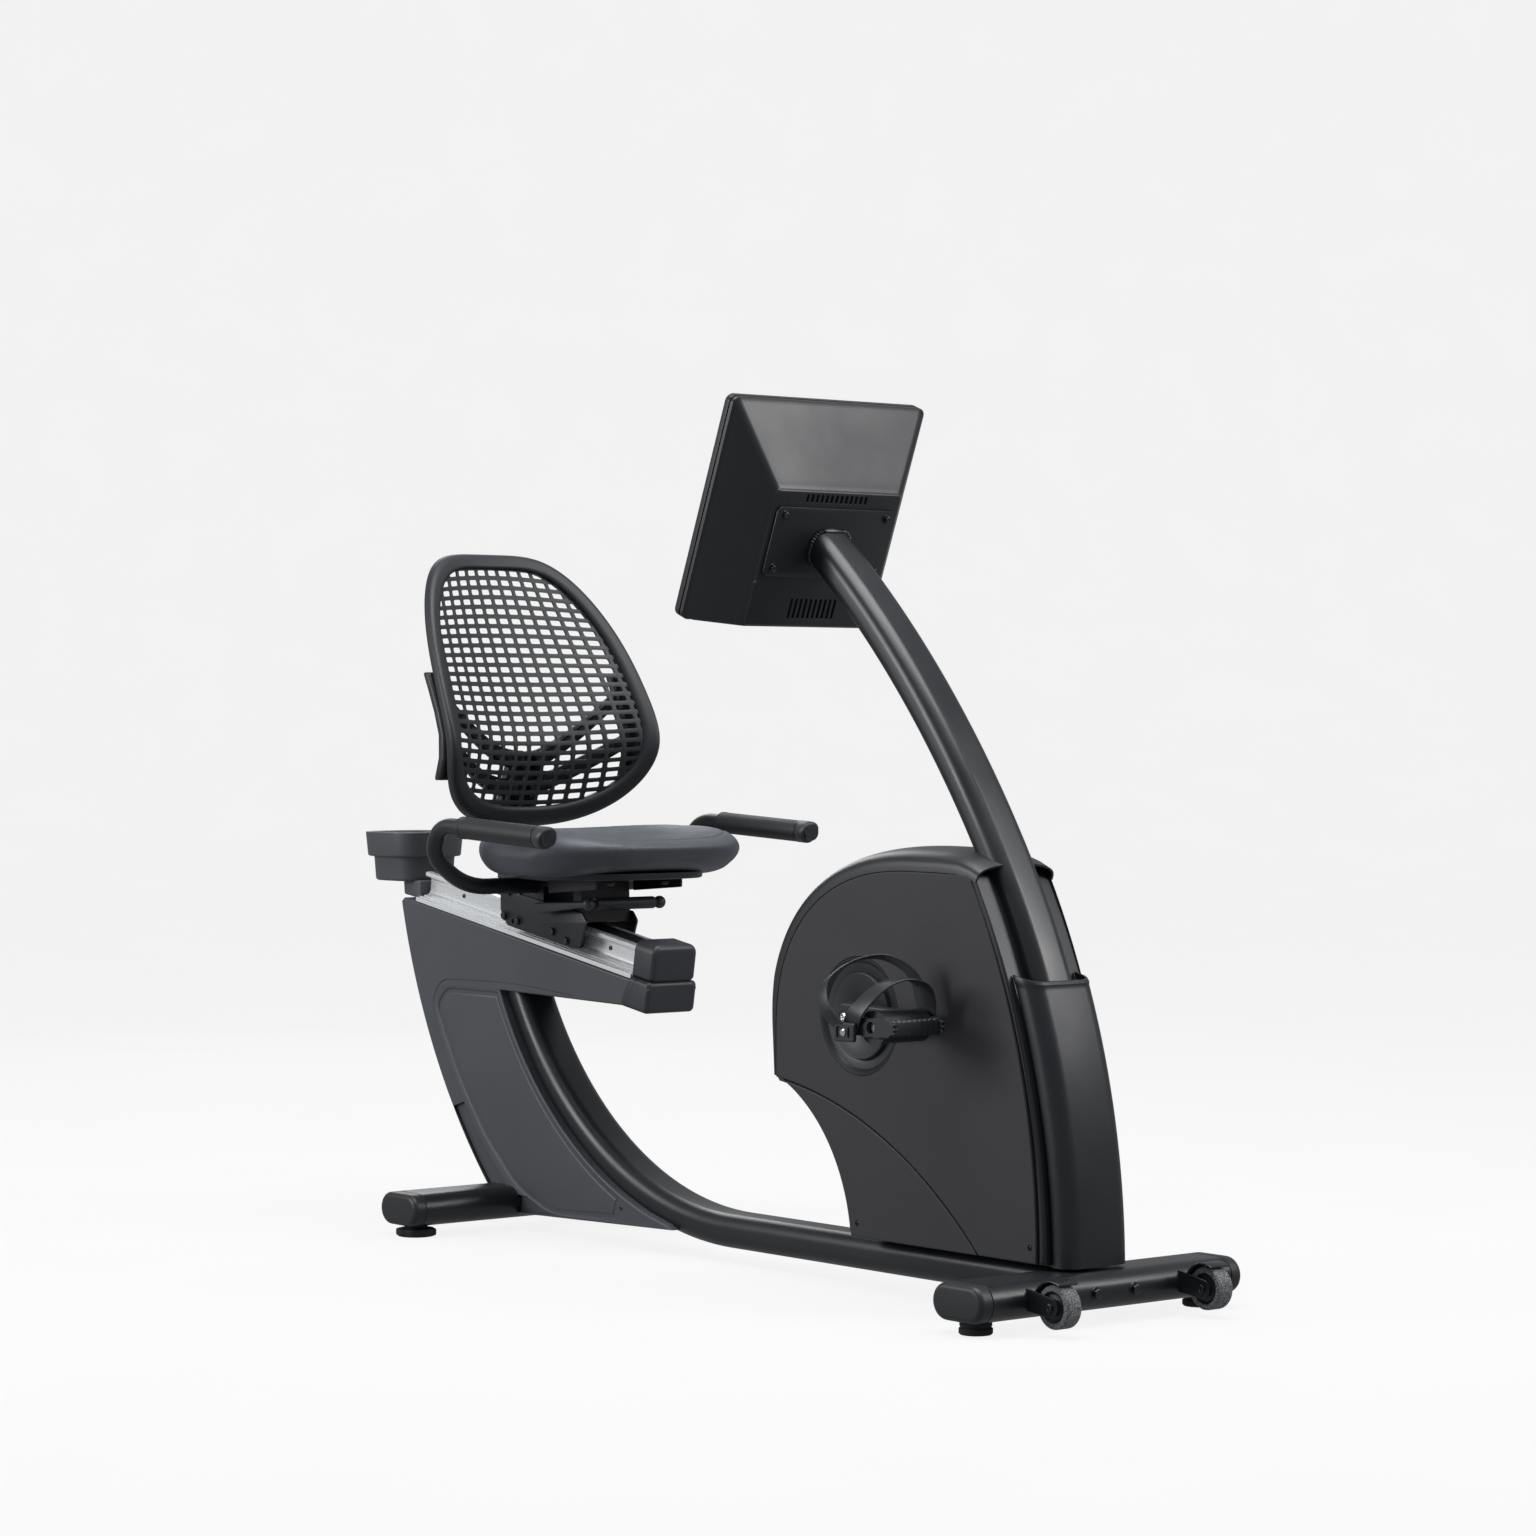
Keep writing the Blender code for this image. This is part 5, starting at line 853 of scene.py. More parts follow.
# Semi-gloss black coat on forged steel. Chrome plate: nearly a mirror, with faint polishing swirls.
arm_black = powder_coat("semi_gloss_black_coat", "#18191b", 0.3)
chrome, shader, place = new_material("polished_chrome", "#d8dadc", 0.1, metallic=1.0)
swirl = add_node(chrome, "TexNoise", [(place, "Vector")], Scale=160.0, Detail=2.0)
polish = add_node(chrome, "MapRange", [(swirl.outputs["Fac"], "Value")], From_Min=0.3, From_Max=0.7,
                  To_Min=0.06, To_Max=0.16)
wire(chrome, polish.outputs["Result"], shader.inputs["Roughness"])

for side, hand, ahead in ((-1, "right", 1), (1, "left", -1)):
    place = dict(origin=(CRANK_X, 0, CRANK_Z), across=ahead * X_AXIS, up=Z_AXIS, out=side * Y_AXIS)
    lean = np.arccos((ARM_HUB_R - ARM_TIP_R) / CRANK_LENGTH)
    outline = np.concatenate([arc(0, 0, ARM_HUB_R, lean, 2 * pi - lean, 30),
        arc(CRANK_LENGTH, 0, ARM_TIP_R, -lean, lean, 22)])
    profile = [(0.0032, ARM_INNER), (0.0009, ARM_INNER + 0.0009), (0, ARM_INNER + 0.0032)]
    profile += [(d, out) for d, out in round_edge(ARM_INNER + ARM_THICK, 0.0042)[1:]]
    arm = moved(panel(outline, profile), **place)
    tip = np.array([CRANK_X + ahead * CRANK_LENGTH, 0, CRANK_Z])
    middle = np.array([CRANK_X, 0, CRANK_Z])
    hub = turned([(0, 0.0762), (0.0175, 0.0762), (0.018, 0.077), (0.018, 0.0875), (0, 0.0875)], middle,
                 side * Y_AXIS, 48)
    boss = turned([(0, 0.098), (0.016, 0.098), (0.016, 0.1002), (0.015, 0.101), (0.0098, 0.101),
                   (0.009, 0.1003), (0, 0.1003)], middle, side * Y_AXIS, 56)
    cap = turned([(0, 0.1), (0.0064, 0.1), (0.0064, 0.1012), (0.0056, 0.1021), (0.0038, 0.1025),
                  (0.0034, 0.1018), (0.003, 0.1006), (0, 0.1006)],
                 middle, side * Y_AXIS, 56)
    spindle = turned([(0, 0.088), (SPINDLE_R, 0.088), (SPINDLE_R, 0.104), (0.0098, 0.104), (0.0098, 0.1058),
                      (SPINDLE_R, 0.1058),
                      (SPINDLE_R, 0.19), (0.0068, 0.1915), (0, 0.1915)], tip, side * Y_AXIS, 40)
    put("crank_forging_" + hand, joined(arm, hub, boss), arm_black, "cranks",
        ["crank_arm_" + hand])
    put("crank_cap_" + hand, cap, chrome, "cranks")
    put("pedal_spindle_" + hand, spindle, turned_steel, "cranks")


# ---- pedals and straps --------------------------------------------------------------------------
# Moulded nylon pedals: a barrel round the spindle between two toothed end plates, joined by tread bars.
# A PVC strap is pinned to the inner plate, runs over the toes and the instep and hooks on the outer one.
strap_pvc = moulded("flexible_pvc_black", "#24272a", 0.38, grain=260.0, depth=0.1)
ROOM = SPINDLE_R + 0.0006


def toothed_plate(y0, y1, teeth=14):
    """An end plate, bored for the spindle: a superellipse of power 3 whose radius swells by 5% with each
    tooth."""
    angle = np.linspace(0, 2 * pi, 168, endpoint=False)
    wave = 1 + 0.05 * np.cos(teeth * angle)
    c, s = np.cos(angle), np.sin(angle)
    reach = (np.abs(c) ** 3 + np.abs(s) ** 3) ** (-1 / 3) * wave
    outline = np.column_stack([(PEDAL_LENGTH / 2 - 0.002) * reach * c,
                               (PEDAL_THICK / 2 + 0.0012) * reach * s])
    bore = arc(0, 0, ROOM, 0, 2 * pi, 32)[:-1]
    edge = [(0.0008, y0), (0, y0 + 0.0008), (0, y1 - 0.0008), (0.0008, y1)]
    return panel(outline, edge, holes=[(bore, [(0, y1), (0, y0)], True)])


def barrel(y0, y1):
    """The bored body: a section 52 x 44 mm with nearly round sides, drawn in slightly at its middle."""
    section = rounded_box(0.052, 0.044, 0.021, 10)
    bore = arc(0, 0, ROOM, radians(45), radians(405), len(section))[:-1]
    rings = []
    for t in np.linspace(0, 1, 13):
        waist = 1 - 0.1 * sin(pi * t)
        rings.append(np.column_stack([section[:, 0] * waist, section[:, 1],
            np.full(len(section), y0 + (y1 - y0) * t)]))
    rings += [np.column_stack([bore, np.full(len(bore), y)]) for y in (y1, y0)]
    return skin(rings, closed=True)


def tread_bar(x, y0, y1, ribs=9):
    """A bar between the plates, deeper at each tread rib: half depth + 1 mm |sin| of the place."""
    rings = []
    for t in np.linspace(0, 1, 8 * ribs + 1):
        grip = 0.0014 * abs(sin(pi * ribs * t)) ** 0.6
        section = rounded_box(0.017, PEDAL_THICK - 0.004 + 2 * grip, 0.003, 3)
        rings.append(np.column_stack([section[:, 0] + x, section[:, 1],
            np.full(len(section), y0 + (y1 - y0) * t)]))
    return skin(rings)


def smooth_path(corners, steps):
    """A path through given points: each span follows a Catmull-Rom cubic."""
    p = np.asarray(corners, float)
    p = np.concatenate([[2 * p[0] - p[1]], p, [2 * p[-1] - p[-2]]])
    t = np.linspace(0, 1, steps, endpoint=False)[None, :, None]
    a, b, c, d = (p[k:len(p) - 3 + k][:, None] for k in range(4))
    curve = 0.5 * (2 * b + (c - a) * t + (2 * a - 5 * b + 4 * c - d) * t ** 2
                   + (3 * b - a - 3 * c + d) * t ** 3)
    return np.concatenate([curve.reshape(-1, 3), p[-2:-1]])


def band(path, width_way, width, thickness, steps=14):
    """A flat strap: a rounded strip carried along a path, its width along a direction kept square to it."""
    path = smooth_path(path, steps)
    ahead = np.gradient(path, axis=0)
    ahead /= np.linalg.norm(ahead, axis=1, keepdims=True)
    wide = smooth_path(width_way, steps)
    wide -= ahead * np.sum(wide * ahead, axis=1, keepdims=True)
    wide /= np.linalg.norm(wide, axis=1, keepdims=True)
    flat = np.cross(ahead, wide)
    section = rounded_box(width, thickness, thickness * 0.4, 3)
    return skin(path[:, None] + section[None, :, :1] * wide[:, None] + section[None, :, 1:] * flat[:, None])


near, far = PEDAL_INNER - 0.0022, PEDAL_INNER + PEDAL_WIDTH + 0.0022
toe_band = [(-0.042, far, -0.006), (-0.02, far + 0.002, 0.024), (0.004, far - 0.018, 0.054),
            (0.014, 0.15, 0.064), (0.016, near + 0.014, 0.054),
            (0.012, near, 0.028), (0.008, near, 0.0)]
heel_band = [(-0.046, far + 0.003, -0.008), (-0.072, far + 0.016, 0.022), (-0.082, far + 0.008, 0.056),
             (-0.07, 0.172, 0.084), (-0.044, 0.134, 0.09),
             (-0.016, near + 0.004, 0.066), (0.0, near - 0.001, 0.02)]
for side, hand, ahead in ((-1, "right", 1), (1, "left", -1)):
    tip = (CRANK_X + ahead * CRANK_LENGTH, 0, CRANK_Z)
    place = dict(origin=tip, across=X_AXIS, up=Z_AXIS, out=side * Y_AXIS)
    body = "pedal_" + hand
    y0, y1 = PEDAL_INNER, PEDAL_INNER + PEDAL_WIDTH
    parts = [toothed_plate(y0, y0 + 0.006), toothed_plate(y1 - 0.006, y1), barrel(y0 + 0.0058, y1 - 0.0058)]
    parts += [tread_bar(x, y0 + 0.005, y1 - 0.005) for x in (-0.033, 0.033)]
    put("pedal_body_" + hand, moved(joined(*parts), **place), black_nylon, body,
        ["pedal_" + hand])
    # the straps are drawn as (across, out, up) and set down with up and out exchanged
    set_down = dict(origin=tip, across=X_AXIS, up=side * Y_AXIS, out=Z_AXIS)
    bands = [band(toe_band, [(1, 0, 0)] * 7, 0.028, 0.0026),
             band(heel_band, [(1, 0, 0), (1, 0, 0.3), (0.8, 0, 0.5), (0.9, 0, 0.3), (1, 0, 0.2), (1, 0, 0),
                              (1, 0, 0)], 0.022, 0.0024)]
    put("pedal_strap_pair_" + hand, moved(joined(*bands), **set_down), strap_pvc, body,
        ["pedal_strap_" + hand])
    buckle = panel(rounded_box(0.042, 0.026, 0.005), [(0.001, 0), (0, 0.001)]
                   + round_edge(0.006, 0.002)[1:],
                   holes=[(rounded_box(0.01, 0.016, 0.003) + (-0.01, 0), [(0, 0.006), (0, 0.004)], False),
                          (rounded_box(0.006, 0.014, 0.0025) + (0.011, 0), [(0, 0.006), (0, 0.004)],
                              False)])
    buckle = moved(buckle, (tip[0] - 0.042, side * (far + 0.0034), CRANK_Z - 0.008), X_AXIS, Z_AXIS,
                   side * Y_AXIS)
    rivet = turned([(0, 0), (0.0052, 0), (0.0052, 0.0016), (0.004, 0.003), (0.0015, 0.0034), (0, 0.0034)],
                   (tip[0] - 0.042, side * (far + 0.0094), CRANK_Z - 0.008),
                   side * Y_AXIS, 32)
    put("strap_buckle_" + hand, buckle, black_nylon, body)
    put("buckle_rivet_" + hand, rivet, chrome, body)


# ---- rear leg covers ----------------------------------------------------------------------------
# Two ABS half shells clad the bent tube and the rail's beam. Each has a sunk panel inside a stepped line
# and is held by screws near the floor; the nose under the rail is closed by a cap of its own.
RAIL_TILT, RAIL_X, RAIL_Z, RAIL_REAR, RAIL_FRONT = radians(9.65), -1.279, 0.4646, -0.245, 0.335
LEG_COVER_HALF, LEG_COVER_WALL, LEG_REAR_X, LEG_REAR_Z, LEG_REAR_R = 0.047, 0.003, -0.629, 0.727, 0.9565
# Satin ABS in dark grey, a shade lighter than the drive covers.
leg_abs = moulded("satin_abs_dark_grey", "#43464b", 0.46, grain=420.0, depth=0.12)


def under_rail(x, height=0.0):
    """A height above the sloping plane that the rail lies on, at a place along X."""
    return RAIL_Z - (x - RAIL_X) * tan(RAIL_TILT) + height


def polar(point, centre):
    """The angle of a point about a centre, from 0 to a full turn."""
    return atan2(point[1] - centre[1], point[0] - centre[0]) % (2 * pi)


bend_centre = (BASE_BEND_X, BASE_Z + BASE_BEND_R)
leg_centre = (LEG_REAR_X, LEG_REAR_Z)
THROAT, NOSE_LOW, NOSE_TOP, COVER_TOP_GAP = (-1.285, 0.374), (-0.93, 0.366), -0.903, 0.0011
front_curve = arc(*bend_centre, BASE_BEND_R + TUBE_DEPTH / 2 - 0.012, polar(THROAT, bend_centre),
                  polar((-0.862, 0.045), bend_centre), 46)
rear_curve = arc(*leg_centre, LEG_REAR_R, polar((-1.32, 0.063), leg_centre),
                 polar((-1.556, 0.505), leg_centre), 44)
leg_outline = np.concatenate([
    rear_curve, [(-1.552, under_rail(-1.552, -COVER_TOP_GAP))],
    [(NOSE_TOP - 0.004, under_rail(NOSE_TOP - 0.004, -COVER_TOP_GAP)),
     (NOSE_TOP, under_rail(NOSE_TOP, -0.008)), (NOSE_TOP - 0.01, 0.38), NOSE_LOW],
    front_curve, [(-0.846, 0.038), (-1.181, 0.028), (-1.252, 0.0245)]])
sunk_front = arc(*bend_centre, BASE_BEND_R + TUBE_DEPTH / 2 - 0.0082, polar((-1.289, 0.3713), bend_centre),
                 polar((-0.985, 0.048), bend_centre), 40)
sunk_rear = chamfer_round([(-0.985, 0.04), (-1.15, 0.0325), (-1.2405, 0.066), (-1.324, 0.138),
                           (-1.393, 0.222), (-1.44, 0.3), (-1.4607, 0.3419), (-1.4327, 0.3714),
                           (-1.289, 0.3713)],
                          [0, 0.03, 0.03, 0.03, 0.03, 0.03, 0.018, 0.018, 0], 5, closed=False)
sunk = np.concatenate([sunk_rear, sunk_front[1:]])
split = chamfer_round([(-1.256, 0.056), (-1.333, 0.13), (-1.402, 0.2145), (-1.45, 0.2945), (-1.474, 0.344),
                       (-1.447, 0.3828), (-1.2586, 0.3874), (-1.09, 0.3752)],
                      [0, 0.03, 0.03, 0.03, 0.022, 0.022, 0.08, 0], 6, closed=False)
split = np.concatenate([split + (-0.0004, 0.0005), (split - (-0.0004, 0.0005))[::-1]])


def leg_cover():
    """The half shell: its outline with a rounded edge, and inside it a flat step 2.2 mm lower whose wall
    slopes over 3 mm. A fine split line runs round the step and under the beam."""
    face = LEG_COVER_HALF
    step = [(0, face), (-0.0012, face - 0.0004), (-0.0022, face - 0.0016), (-0.003, face - 0.0022)]
    return panel(leg_outline, round_edge(face, 0.003, rear=0.0004),
                 [(LEG_COVER_WALL, 0.0004), (LEG_COVER_WALL, face - 0.0056)],
                 [(sunk, step, False), (split, [(0, face), (0.0001, face - 0.0016)], False)])


for side, hand in SIDES:
    place = dict(origin=(0, 0, 0), across=X_AXIS, up=Z_AXIS, out=side * Y_AXIS)
    put("leg_shell_" + hand, moved(leg_cover(), **place), leg_abs, "frame",
        ["leg_cover_" + hand])
    inner_line = inset(anticlockwise(sunk), 0.0085)
    groove = panel(inner_line, [(-0.0006, LEG_COVER_HALF - 0.003), (0, LEG_COVER_HALF - 0.0016),
                                (0.0012, LEG_COVER_HALF - 0.0009), (0.003, LEG_COVER_HALF - 0.0008)])
    put("leg_inlay_" + hand, moved(groove, **place), leg_abs, "frame")
    screws = [socket_screw((x, side * (LEG_COVER_HALF - 0.0012), z), side * Y_AXIS, 0.0042, 0.0024)
              for x, z in ((-0.969, 0.06), (-1.254, 0.053))]
    put("leg_screws_" + hand, joined(*screws), black_oxide, "frame")


# ---- slide rail ---------------------------------------------------------------------------------
# An aluminium extrusion bolted on the sloping beam: a ribbed foot, a web with a rounded channel on each
# side for the rollers, and a head with a slot. A ribbed nylon strip fills the slot.
RAIL_HEIGHT, RAIL_FOOT, RAIL_WEB, RAIL_HEAD, RAIL_HEAD_THICK = 0.048, 0.045, 0.018, 0.03, 0.008
INSERT_WIDTH, INSERT_DEPTH = 0.036, 0.004
rail_along = np.array([cos(RAIL_TILT), 0, -sin(RAIL_TILT)])
rail_up = np.array([sin(RAIL_TILT), 0, cos(RAIL_TILT)])
rail_start = np.array([RAIL_X, 0, RAIL_Z])

# Anodised aluminium: bright and even, with faint die lines that run the length of the extrusion.
anodised, shader, place = new_material("clear_anodised_aluminium", "#f0f2f3", 0.28, metallic=0.6)
turn_lines = add_node(anodised, "Mapping", [(place, "Vector")], Rotation=(0, -RAIL_TILT, 0))
stretch = add_node(anodised, "Mapping", [(turn_lines.outputs["Vector"], "Vector")],
                   Scale=(1.5, 700.0, 700.0))
die_lines = add_node(anodised, "TexNoise", [(stretch.outputs["Vector"], "Vector")], Scale=1.0, Detail=3.0)
line_gloss = add_node(anodised, "MapRange", [(die_lines.outputs["Fac"], "Value")], From_Min=0.3,
                      From_Max=0.7, To_Min=0.25, To_Max=0.31)
wire(anodised, line_gloss.outputs["Result"], shader.inputs["Roughness"])
line_bump = add_node(anodised, "Bump", [(die_lines.outputs["Fac"], "Height")], Strength=0.015,
                     Distance=0.0002)
wire(anodised, line_bump.outputs["Normal"], shader.inputs["Normal"])


def along_rail(section, start, end):
    """A section of (y, height) extruded along the rail, from one distance to another."""
    section = np.asarray(section, float)
    rings = [rail_start + rail_along * a + section[:, :1] * Y_AXIS + section[:, 1:] * rail_up
             for a in (start, end)]
    return skin(rings)


def rail_section():
    """Half the extrusion, mirrored: a foot with two grooves on top, a channel with round inner corners, and
    a head whose edge carries a bead."""
    head, top, slot = RAIL_HEIGHT - RAIL_HEAD_THICK, RAIL_HEIGHT, INSERT_WIDTH / 2
    foot = [(RAIL_FOOT, 0.0), (RAIL_FOOT, 0.0062), (0.0425, 0.007), (0.0415, 0.0058), (0.0385, 0.0062),
            (0.0375, 0.008), (0.0345, 0.0082),
            (0.0335, 0.0066), (0.03, 0.007), (0.029, 0.0092), (RAIL_WEB + 0.006, 0.01)]
    channel = [(RAIL_WEB + 0.002, 0.012), (RAIL_WEB, 0.016), (RAIL_WEB, head - 0.0045),
               (RAIL_WEB + 0.002, head - 0.0012), (RAIL_WEB + 0.006, head)]
    crest = [(RAIL_HEAD - 0.002, head), (RAIL_HEAD, head + 0.0012), (RAIL_HEAD, top - 0.0022),
             (RAIL_HEAD - 0.0012, top - 0.0006), (RAIL_HEAD - 0.003, top),
             (slot + 0.0012, top), (slot, top - 0.0008), (slot, top - INSERT_DEPTH)]
    right = chamfer_round(foot + channel + crest, [0.0004] * 10 + [0.002] * 5 + [0.0006] * 8 + [0.0001], 3,
        closed=False)
    return np.concatenate([right, right[::-1] * (-1, 1)])


def ribbed_strip():
    """The slot's strip: its top rises and falls as 0.9 mm times |sin| across seven ribs."""
    half = INSERT_WIDTH / 2 - GAP
    y = np.linspace(half, -half, 85)
    top = RAIL_HEIGHT - 0.0012 + 0.0016 * np.abs(np.sin(pi * 7 * (y + half) / (2 * half))) ** 0.7
    foot = RAIL_HEIGHT - INSERT_DEPTH + GAP
    return np.concatenate([[(-half, foot), (half, foot)], np.column_stack([y, top])])


put("rail_extrusion", along_rail(rail_section(), RAIL_REAR, RAIL_FRONT - GAP), anodised, "frame",
    ["slide_rail"])
put("rail_ribbed_strip", along_rail(ribbed_strip(), RAIL_REAR, RAIL_FRONT - GAP), black_nylon, "frame",
    ["rail_insert"])
web_screws = []
for side in (-1, 1):
    for along in (-0.15, -0.03, 0.12, 0.245, 0.327):
        spot = rail_start + rail_along * along + rail_up * 0.0265 + side * (RAIL_WEB - 0.0002) * Y_AXIS
        web_screws.append(socket_screw(spot, side * Y_AXIS, 0.0038, 0.0022))
put("rail_web_screws", joined(*web_screws), black_oxide, "frame")


# ---- rail end cap and beam nose -----------------------------------------------------------------
# A deep ABS cap closes the rail's front end, rounded on top and at the sides. Below it a second moulding,
# in two lengths, closes the beam under the rail and carries on the leg covers' line.
RAIL_CAP_LENGTH, RAIL_CAP_HALF, RAIL_CAP_HEIGHT = 0.048, 0.0425, 0.06


def end_cap_of_rail():
    """Rings of the cap's section along the rail; the last ones draw in over a quarter round of 9 mm."""
    width, height, round_by = 2 * RAIL_CAP_HALF, RAIL_CAP_HEIGHT - 0.002, 0.009
    turn = np.linspace(0, pi / 2, 9)
    levels = [(0.0006, 0.0004), (0.0, 0.001), (0.0, RAIL_CAP_LENGTH - round_by)]
    levels += [(round_by * (1 - cos(a)), RAIL_CAP_LENGTH - round_by + round_by * sin(a)) for a in turn[1:]]
    rings = []
    for shrink, along in levels:
        corner = max(0.002, 0.015 - shrink)
        section = rounded_box(width - 2 * shrink, height - 2 * shrink, corner, 8)
        low = section[:, 1] < 0
        section[:, 1] = np.where(low, -height / 2 + shrink + (section[:, 1] + height / 2 - shrink) * 0.45,
            section[:, 1])
        middle = rail_start + rail_along * (RAIL_FRONT + along) + rail_up * (0.0016 + height / 2)
        rings.append(middle + section[:, :1] * Y_AXIS + section[:, 1:] * rail_up)
    return skin(rings)


# Satin ABS in soft black, for the caps and the closing block.
cap_abs = moulded("satin_abs_soft_black", "#2f3135", 0.42)
put("rail_end_cap", end_cap_of_rail(), cap_abs, "frame", ["rail_front_cap"])
for side, hand in SIDES:
    bolt_spot = rail_start + rail_along * (RAIL_FRONT - 0.0002) + rail_up * 0.03 + side * 0.03 * Y_AXIS
    put("rail_cap_screw_" + hand, socket_screw(bolt_spot, -rail_along, 0.0042, 0.003), black_oxide, "frame")


def nose_part(start, end, wall):
    """A length of the closing block between two distances past the rail's end. Its rear edge leans back by
    a third of the height; the front end is drawn in over a quarter round of the given wall."""
    turn = np.linspace(0, pi / 2, 9)[1:]
    levels = [(0.0008, start, 0.33), (0.0, start + 0.0008, 0.33),
              (0.0, end - wall, 0.0 if wall > 0.001 else 0.33)]
    levels += [(wall * (1 - cos(a)), end - wall + wall * sin(a), levels[-1][2]) for a in turn]
    top, bottom = 0.003, -0.0455
    rings = []
    for shrink, along, lean in levels:
        section = rounded_box(2 * (LEG_COVER_HALF + 0.0005 - shrink), top - bottom - 2 * shrink, 0.007, 6)
        section[:, 1] += (top + bottom) / 2
        sloped = RAIL_FRONT + along + lean * section[:, 1:]
        rings.append(rail_start + rail_along * sloped + section[:, :1] * Y_AXIS + section[:, 1:] * rail_up)
    return skin(rings)


put("beam_nose", joined(nose_part(-0.002, 0.0135, 0.0008), nose_part(0.0143, 0.048, 0.007)), cap_abs,
    "frame")


# ---- accessory tray -----------------------------------------------------------------------------
# A deep nylon tray sits behind the rail for a bottle or a telephone: a wide rolled rim over a narrower
# well, with a corner radius that grows downwards, on a short neck that slides over the rail's end.
TRAY_X, TRAY_HALF_LENGTH, TRAY_HALF_WIDTH, TRAY_WALL, TRAY_LIP = -1.59, 0.063, 0.061, 0.003, 0.006
TRAY_BOTTOM, TRAY_STEP, TRAY_TOP = 0.536, 0.576, 0.616


def superellipse(half_x, half_y, power, steps=96):
    """|x / half_x| and |y / half_y|, each to a power, add up to 1."""
    turn = np.linspace(0, 2 * pi, steps, endpoint=False)
    c, s = np.cos(turn), np.sin(turn)
    reach = (np.abs(c) ** power + np.abs(s) ** power) ** (-1 / power)
    return np.column_stack([half_x * reach * c, half_y * reach * s])


def tray():
    """A superellipse of power 4 for each point of the wall's profile, drawn in by that point's inset."""
    profile = chamfer_round([(0.03, TRAY_BOTTOM), (0.0085, TRAY_BOTTOM), (0.006, TRAY_STEP - 0.001),
        (-TRAY_LIP + 0.0035, TRAY_STEP), (-TRAY_LIP, TRAY_TOP),
                             (0.001, TRAY_TOP), (TRAY_WALL + 0.001, TRAY_STEP + 0.006),
                                 (0.0095, TRAY_STEP - 0.006), (0.012, TRAY_BOTTOM + TRAY_WALL),
                             (0.03, TRAY_BOTTOM + TRAY_WALL)],
                                 [0.0, 0.005, 0.0016, 0.003, 0.003, 0.0028, 0.003, 0.004, 0.005, 0.0], 5,
                                 closed=False)
    rings = []
    for shrink, z in profile:
        outline = superellipse(TRAY_HALF_LENGTH - shrink, TRAY_HALF_WIDTH - shrink, 4.0)
        rings.append(np.column_stack([TRAY_X + outline[:, 0], outline[:, 1], np.full(96, z)]))
    return skin(rings)


def tray_neck():
    """A block from the tray's floor down to the rail's end, its outline with 3 mm corners."""
    end_x = RAIL_X + (RAIL_REAR - 0.003) * cos(RAIL_TILT)
    outline = chamfer_round([(TRAY_X + 0.018, TRAY_BOTTOM + 0.0022),
        (TRAY_X + 0.02, under_rail(TRAY_X + 0.04, 0.004)),
        (TRAY_X + 0.04, under_rail(TRAY_X + 0.04, 0.0015)),
                             (end_x, under_rail(end_x, 0.0015)), (end_x, TRAY_BOTTOM + 0.0022)], 0.004, 4)
    edge = [(0.002, -0.034), (0.0006, -0.0334), (0, -0.032)] + [(0, 0.032), (0.0006, 0.0334),
        (0.002, 0.034)]
    return moved(panel(outline, edge))


# The tray is a lighter grey ABS than the caps.
tray_abs = moulded("satin_abs_tray_grey", "#45474b", 0.46)
put("tray_moulding", joined(tray(), tray_neck()), tray_abs, "frame", ["accessory_tray"])


# ---- seat carriage ------------------------------------------------------------------------------
# Two folded steel plates straddle the rail on four nylon rollers, and a steel box between them carries
# the seat. Every plate is held by cap screws whose sockets face outwards.
PLATE_Y, PLATE_THICK, ROLLER_R, ROLLER_WIDTH, ROLLER_HEIGHT = 0.047, 0.0035, 0.0135, 0.016, 0.0251
HANDLE_R, HANDLE_Y, HANDLE_CROSS_X, HANDLE_CROSS_Z, SEAT_PAN_Z = 0.0125, 0.25, -1.19, 0.542, 0.556


def on_rail(along, height):
    """(x, z) of a point given along and above the rail's foot."""
    spot = rail_start + rail_along * along + rail_up * height
    return spot[0], spot[2]


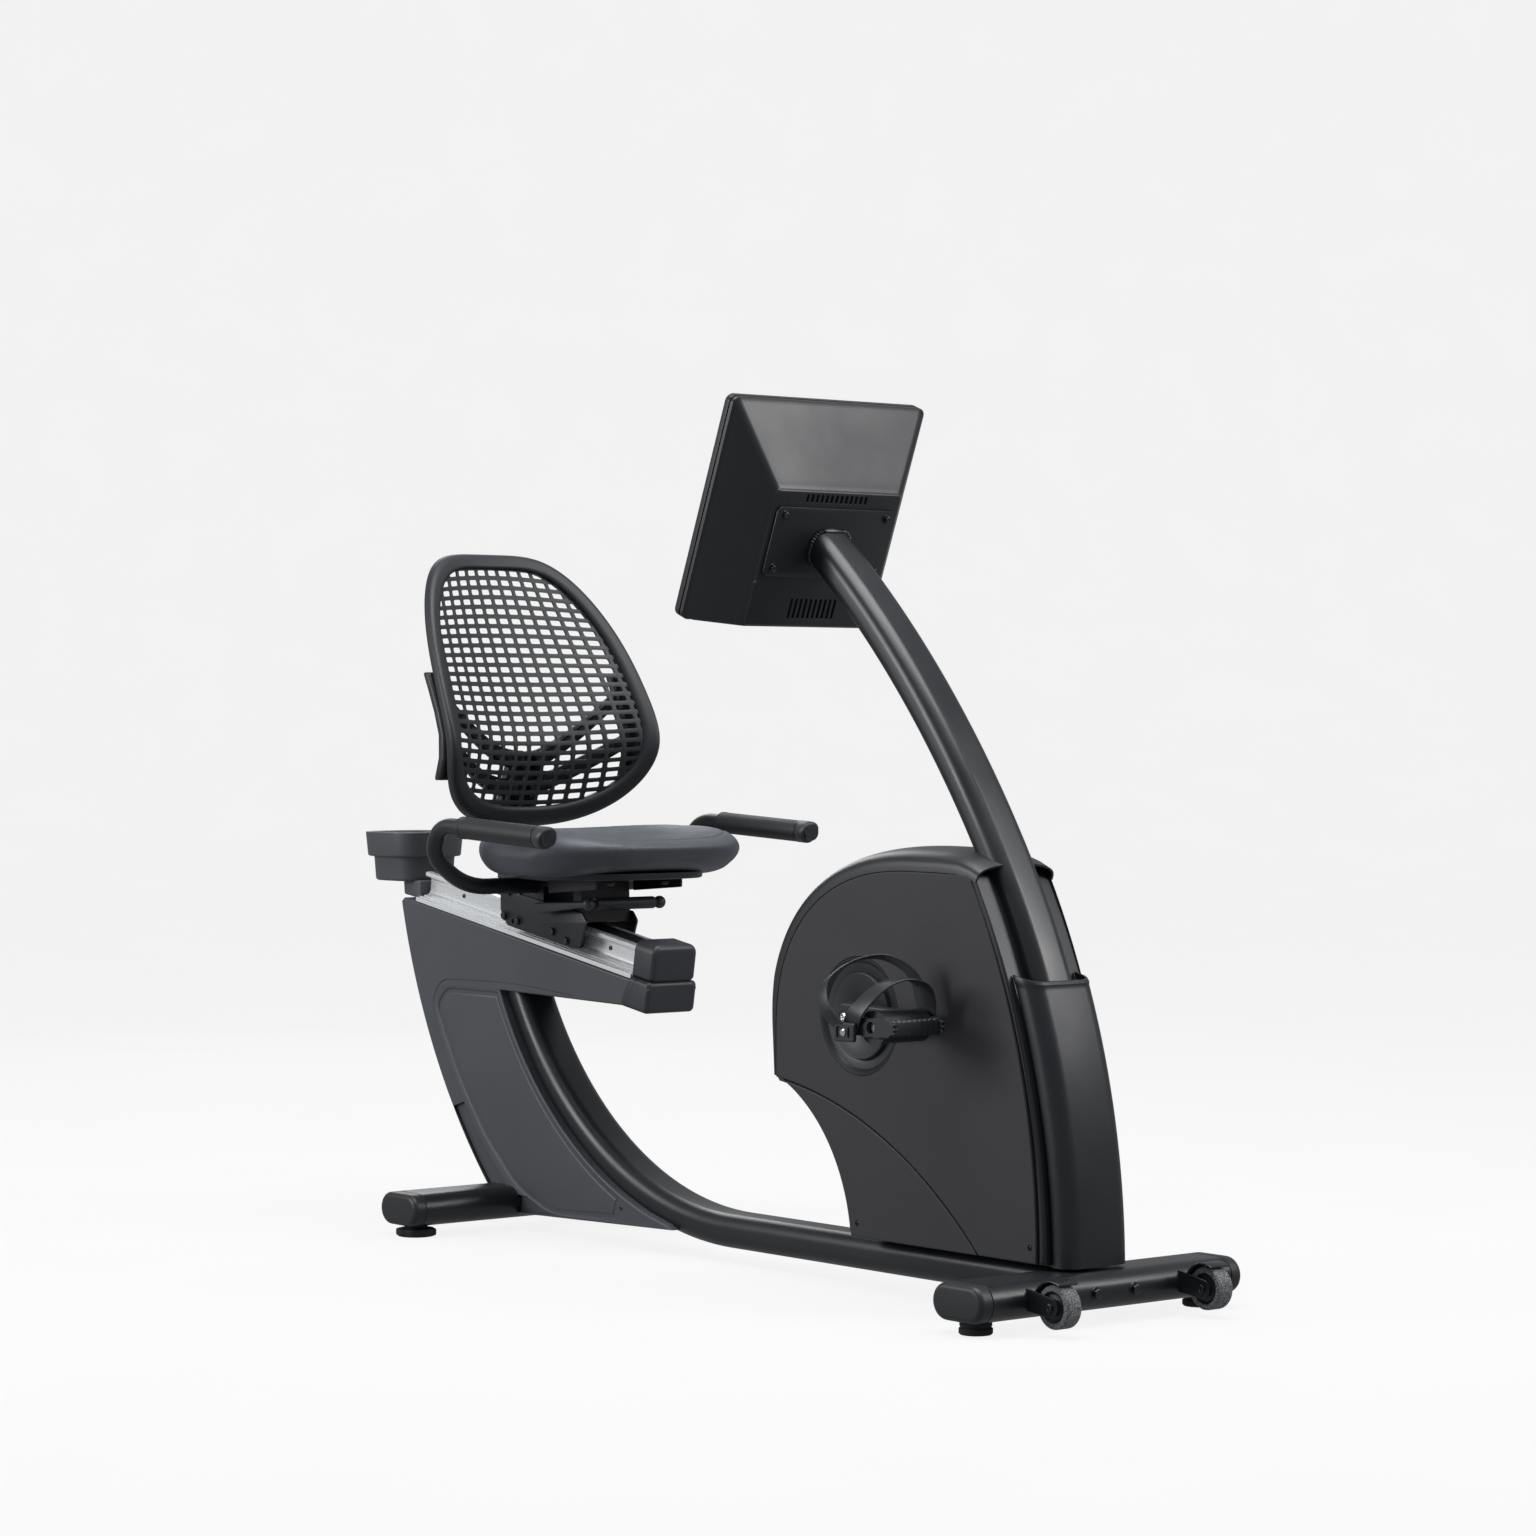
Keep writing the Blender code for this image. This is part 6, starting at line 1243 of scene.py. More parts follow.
plate_corners = [on_rail(*spot) for spot in ((0.017, 0.015), (0.196, 0.015), (0.212, 0.028), (0.219, 0.062),
    (0.205, 0.074),
                                             (0.04, 0.069), (0.036, 0.0855), (-0.014, 0.0855),
                                                 (-0.004, 0.034))]
plate_outline = chamfer_round(plate_corners, [0.004, 0.004, 0.003, 0.004, 0.003, 0.003, 0.003, 0.004,
    0.006], 5)
plate_bolts = ((-1.138, 0.472), (-1.102, 0.459), (-1.265, 0.492), (-1.23, 0.485), (-1.252, 0.53))
for side, hand in SIDES:
    place = dict(origin=(0, 0, 0), across=X_AXIS, up=Z_AXIS, out=side * Y_AXIS)
    face = PLATE_Y + PLATE_THICK
    edge = [(0.0006, PLATE_Y), (0, PLATE_Y + 0.0006), (0, face - 0.0008), (0.0003, face - 0.0002),
            (0.001, face)]
    plate = moved(panel(plate_outline, edge), **place)
    bolts = [hex_bolt((x, side * (face - 0.0003), z), side * Y_AXIS, 0.0056, 0.0042, 0.0012)
             for x, z in plate_bolts]
    axles = []
    for place_name, along in (("rear", 0.032), ("front", 0.175)):
        x, z = on_rail(along, ROLLER_HEIGHT)
        inner = RAIL_WEB + 0.006
        axles.append(turned([(0, inner - 0.001), (0.0039, inner - 0.001), (0.0039, face), (0, face)],
            (x, 0, z), side * Y_AXIS, 24))
        tyre = chamfer_round([(0.0046, inner), (ROLLER_R, inner), (ROLLER_R, inner + ROLLER_WIDTH),
            (0.0046, inner + ROLLER_WIDTH)], [0.0004, 0.002, 0.002, 0.0004], 3)
        name = f"{place_name}_roller_{hand}"
        put(f"{place_name}_rail_roller_{hand}", turned(tyre, (x, 0, z), side * Y_AXIS, 48, closed=True),
            black_nylon, name, [name])
    put("carriage_side_" + hand, joined(plate, *axles), black_powder_coat, "seat_carriage",
        ["carriage_plate_" + hand])
    put("carriage_bolts_" + hand, joined(*bolts), black_oxide, "seat_carriage")


def bracket_box():
    """The seat's box from the side: a foot between the plates, the handlebar's cradle and an open middle."""
    low, high = 0.0575, SEAT_PAN_Z - GAP
    rear_foot, front_foot = on_rail(0.018, low), on_rail(0.205, low)
    body = chamfer_round([rear_foot, front_foot, (front_foot[0] - 0.004, high), (-1.262, high),
        (-1.262, rear_foot[1])], 0.0025, 4)
    half = PLATE_Y - 0.0004
    edge = [(0.001, -half), (0, -half + 0.001), (0, half - 0.001), (0.001, half)]
    saddle = arc(HANDLE_CROSS_X, HANDLE_CROSS_Z, HANDLE_R + 0.0008, 0, 2 * pi, 40)[:-1]
    window = chamfer_round([(-1.168, 0.5), (-1.09, 0.489), (-1.09, 0.54), (-1.168, 0.54)], 0.004, 4)
    return moved(panel(body, edge, holes=[(saddle, [(0, half), (0, -half)], True),
        (window, [(0, half), (0, -half)], True)]))


def seat_flange():
    """A plate on top of the box, and two ribs outside the lever that stiffen the seat pan."""
    plate = moved(panel(chamfer_round([(-1.262, -0.07), (-1.08, -0.084), (-1.05, -0.07), (-1.05, 0.07),
        (-1.08, 0.084), (-1.262, 0.07)], 0.008, 6),
                        [(0.001, 0), (0, 0.001), (0, 0.003), (0.001, 0.004)]), (0, 0, SEAT_PAN_Z - 0.0046),
                        X_AXIS, Y_AXIS, Z_AXIS)
    ribs = []
    for y in (-0.083, 0.08):
        rib = panel(chamfer_round([(-1.105, 0.533), (-0.985, 0.542), (-0.985, 0.5558), (-1.105, 0.5558)],
            0.003, 4), [(0, 0), (0, 0.003)])
        ribs.append(moved(rib, (0, y, 0)))
    return joined(plate, *ribs)


put("seat_box", bracket_box(), black_powder_coat, "seat_carriage", ["seat_bracket"])
put("seat_flange_plate", seat_flange(), black_powder_coat, "seat_carriage")


# ---- handlebar and grips ------------------------------------------------------------------------
# One steel tube passes under the seat, turns up at each side and runs forward to the grips. The grips are
# ribbed rubber sleeves with a band at the rear and a slanted end plug.
GRIP_REAR_X, GRIP_FRONT_X, GRIP_REAR_Z, GRIP_FRONT_Z = -1.095, -0.868, 0.636, 0.6245


def handle_height(x):
    """The height of the straight line through both ends of a grip, at a place along X."""
    return GRIP_REAR_Z + (GRIP_FRONT_Z - GRIP_REAR_Z) * (x - GRIP_REAR_X) / (GRIP_FRONT_X - GRIP_REAR_X)


def pipe(path, radius, sides=28):
    """A round tube along a path. Each ring's first spoke is the one before it, turned as little as can be."""
    path = np.asarray(path, float)
    ahead = np.gradient(path, axis=0)
    ahead /= np.linalg.norm(ahead, axis=1, keepdims=True)
    spoke = np.cross(ahead[0], X_AXIS if abs(ahead[0][0]) < 0.7 else Z_AXIS)
    spokes = []
    for direction in ahead:
        spoke = spoke - direction * (spoke @ direction)
        spoke = spoke / np.linalg.norm(spoke)
        spokes.append(spoke)
    spokes = np.array(spokes)
    others = np.cross(ahead, spokes)
    turn = np.linspace(0, 2 * pi, sides, endpoint=False)[None, :, None]
    radius = np.broadcast_to(np.asarray(radius, float), (len(path),))[:, None, None]
    return skin(path[:, None] + radius * (np.cos(turn) * spokes[:, None] + np.sin(turn) * others[:, None]))


bar_end = GRIP_FRONT_X - 0.006
half_bar = [(bar_end, -HANDLE_Y, handle_height(bar_end)), (-1.154, -HANDLE_Y, handle_height(-1.154)),
            (-1.182, -HANDLE_Y + 0.003, 0.592),
            (HANDLE_CROSS_X, -HANDLE_Y + 0.07, HANDLE_CROSS_Z)]
corners = half_bar + [(x, -y, z) for x, y, z in half_bar[::-1]]
bar_path = chamfer_round(corners, [0, 0.034, 0.032, 0.042, 0.042, 0.032, 0.034, 0], 14, closed=False)
spaced = np.concatenate([[0], np.cumsum(np.linalg.norm(np.diff(bar_path, axis=0), axis=1))])
even = np.linspace(0, spaced[-1], 260)
bar_path = np.column_stack([np.interp(even, spaced, bar_path[:, k]) for k in range(3)])
# The same satin coat as the frame, a shade lighter.
bar_satin = powder_coat("satin_black_tube_coat", "#1b1d20", 0.34)
put("handlebar_tube", pipe(bar_path, HANDLE_R, 32), bar_satin, "seat_carriage",
    ["handlebar"])
# Soft grip rubber: black, with a leathery mould grain.
grip_rubber = moulded("grip_rubber_black", "#1e2023", 0.5, grain=330.0, depth=0.2)
for side, hand in SIDES:
    start = np.array([GRIP_REAR_X, side * HANDLE_Y, GRIP_REAR_Z])
    end = np.array([GRIP_FRONT_X, side * HANDLE_Y, GRIP_FRONT_Z])
    length = float(np.linalg.norm(end - start))
    ahead = (end - start) / length
    sleeve = [(0.0128, 0.0005), (0.0156, 0.0005), (0.017, 0.0018), (0.017, 0.0085), (0.0163, 0.0095),
              (0.0163, 0.0105)]
    sleeve += [(0.0163 + 0.0003 * sin(k * pi / 2) ** 2, 0.011 + k * 0.0022) for k in range(82)]
    sleeve += [(0.0163, length - 0.036), (0.0163, length - 0.03), (0.0128, length - 0.03)]
    put("grip_sleeve_" + hand, turned(sleeve, start, ahead, 48, closed=True), grip_rubber, "seat_carriage",
        ["grip_" + hand])
    plug = turned([(0, 0), (0.0163, 0.0), (0.017, 0.0012), (0.017, 0.0175), (0.0168, 0.021),
                   (0.0156, 0.025), (0.0132, 0.0276), (0.009, 0.029), (0, 0.0294)],
                  start + ahead * (length - 0.0296), ahead, 48)
    reach = (plug[0] - start) @ ahead - (length - 0.0296)
    lean = np.clip((plug[0][:, 2] - (start + ahead * length)[2]) / 0.017, -1, 1)
    slanted = plug[0] - ahead * (np.clip(reach / 0.0294, 0, 1) ** 2 * 0.0085 * (1 - lean))[:, None]
    put("grip_plug_" + hand, (slanted, plug[1]), cap_abs, "seat_carriage")
    bands = [turned([(0.016, a), (0.017, a + 0.0004), (0.017, a + 0.003), (0.016, a + 0.0034)], start,
                    ahead, 48, closed=True) for a in (length - 0.0345,)]
    put("grip_band_" + hand, joined(*bands), black_oxide, "seat_carriage")


# ---- release lever ------------------------------------------------------------------------------
# Lifting a bent steel bar in front of the seat lets the carriage slide. It pivots on the plates, and a
# thick vinyl sleeve covers the part that is held.
LEVER_R, LEVER_Y, LEVER_PIVOT_X, LEVER_PIVOT_Z = 0.006, 0.068, -1.15, 0.508
LEVER_BAR_X, LEVER_BAR_Z = -1.023, 0.518
inner_y = PLATE_Y + PLATE_THICK + 0.0008
corners = [(LEVER_PIVOT_X, -inner_y, LEVER_PIVOT_Z), (LEVER_PIVOT_X, -LEVER_Y, LEVER_PIVOT_Z),
           (LEVER_BAR_X, -LEVER_Y, LEVER_BAR_Z)]
corners += [(x, -y, z) for x, y, z in corners[::-1]]
lever_path = chamfer_round(corners, [0, 0.012, 0.014, 0.014, 0.012, 0], 10, closed=False)
put("lever_bar", pipe(lever_path, LEVER_R, 24), bar_satin, "release_lever",
    ["release_lever"])
middle = np.array([LEVER_BAR_X, 0, LEVER_BAR_Z])
sleeve = [(0.0061, -0.056), (0.0088, -0.056), (0.0094, -0.0545), (0.0094, 0.0545), (0.0088, 0.056),
          (0.0061, 0.056)]
def lever_arm(side):
    """A flat arm whose height tapers from 17 mm at the pivot to 9 mm at the bar."""
    pivot, tip = np.array([LEVER_PIVOT_X, 0, LEVER_PIVOT_Z]), np.array([LEVER_BAR_X, 0, LEVER_BAR_Z])
    ahead = (tip - pivot) / np.linalg.norm(tip - pivot)
    above = np.cross(ahead, Y_AXIS)
    rings = []
    for t, height in ((-0.06, 0.01), (-0.03, 0.0155), (0.02, 0.017), (0.5, 0.013), (0.96, 0.009)):
        section = rounded_box(0.013, height, 0.003, 4)
        rings.append(pivot + (tip - pivot) * t + side * LEVER_Y * Y_AXIS + section[:, :1] * Y_AXIS
                     + section[:, 1:] * above)
    return skin(rings)


knob_profile = [(0.0098 * sin(a), -0.0098 * cos(a)) for a in np.linspace(0, pi, 17)]
knobs = [turned(knob_profile, (LEVER_BAR_X, side * LEVER_Y, LEVER_BAR_Z), Y_AXIS, 32) for side in (-1, 1)]
put("lever_arms", joined(lever_arm(-1), lever_arm(1), *knobs), cap_abs, "release_lever")
put("lever_sleeve", turned(sleeve, middle, Y_AXIS, 36, closed=True), grip_rubber, "release_lever")


# ---- seat ---------------------------------------------------------------------------------------
# A moulded pan with a turned-up rim carries a thick foam cushion in a soft vinyl skin: a fat roll at the
# sides, fine ribs that run front to back on top, and a front edge that droops under the thighs.
SEAT_X, SEAT_HALF_DEPTH, SEAT_HALF_WIDTH, SEAT_ROUND = -1.06, 0.165, 0.19, 3.0
SEAT_PAN_THICK, CUSHION_THICK = 0.012, 0.07
CUSHION_Z = SEAT_PAN_Z + SEAT_PAN_THICK + GAP


def seat_rings(levels, steps=128):
    """Superellipse rings for (height, shrink) levels."""
    rings = []
    for z, shrink in levels:
        outline = superellipse(SEAT_HALF_DEPTH - shrink, SEAT_HALF_WIDTH - shrink, SEAT_ROUND, steps)
        rings.append(np.column_stack([SEAT_X + outline[:, 0], outline[:, 1], np.full(steps, z)]))
    return rings


pan_levels = [(SEAT_PAN_Z, 0.1), (SEAT_PAN_Z, 0.056), (SEAT_PAN_Z + 0.0012, 0.0535),
              (SEAT_PAN_Z + 0.003, 0.0525), (SEAT_PAN_Z + 0.01, 0.0525)]
put("seat_pan_moulding", skin(seat_rings(pan_levels)), black_nylon, "seat_carriage",
    ["seat_pan"])
pan_bolts = [hex_bolt((x, y, SEAT_PAN_Z - 0.0044), -Z_AXIS, 0.0055, 0.004, 0.0012) for x in (-1.235, -0.99)
             for y in (-0.052, 0.052)]
put("seat_pan_bolts", joined(*pan_bolts), black_oxide, "seat_carriage")


def cushion_form():
    """Rings from the seam up over the side roll to the middle of the top. Ahead of the seat's middle the
    top sinks by 15 mm times t squared and the underside rises by 24 mm times t squared, t running to 1."""
    levels = [(-0.0085, 0.09), (-0.0085, 0.046), (-0.007, 0.034), (-0.0035, 0.0225), (0.0035, 0.012),
              (0.012, 0.005), (0.021, 0.001), (0.029, 0.0), (0.037, 0.0004), (0.046, 0.003),
              (0.055, 0.0085), (0.0618, 0.0165), (0.0662, 0.027), (0.0684, 0.04), (0.069, 0.06),
              (0.069, 0.09), (0.069, 0.125)]
    rings = np.array(seat_rings([(CUSHION_Z + z, shrink) for z, shrink in levels]))
    lift = (rings[..., 2] - CUSHION_Z) / CUSHION_THICK
    forward = np.clip((rings[..., 0] - SEAT_X - 0.03) / (SEAT_HALF_DEPTH - 0.03), 0, 1) ** 2
    across = rings[..., 1] / SEAT_HALF_WIDTH
    hollow = 0.009 * np.clip(1 - across ** 2, 0, 1) * np.clip((lift - 0.5) * 2, 0, 1)
    rings[..., 2] += forward * (0.024 * (1 - lift) - 0.015 * lift) - hollow
    return skin(list(rings))


def stuffed(shape, cell, limit):
    """The form remeshed into even cells and blown up as cloth for twenty frames, with its underside held.
    No point may move further than the limit, and the result is relaxed a little and subdivided once."""
    mesh = bpy.data.meshes.new("stuffing")
    mesh.from_pydata(np.asarray(shape[0]).tolist(), [], [tuple(face) for face in shape[1]])
    body = bpy.data.objects.new("stuffing", mesh)
    bpy.context.scene.collection.objects.link(body)
    remesh = body.modifiers.new("remesh", 'REMESH')
    remesh.mode, remesh.voxel_size = 'VOXEL', cell
    even = bpy.data.meshes.new_from_object(body.evaluated_get(bpy.context.evaluated_depsgraph_get()))
    body.modifiers.clear()
    body.data = even
    rest = np.empty(len(even.vertices) * 3)
    even.vertices.foreach_get("co", rest)
    rest = rest.reshape(-1, 3)
    swollen = rest
    held = body.vertex_groups.new(name="held")
    held.add(np.flatnonzero(rest[:, 2] < CUSHION_Z + 0.004).tolist(), 1.0, 'REPLACE')
    cloth = body.modifiers.new("cloth", 'CLOTH')
    cloth.settings.use_pressure, cloth.settings.uniform_pressure_force = True, 4.0
    cloth.settings.vertex_group_mass = "held"
    cloth.settings.effector_weights.gravity = 0.0
    cloth.settings.tension_stiffness = cloth.settings.compression_stiffness = 30
    cloth.settings.bending_stiffness = 4
    for number in range(1, 21):
        bpy.context.scene.frame_set(number)
    result = body.evaluated_get(bpy.context.evaluated_depsgraph_get()).to_mesh()
    swollen = np.empty(len(result.vertices) * 3)
    result.vertices.foreach_get("co", swollen)
    move = swollen.reshape(-1, 3) - rest
    far = np.maximum(np.linalg.norm(move, axis=1, keepdims=True), 1e-9)
    swollen = rest + move * np.minimum(1, limit / far)
    bpy.context.scene.frame_set(1)
    body.modifiers.clear()
    even.vertices.foreach_set("co", swollen.ravel())
    even.update()
    relax = body.modifiers.new("relax", 'SMOOTH')
    relax.factor, relax.iterations = 0.5, 6
    finer = body.modifiers.new("finer", 'SUBSURF')
    finer.levels = finer.render_levels = 1
    smooth = bpy.data.meshes.new_from_object(body.evaluated_get(bpy.context.evaluated_depsgraph_get()))
    points = np.empty(len(smooth.vertices) * 3)
    smooth.vertices.foreach_get("co", points)
    normals = np.empty(len(smooth.vertices) * 3)
    smooth.vertices.foreach_get("normal", normals)
    faces = [tuple(polygon.vertices) for polygon in smooth.polygons]
    bpy.data.objects.remove(body, do_unlink=True)
    return points.reshape(-1, 3), normals.reshape(-1, 3), faces


def cushion():
    """The stuffed form with lengthwise grooves in its top, 1.2 mm deep times the eighth power of a cosine
    across the seat and faded out towards the edge, and one groove of 1.6 mm round them."""
    points, normals, faces = stuffed(cushion_form(), 0.005, 0.0014)
    outward = (points[:, 0] - SEAT_X) / SEAT_HALF_DEPTH, points[:, 1] / SEAT_HALF_WIDTH
    reach = (np.abs(outward[0]) ** SEAT_ROUND + np.abs(outward[1]) ** SEAT_ROUND) ** (1 / SEAT_ROUND)
    on_top = np.clip((normals[:, 2] - 0.75) / 0.2, 0, 1) * np.clip((0.86 - reach) / 0.05, 0, 1)
    groove = np.cos(pi * points[:, 1] / 0.0125) ** 8
    border = np.exp(-((reach - 0.875) / 0.01) ** 2) * np.clip((normals[:, 2] - 0.5) / 0.3, 0, 1)
    sink = 0.0012 * groove * on_top + 0.0016 * border
    points = points - normals * sink[:, None]
    points[:, 2] = np.minimum(points[:, 2], CUSHION_Z + CUSHION_THICK)
    return points, faces


# Soft vinyl: a fine leather grain of rounded cells under a slow change in gloss where it is handled.
seat_vinyl, shader, place = new_material("cushion_vinyl_charcoal", "#43474e", 0.4)
grain = add_node(seat_vinyl, "TexVoronoi", [(place, "Vector")], Scale=620.0, feature='SMOOTH_F1')
pores = add_node(seat_vinyl, "TexNoise", [(place, "Vector")], Scale=1900.0, Detail=2.0)
height = add_node(seat_vinyl, "Math", [(pores.outputs["Fac"], 0), (grain.outputs["Distance"], 1)],
                  operation='ADD')
relief = add_node(seat_vinyl, "Bump", [(height.outputs[0], "Height")], Strength=0.35, Distance=0.0003)
# Fine cords run lengthwise over the top only, one every 6 mm.
cords = add_node(seat_vinyl, "TexWave", [(place, "Vector")], bands_direction='Y', Scale=50.0)
surface = add_node(seat_vinyl, "NewGeometry")
facing = add_node(seat_vinyl, "SeparateXYZ", [(surface.outputs["Normal"], "Vector")])
upward = add_node(seat_vinyl, "MapRange", [(facing.outputs["Z"], "Value")], From_Min=0.8, From_Max=0.95,
                  To_Max=0.5)
corded = add_node(seat_vinyl, "Bump", [(cords.outputs["Fac"], "Height"),
    (upward.outputs["Result"], "Strength"),
                                                 (relief.outputs["Normal"], "Normal")], Distance=0.0006)
wire(seat_vinyl, corded.outputs["Normal"], shader.inputs["Normal"])
wear = add_node(seat_vinyl, "TexNoise", [(place, "Vector")], Scale=14.0, Detail=4.0)
gloss = add_node(seat_vinyl, "MapRange", [(wear.outputs["Fac"], "Value")], To_Min=0.4, To_Max=0.56)
wire(seat_vinyl, gloss.outputs["Result"], shader.inputs["Roughness"])
seat_top = put("seat_cushion_foam", cushion(), seat_vinyl, "seat_carriage",
               ["seat_cushion"], crease=80)


# ---- backrest -----------------------------------------------------------------------------------
# One nylon moulding: a thick rounded hoop round an open lattice. The lattice's slots stand in columns that
# draw together towards the top and rows that sag at the bottom and arch at the top.
BACK_X, BACK_WAIST_Z, BACK_SWEEP, BACK_SOFT, BACK_HOLLOW = -1.187, 0.757, 0.54, 0.04, 0.045
BACK_HALF_WIDTH, BACK_RIM, BACK_DEPTH, BACK_SKIN = 0.201, 0.024, 0.026, 0.005
BACK_MIDDLE, BACK_HALF_Z, BACK_POWER_Z = 0.846, 0.216, 3.0
LATTICE_ROWS, LATTICE_COLUMNS = 29, 15


def back_x(y, z):
    """The front of the backrest: a soft bend at the waist, sqrt(dz^2 + s^2) - s, and a hollow across."""
    bend = np.sqrt((z - BACK_WAIST_Z) ** 2 + BACK_SOFT ** 2) - BACK_SOFT
    return BACK_X - BACK_SWEEP * bend - BACK_HOLLOW * (1 - (y / BACK_HALF_WIDTH) ** 2)


def back_power(share):
    """The outline's superellipse power across: it is rounder at the bottom and squarer at the top."""
    return 2.6 + 0.9 * (1 + share)


def back_taper(share):
    """How the outline's width changes from the bottom, share -1, to the top, share 1."""
    return 1 - 0.135 * share - 0.1 * share ** 2


def back_ring(shrink, depth, steps=176):
    """A ring set in from the hoop's outline and behind the front surface."""
    turn = np.linspace(0, 2 * pi, steps, endpoint=False)
    c, s = np.cos(turn), np.sin(turn)
    z_share = np.sign(s) * np.abs(s) ** (2 / BACK_POWER_Z)
    y = (np.sign(c) * np.abs(c) ** (2 / back_power(z_share)) * back_taper(z_share)
         * (BACK_HALF_WIDTH - shrink) * 0.985)
    z = BACK_MIDDLE + z_share * (BACK_HALF_Z - shrink)
    return np.column_stack([back_x(y, z) - depth, y, z])


def back_hoop():
    """A rounded section carried round the outline; it grows inwards by 8 mm towards the bottom."""
    section = rounded_box(1.0, 1.0, 0.36, 6) + 0.5
    rings = []
    for across, deep in section:
        ring = back_ring(across * BACK_RIM, deep * BACK_DEPTH)
        lower = np.clip((0.745 - ring[:, 2]) / 0.11, 0, 1) ** 1.3
        towards = BACK_MIDDLE - ring[:, 2]
        ring[:, 2] += lower * across * 0.01 * np.sign(towards)
        ring[:, 0] = back_x(ring[:, 1], ring[:, 2]) - deep * BACK_DEPTH
        rings.append(ring)
    return skin(rings, closed=True)


def lattice_point(u, v):
    """(y, z) of a place in the lattice: u across and v up, both -1 to 1. The width is u times a half width
    that shrinks upwards; a row's ends drop by 16 mm at the top and rise by 20 mm at the bottom. Anything
    outside the hoop's middle line is drawn back to it."""
    z_share = v * 1.04
    half = (BACK_HALF_WIDTH - 0.008) * (1 - 0.16 * z_share - 0.09 * z_share ** 2)
    y = u * half
    z = BACK_MIDDLE + z_share * BACK_HALF_Z + u ** 2 * (0.002 - 0.018 * v)
    inner_z = (z - BACK_MIDDLE) / (BACK_HALF_Z - 0.012)
    share = np.clip(inner_z, -1, 1)
    limit = (BACK_HALF_WIDTH - 0.012) * 0.985 * back_taper(share)
    reach = (np.abs(inner_z) ** BACK_POWER_Z + np.abs(y / limit) ** back_power(share)) ** (1 / 3)
    draw = np.minimum(1, 1 / np.maximum(reach, 1e-9))
    return y * draw, BACK_MIDDLE + (z - BACK_MIDDLE) * draw, reach


def lattice():
    """Every cell is a band between its square edge and a rounded slot, on the front and on the back, with
    the slot's wall between them."""
    run = np.array([-1, -0.72, -0.36, 0.36, 0.72])
    side = np.column_stack([run, np.full(5, -1.0)])
    edge = np.concatenate([side, side @ [(0, 1), (-1, 0)], -side, side @ [(0, -1), (1, 0)]])
    count = len(edge)
    round_off = (np.abs(edge[:, :1]) ** 7 + np.abs(edge[:, 1:]) ** 7) ** (-1 / 7)
    slot = edge * round_off * (0.78, 0.55)
    rows, columns = np.meshgrid(np.arange(LATTICE_ROWS), np.arange(LATTICE_COLUMNS), indexing='ij')
    middle_u = ((columns.ravel() + 0.5) / LATTICE_COLUMNS * 2 - 1)[:, None]
    middle_v = ((rows.ravel() + 0.5) / LATTICE_ROWS * 2 - 1)[:, None]
    layers = []
    for local in (edge, slot):
        layers.append(lattice_point(middle_u + local[:, 0] / LATTICE_COLUMNS,
                                    middle_v + local[:, 1] / LATTICE_ROWS))
    kept = layers[1][2].min(1) < 0.985
    stack = []
    for deep in (0.008, 0.008 + BACK_SKIN):
        for y, z, _ in layers:
            soften = 0.0 if y is layers[0][0] else 0.0006 * (1 if deep < 0.01 else -1)
            sag = (0.012 * np.clip(1 - (y / 0.175) ** 2, 0, 1)
                   * np.clip(1 - ((z - BACK_MIDDLE) / 0.19) ** 2, 0, 1))
            stack.append(np.stack([back_x(y, z) - deep - soften - sag, y, z], axis=-1)[kept])
    points = np.concatenate([layer.reshape(-1, 3) for layer in stack])
    cells = int(kept.sum())
    one = np.arange(count)
    quads = []
    for a, b in ((0, 1), (1, 3), (3, 2)):
        quads.append(np.column_stack([a * cells * count + one, a * cells * count + (one + 1) % count,
                                      b * cells * count + (one + 1) % count, b * cells * count + one]))
    quads = np.concatenate(quads)
    faces = (quads[None] + (np.arange(cells) * count)[:, None, None]).reshape(-1, 4)
    return points, faces.tolist()


# Unfilled nylon: black and flexible, less glossy than the caps.
back_nylon = moulded("satin_nylon_black", "#1f2125", 0.5)
put("backrest_hoop", back_hoop(), back_nylon, "seat_carriage", ["backrest"])
put("backrest_lattice", lattice(), back_nylon, "seat_carriage", ["backrest"], crease=50)


# ---- backrest support ---------------------------------------------------------------------------
# A nylon-covered steel spine rises behind the seat, and two arms reach from it up and out to blocks that
# the hoop is screwed to. The arms show through the lattice as a V.
SPINE_HALF, SPINE_THICK, SPINE_TOP_Z, SPINE_CLEAR = 0.032, 0.018, 0.745, 0.004


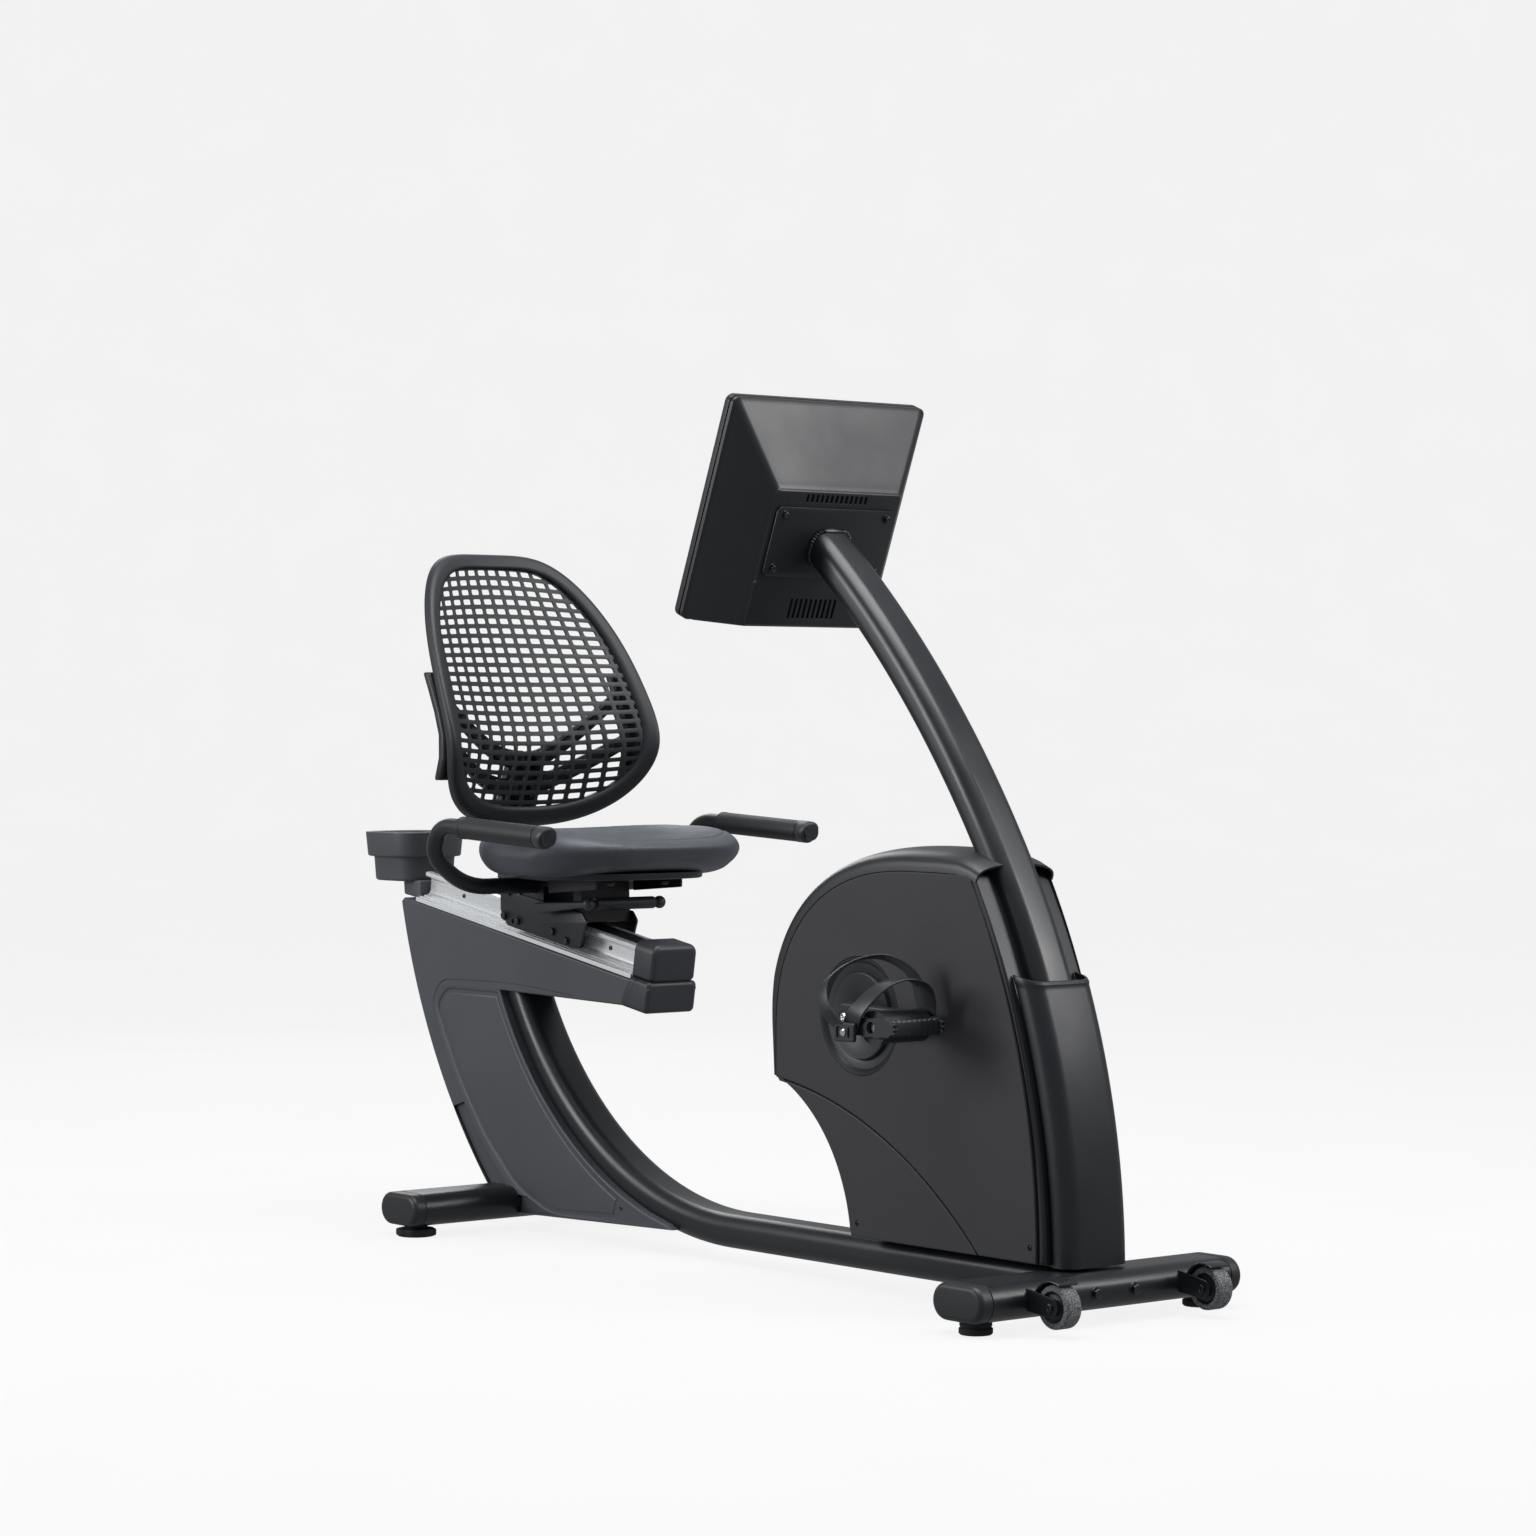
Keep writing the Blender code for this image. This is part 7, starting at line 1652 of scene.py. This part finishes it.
def spine():
    """A flat rounded section carried up the spine's line, wide at its foot and narrower at its top."""
    foot_z = RAIL_Z + 0.0165 * tan(RAIL_TILT) * -1 + RAIL_HEIGHT / cos(RAIL_TILT) + 0.0115
    corners = [(-1.2628, 0, foot_z), (-1.3, 0, foot_z + 0.038), (-1.318, 0, 0.62)]
    corners += [(back_x(0, z) - BACK_DEPTH - SPINE_THICK - SPINE_CLEAR, 0, z) for z in (0.69, SPINE_TOP_Z)]
    line = smooth_path(np.array(corners), 12)
    ahead = np.gradient(line, axis=0)
    ahead /= np.linalg.norm(ahead, axis=1, keepdims=True)
    across = np.column_stack([ahead[:, 2], ahead[:, 1], -ahead[:, 0]])
    half = SPINE_HALF * (1.25 - 0.32 * np.linspace(0, 1, len(line)))
    base = rounded_box(1.0, SPINE_THICK, 0.006, 5)
    rings = []
    for k in range(len(line)):
        section = base.copy()
        section[:, 0] = np.sign(base[:, 0]) * (half[k] - (0.5 - np.abs(base[:, 0])))
        rings.append(line[k] + section[:, :1] * Y_AXIS + section[:, 1:] * across[k])
    rings[0] = to_plane(rings[0], np.array([-1.0, 0, 0]), line[0], X_AXIS)
    return skin(rings)


def arm(side, foot_z, rise, power):
    """An arm from the spine to the side block: a rounded section that thins as it rises."""
    rings = []
    for t in np.linspace(0, 1, 20):
        y, z = side * (0.012 + 0.164 * t), foot_z + rise * t ** power
        x = back_x(y, z) - BACK_DEPTH - SPINE_CLEAR - SPINE_THICK * 0.5
        section = rounded_box(SPINE_THICK * 0.9, 0.03 - 0.006 * t, 0.0065, 6)
        rings.append(np.column_stack([x + section[:, 0], np.full(len(section), y), z + section[:, 1]]))
    return skin(rings)


def side_block(side):
    """The block behind the hoop's side, with its ends drawn in by 3 mm."""
    y = side * 0.176
    rings = []
    for z, shrink in ((0.705, 0.003), (0.7062, 0.001), (0.709, 0), (0.74, 0), (0.775, 0), (0.81, 0),
                      (0.845, 0), (0.868, 0), (0.8708, 0.001), (0.872, 0.003)):
        x = back_x(y, z) - BACK_DEPTH - SPINE_CLEAR - 0.012
        section = rounded_box(0.018 - 2 * shrink, 0.03 - 2 * shrink, 0.006 - shrink, 5)
        rings.append(np.column_stack([x + 0.003 + section[:, 0], y + section[:, 1],
            np.full(len(section), z)]))
    return skin(rings)


put("backrest_spine", joined(spine(), arm(-1, 0.735, 0.105, 2.0), arm(1, 0.735, 0.105, 1.2),
    arm(-1, 0.69, 0.08, 2.0), arm(1, 0.69, 0.08, 1.2), side_block(-1), side_block(1)), black_nylon,
    "seat_carriage", ["backrest_support"])
back_screws = []
for side in (-1, 1):
    for z in (0.722, 0.855):
        x = back_x(0.176, z) - BACK_DEPTH - SPINE_CLEAR - 0.0178
        back_screws.append(socket_screw((x, side * 0.176, z), -X_AXIS, 0.0042, 0.0026))
for z in (0.56, 0.59):
    back_screws.append(socket_screw((-1.321 - (0.59 - z) * -0.16, 0, z), -X_AXIS, 0.0046, 0.003))
put("backrest_screws", joined(*back_screws), black_oxide, "seat_carriage")


# ---- console ------------------------------------------------------------------------------------
# A tablet-like display in two ABS halves: a thin bezel round dark glass, and a deep back that slopes in to
# a vented box. A steel plate on the box meets the post's end.
CONSOLE_WIDTH, CONSOLE_HEIGHT, CONSOLE_CORNER = 0.3575, 0.3328, 0.012
BEZEL_DEPTH, BEZEL_RIM = 0.012, 0.016
BOX_WIDTH, BOX_HEIGHT, BOX_DROP = 0.231, 0.203, 0.048
BRACKET_WIDTH, BRACKET_HEIGHT, BRACKET_DROP = 0.22, 0.104, 0.022
VENT_DEPTH = 0.0032


def on_console(shape):
    """Moves a part drawn flat, across and up the screen, onto the console; depth goes away from the rider."""
    return moved(shape, console_middle, Y_AXIS, console_up, console_out)


def console_rings(levels):
    """Rounded rectangles for (depth, width, height, corner, drop) levels."""
    rings = []
    for depth, width, height, corner, drop in levels:
        outline = rounded_box(width, height, corner, 8)
        rings.append(console_middle + outline[:, :1] * Y_AXIS + (outline[:, 1:] - drop) * console_up
                     + depth * console_out)
    return skin(rings)


def back_levels():
    """From the bezel: a shadow gap, a straight rim, a 6 mm round, a slope to the box and a 4 mm round."""
    w, h, c = CONSOLE_WIDTH, CONSOLE_HEIGHT, CONSOLE_CORNER
    slope_end = SHELL_DEPTH - 0.0045
    levels = [(0.0002, w - 0.012, h - 0.012, c - 0.006, 0), (0.0004, w - 0.0036, h - 0.0036, c - 0.0018, 0),
              (0.0022, w - 0.0034, h - 0.0034, c - 0.0017, 0),
              (0.0026, w, h, c, 0), (0.0085, w, h, c, 0)]
    for share, sink in ((0.025, 0.0016), (0.06, 0.0012)):
        levels.append((0.0085 + (slope_end - 0.0085) * share - 0.0002, w - (w - BOX_WIDTH) * share - sink,
                       h - (h - BOX_HEIGHT) * share - sink, c, BOX_DROP * share))
    levels += [(0.0085 + (slope_end - 0.0085) * t, w - (w - BOX_WIDTH - 0.007) * t,
                h - (h - BOX_HEIGHT - 0.007) * t, c - 0.003 * t, BOX_DROP * t)
               for t in (0.12, 0.5, 0.9, 0.965)]
    levels += [(slope_end, BOX_WIDTH + 0.0058, BOX_HEIGHT + 0.0058, 0.0085, BOX_DROP),
               (SHELL_DEPTH - VENT_DEPTH, BOX_WIDTH + 0.003, BOX_HEIGHT + 0.003, 0.008, BOX_DROP)]
    return levels


def slot_outline(width, height, corner, across, up):
    """A rounded slot about a point of the console's face."""
    return rounded_box(width, height, corner, 4) + (across, up)


def vented_face():
    """The box's flat rear face, with two rows of slots cut through it to the wall behind."""
    outline = rounded_box(BOX_WIDTH + 0.003, BOX_HEIGHT + 0.003, 0.008, 8) - (0, BOX_DROP)
    walls = [(0.0004, SHELL_DEPTH), (0, SHELL_DEPTH - 0.0004), (0, SHELL_DEPTH - VENT_DEPTH)]
    holes = []
    for k in range(13):
        holes.append((slot_outline(0.0042, 0.012, 0.0018, -0.058 + 0.009 * k, 0.043), walls, True))
    for k in range(10):
        holes.append((slot_outline(0.0042, 0.03, 0.0018, -0.0405 + 0.009 * k, -0.123), walls, True))
    edge = [(0, SHELL_DEPTH - VENT_DEPTH), (0.0008, SHELL_DEPTH - 0.0016), (0.002, SHELL_DEPTH - 0.0004),
            (0.0034, SHELL_DEPTH)]
    return on_console(panel(outline, edge, holes=holes))


# Satin ABS in blue-black with a fine mould grain.
console_abs = moulded("satin_abs_blue_black", "#1d1e22", 0.36, grain=480.0, depth=0.12)
put("console_back_mould", joined(console_rings(back_levels()), vented_face()), console_abs, "frame",
    ["console_back_shell"])
case_screws = []
for across, up in ((-0.085, -0.131), (0.05, -0.131), (-0.115, -0.086), (0.115, -0.086), (-0.103, 0.043),
                   (0.103, 0.043)):
    spot = console_middle + across * Y_AXIS + up * console_up + (SHELL_DEPTH - 0.0012) * console_out
    case_screws.append(socket_screw(spot, console_out, 0.0036, 0.0014))
put("console_case_screws", joined(*case_screws), black_oxide, "frame")
plate = panel(rounded_box(BRACKET_WIDTH, BRACKET_HEIGHT, 0.008, 8) - (0, BRACKET_DROP),
              [(0.0006, SHELL_DEPTH + GAP), (0, SHELL_DEPTH + GAP + 0.0006),
               (0, SHELL_DEPTH + GAP + BRACKET_THICK - 0.0009),
               (0.0003, SHELL_DEPTH + GAP + BRACKET_THICK - 0.0003),
               (0.001, SHELL_DEPTH + GAP + BRACKET_THICK)])
put("console_mount_plate", on_console(plate), black_powder_coat, "frame",
    ["console_bracket"])
plate_screws = []
for across in (-0.095, 0.095):
    for up in (-0.062, 0.018):
        spot = (console_middle + across * Y_AXIS + up * console_up
                + (SHELL_DEPTH + GAP + BRACKET_THICK - 0.0002) * console_out)
        plate_screws.append(hex_bolt(spot, console_out, 0.0048, 0.0034, 0.001))
put("console_plate_bolts", joined(*plate_screws), black_oxide, "frame")


def bezel():
    """A frame with a 3 mm rounded outer edge whose inner edge bevels down to the glass."""
    w, h, c = CONSOLE_WIDTH, CONSOLE_HEIGHT, CONSOLE_CORNER
    inner = rounded_box(w - 2 * BEZEL_RIM, h - 2 * BEZEL_RIM, 0.005, 6)
    walls = [(0, -BEZEL_DEPTH), (0.0016, -BEZEL_DEPTH + 0.0028), (0.0016, -GAP)]
    edge = [(0.0, -GAP), (0.0, -BEZEL_DEPTH + 0.0034), (0.0004, -BEZEL_DEPTH + 0.0018),
            (0.0014, -BEZEL_DEPTH + 0.0006), (0.0032, -BEZEL_DEPTH)]
    return on_console(panel(rounded_box(w, h, c, 8), edge, holes=[(inner, walls, True)]))


put("console_bezel_frame", bezel(), console_abs, "frame", ["console_bezel"])
# The glass is off: a near-black panel with a soft sheen and the faintest smears of fingertips.
screen_black, shader, place = new_material("display_glass_black", "#08090b", 0.09, specular=0.6)
smears = add_node(screen_black, "TexNoise", [(place, "Vector")], Scale=22.0, Detail=5.0, Distortion=1.2)
sheen = add_node(screen_black, "MapRange", [(smears.outputs["Fac"], "Value")], From_Min=0.45, From_Max=0.75,
                 To_Min=0.08, To_Max=0.105)
wire(screen_black, sheen.outputs["Result"], shader.inputs["Roughness"])
glass = panel(rounded_box(CONSOLE_WIDTH - 2 * BEZEL_RIM - 0.0006, CONSOLE_HEIGHT - 2 * BEZEL_RIM - 0.0006,
    0.0047, 6),
              [(0.0, -BEZEL_DEPTH + 0.0064), (0.0, -BEZEL_DEPTH + 0.0036), (0.0006, -BEZEL_DEPTH + 0.003)])
put("console_glass", on_console(glass), screen_black, "frame", ["console_screen"])
keys = []
for k in range(5):
    key = panel(rounded_box(0.024, 0.0072, 0.003, 5) + (0.036 * (k - 2), -CONSOLE_HEIGHT / 2 + 0.0084),
                [(0.0, -BEZEL_DEPTH + 0.0004), (0.0, -BEZEL_DEPTH - 0.0004),
        (0.0006, -BEZEL_DEPTH - 0.0008)])
    keys.append(on_console(key))
# Silicone rubber keys: matt grey.
key_rubber = moulded("key_rubber_grey", "#5c5f65", 0.55)
put("console_keys", joined(*keys), key_rubber, "frame")
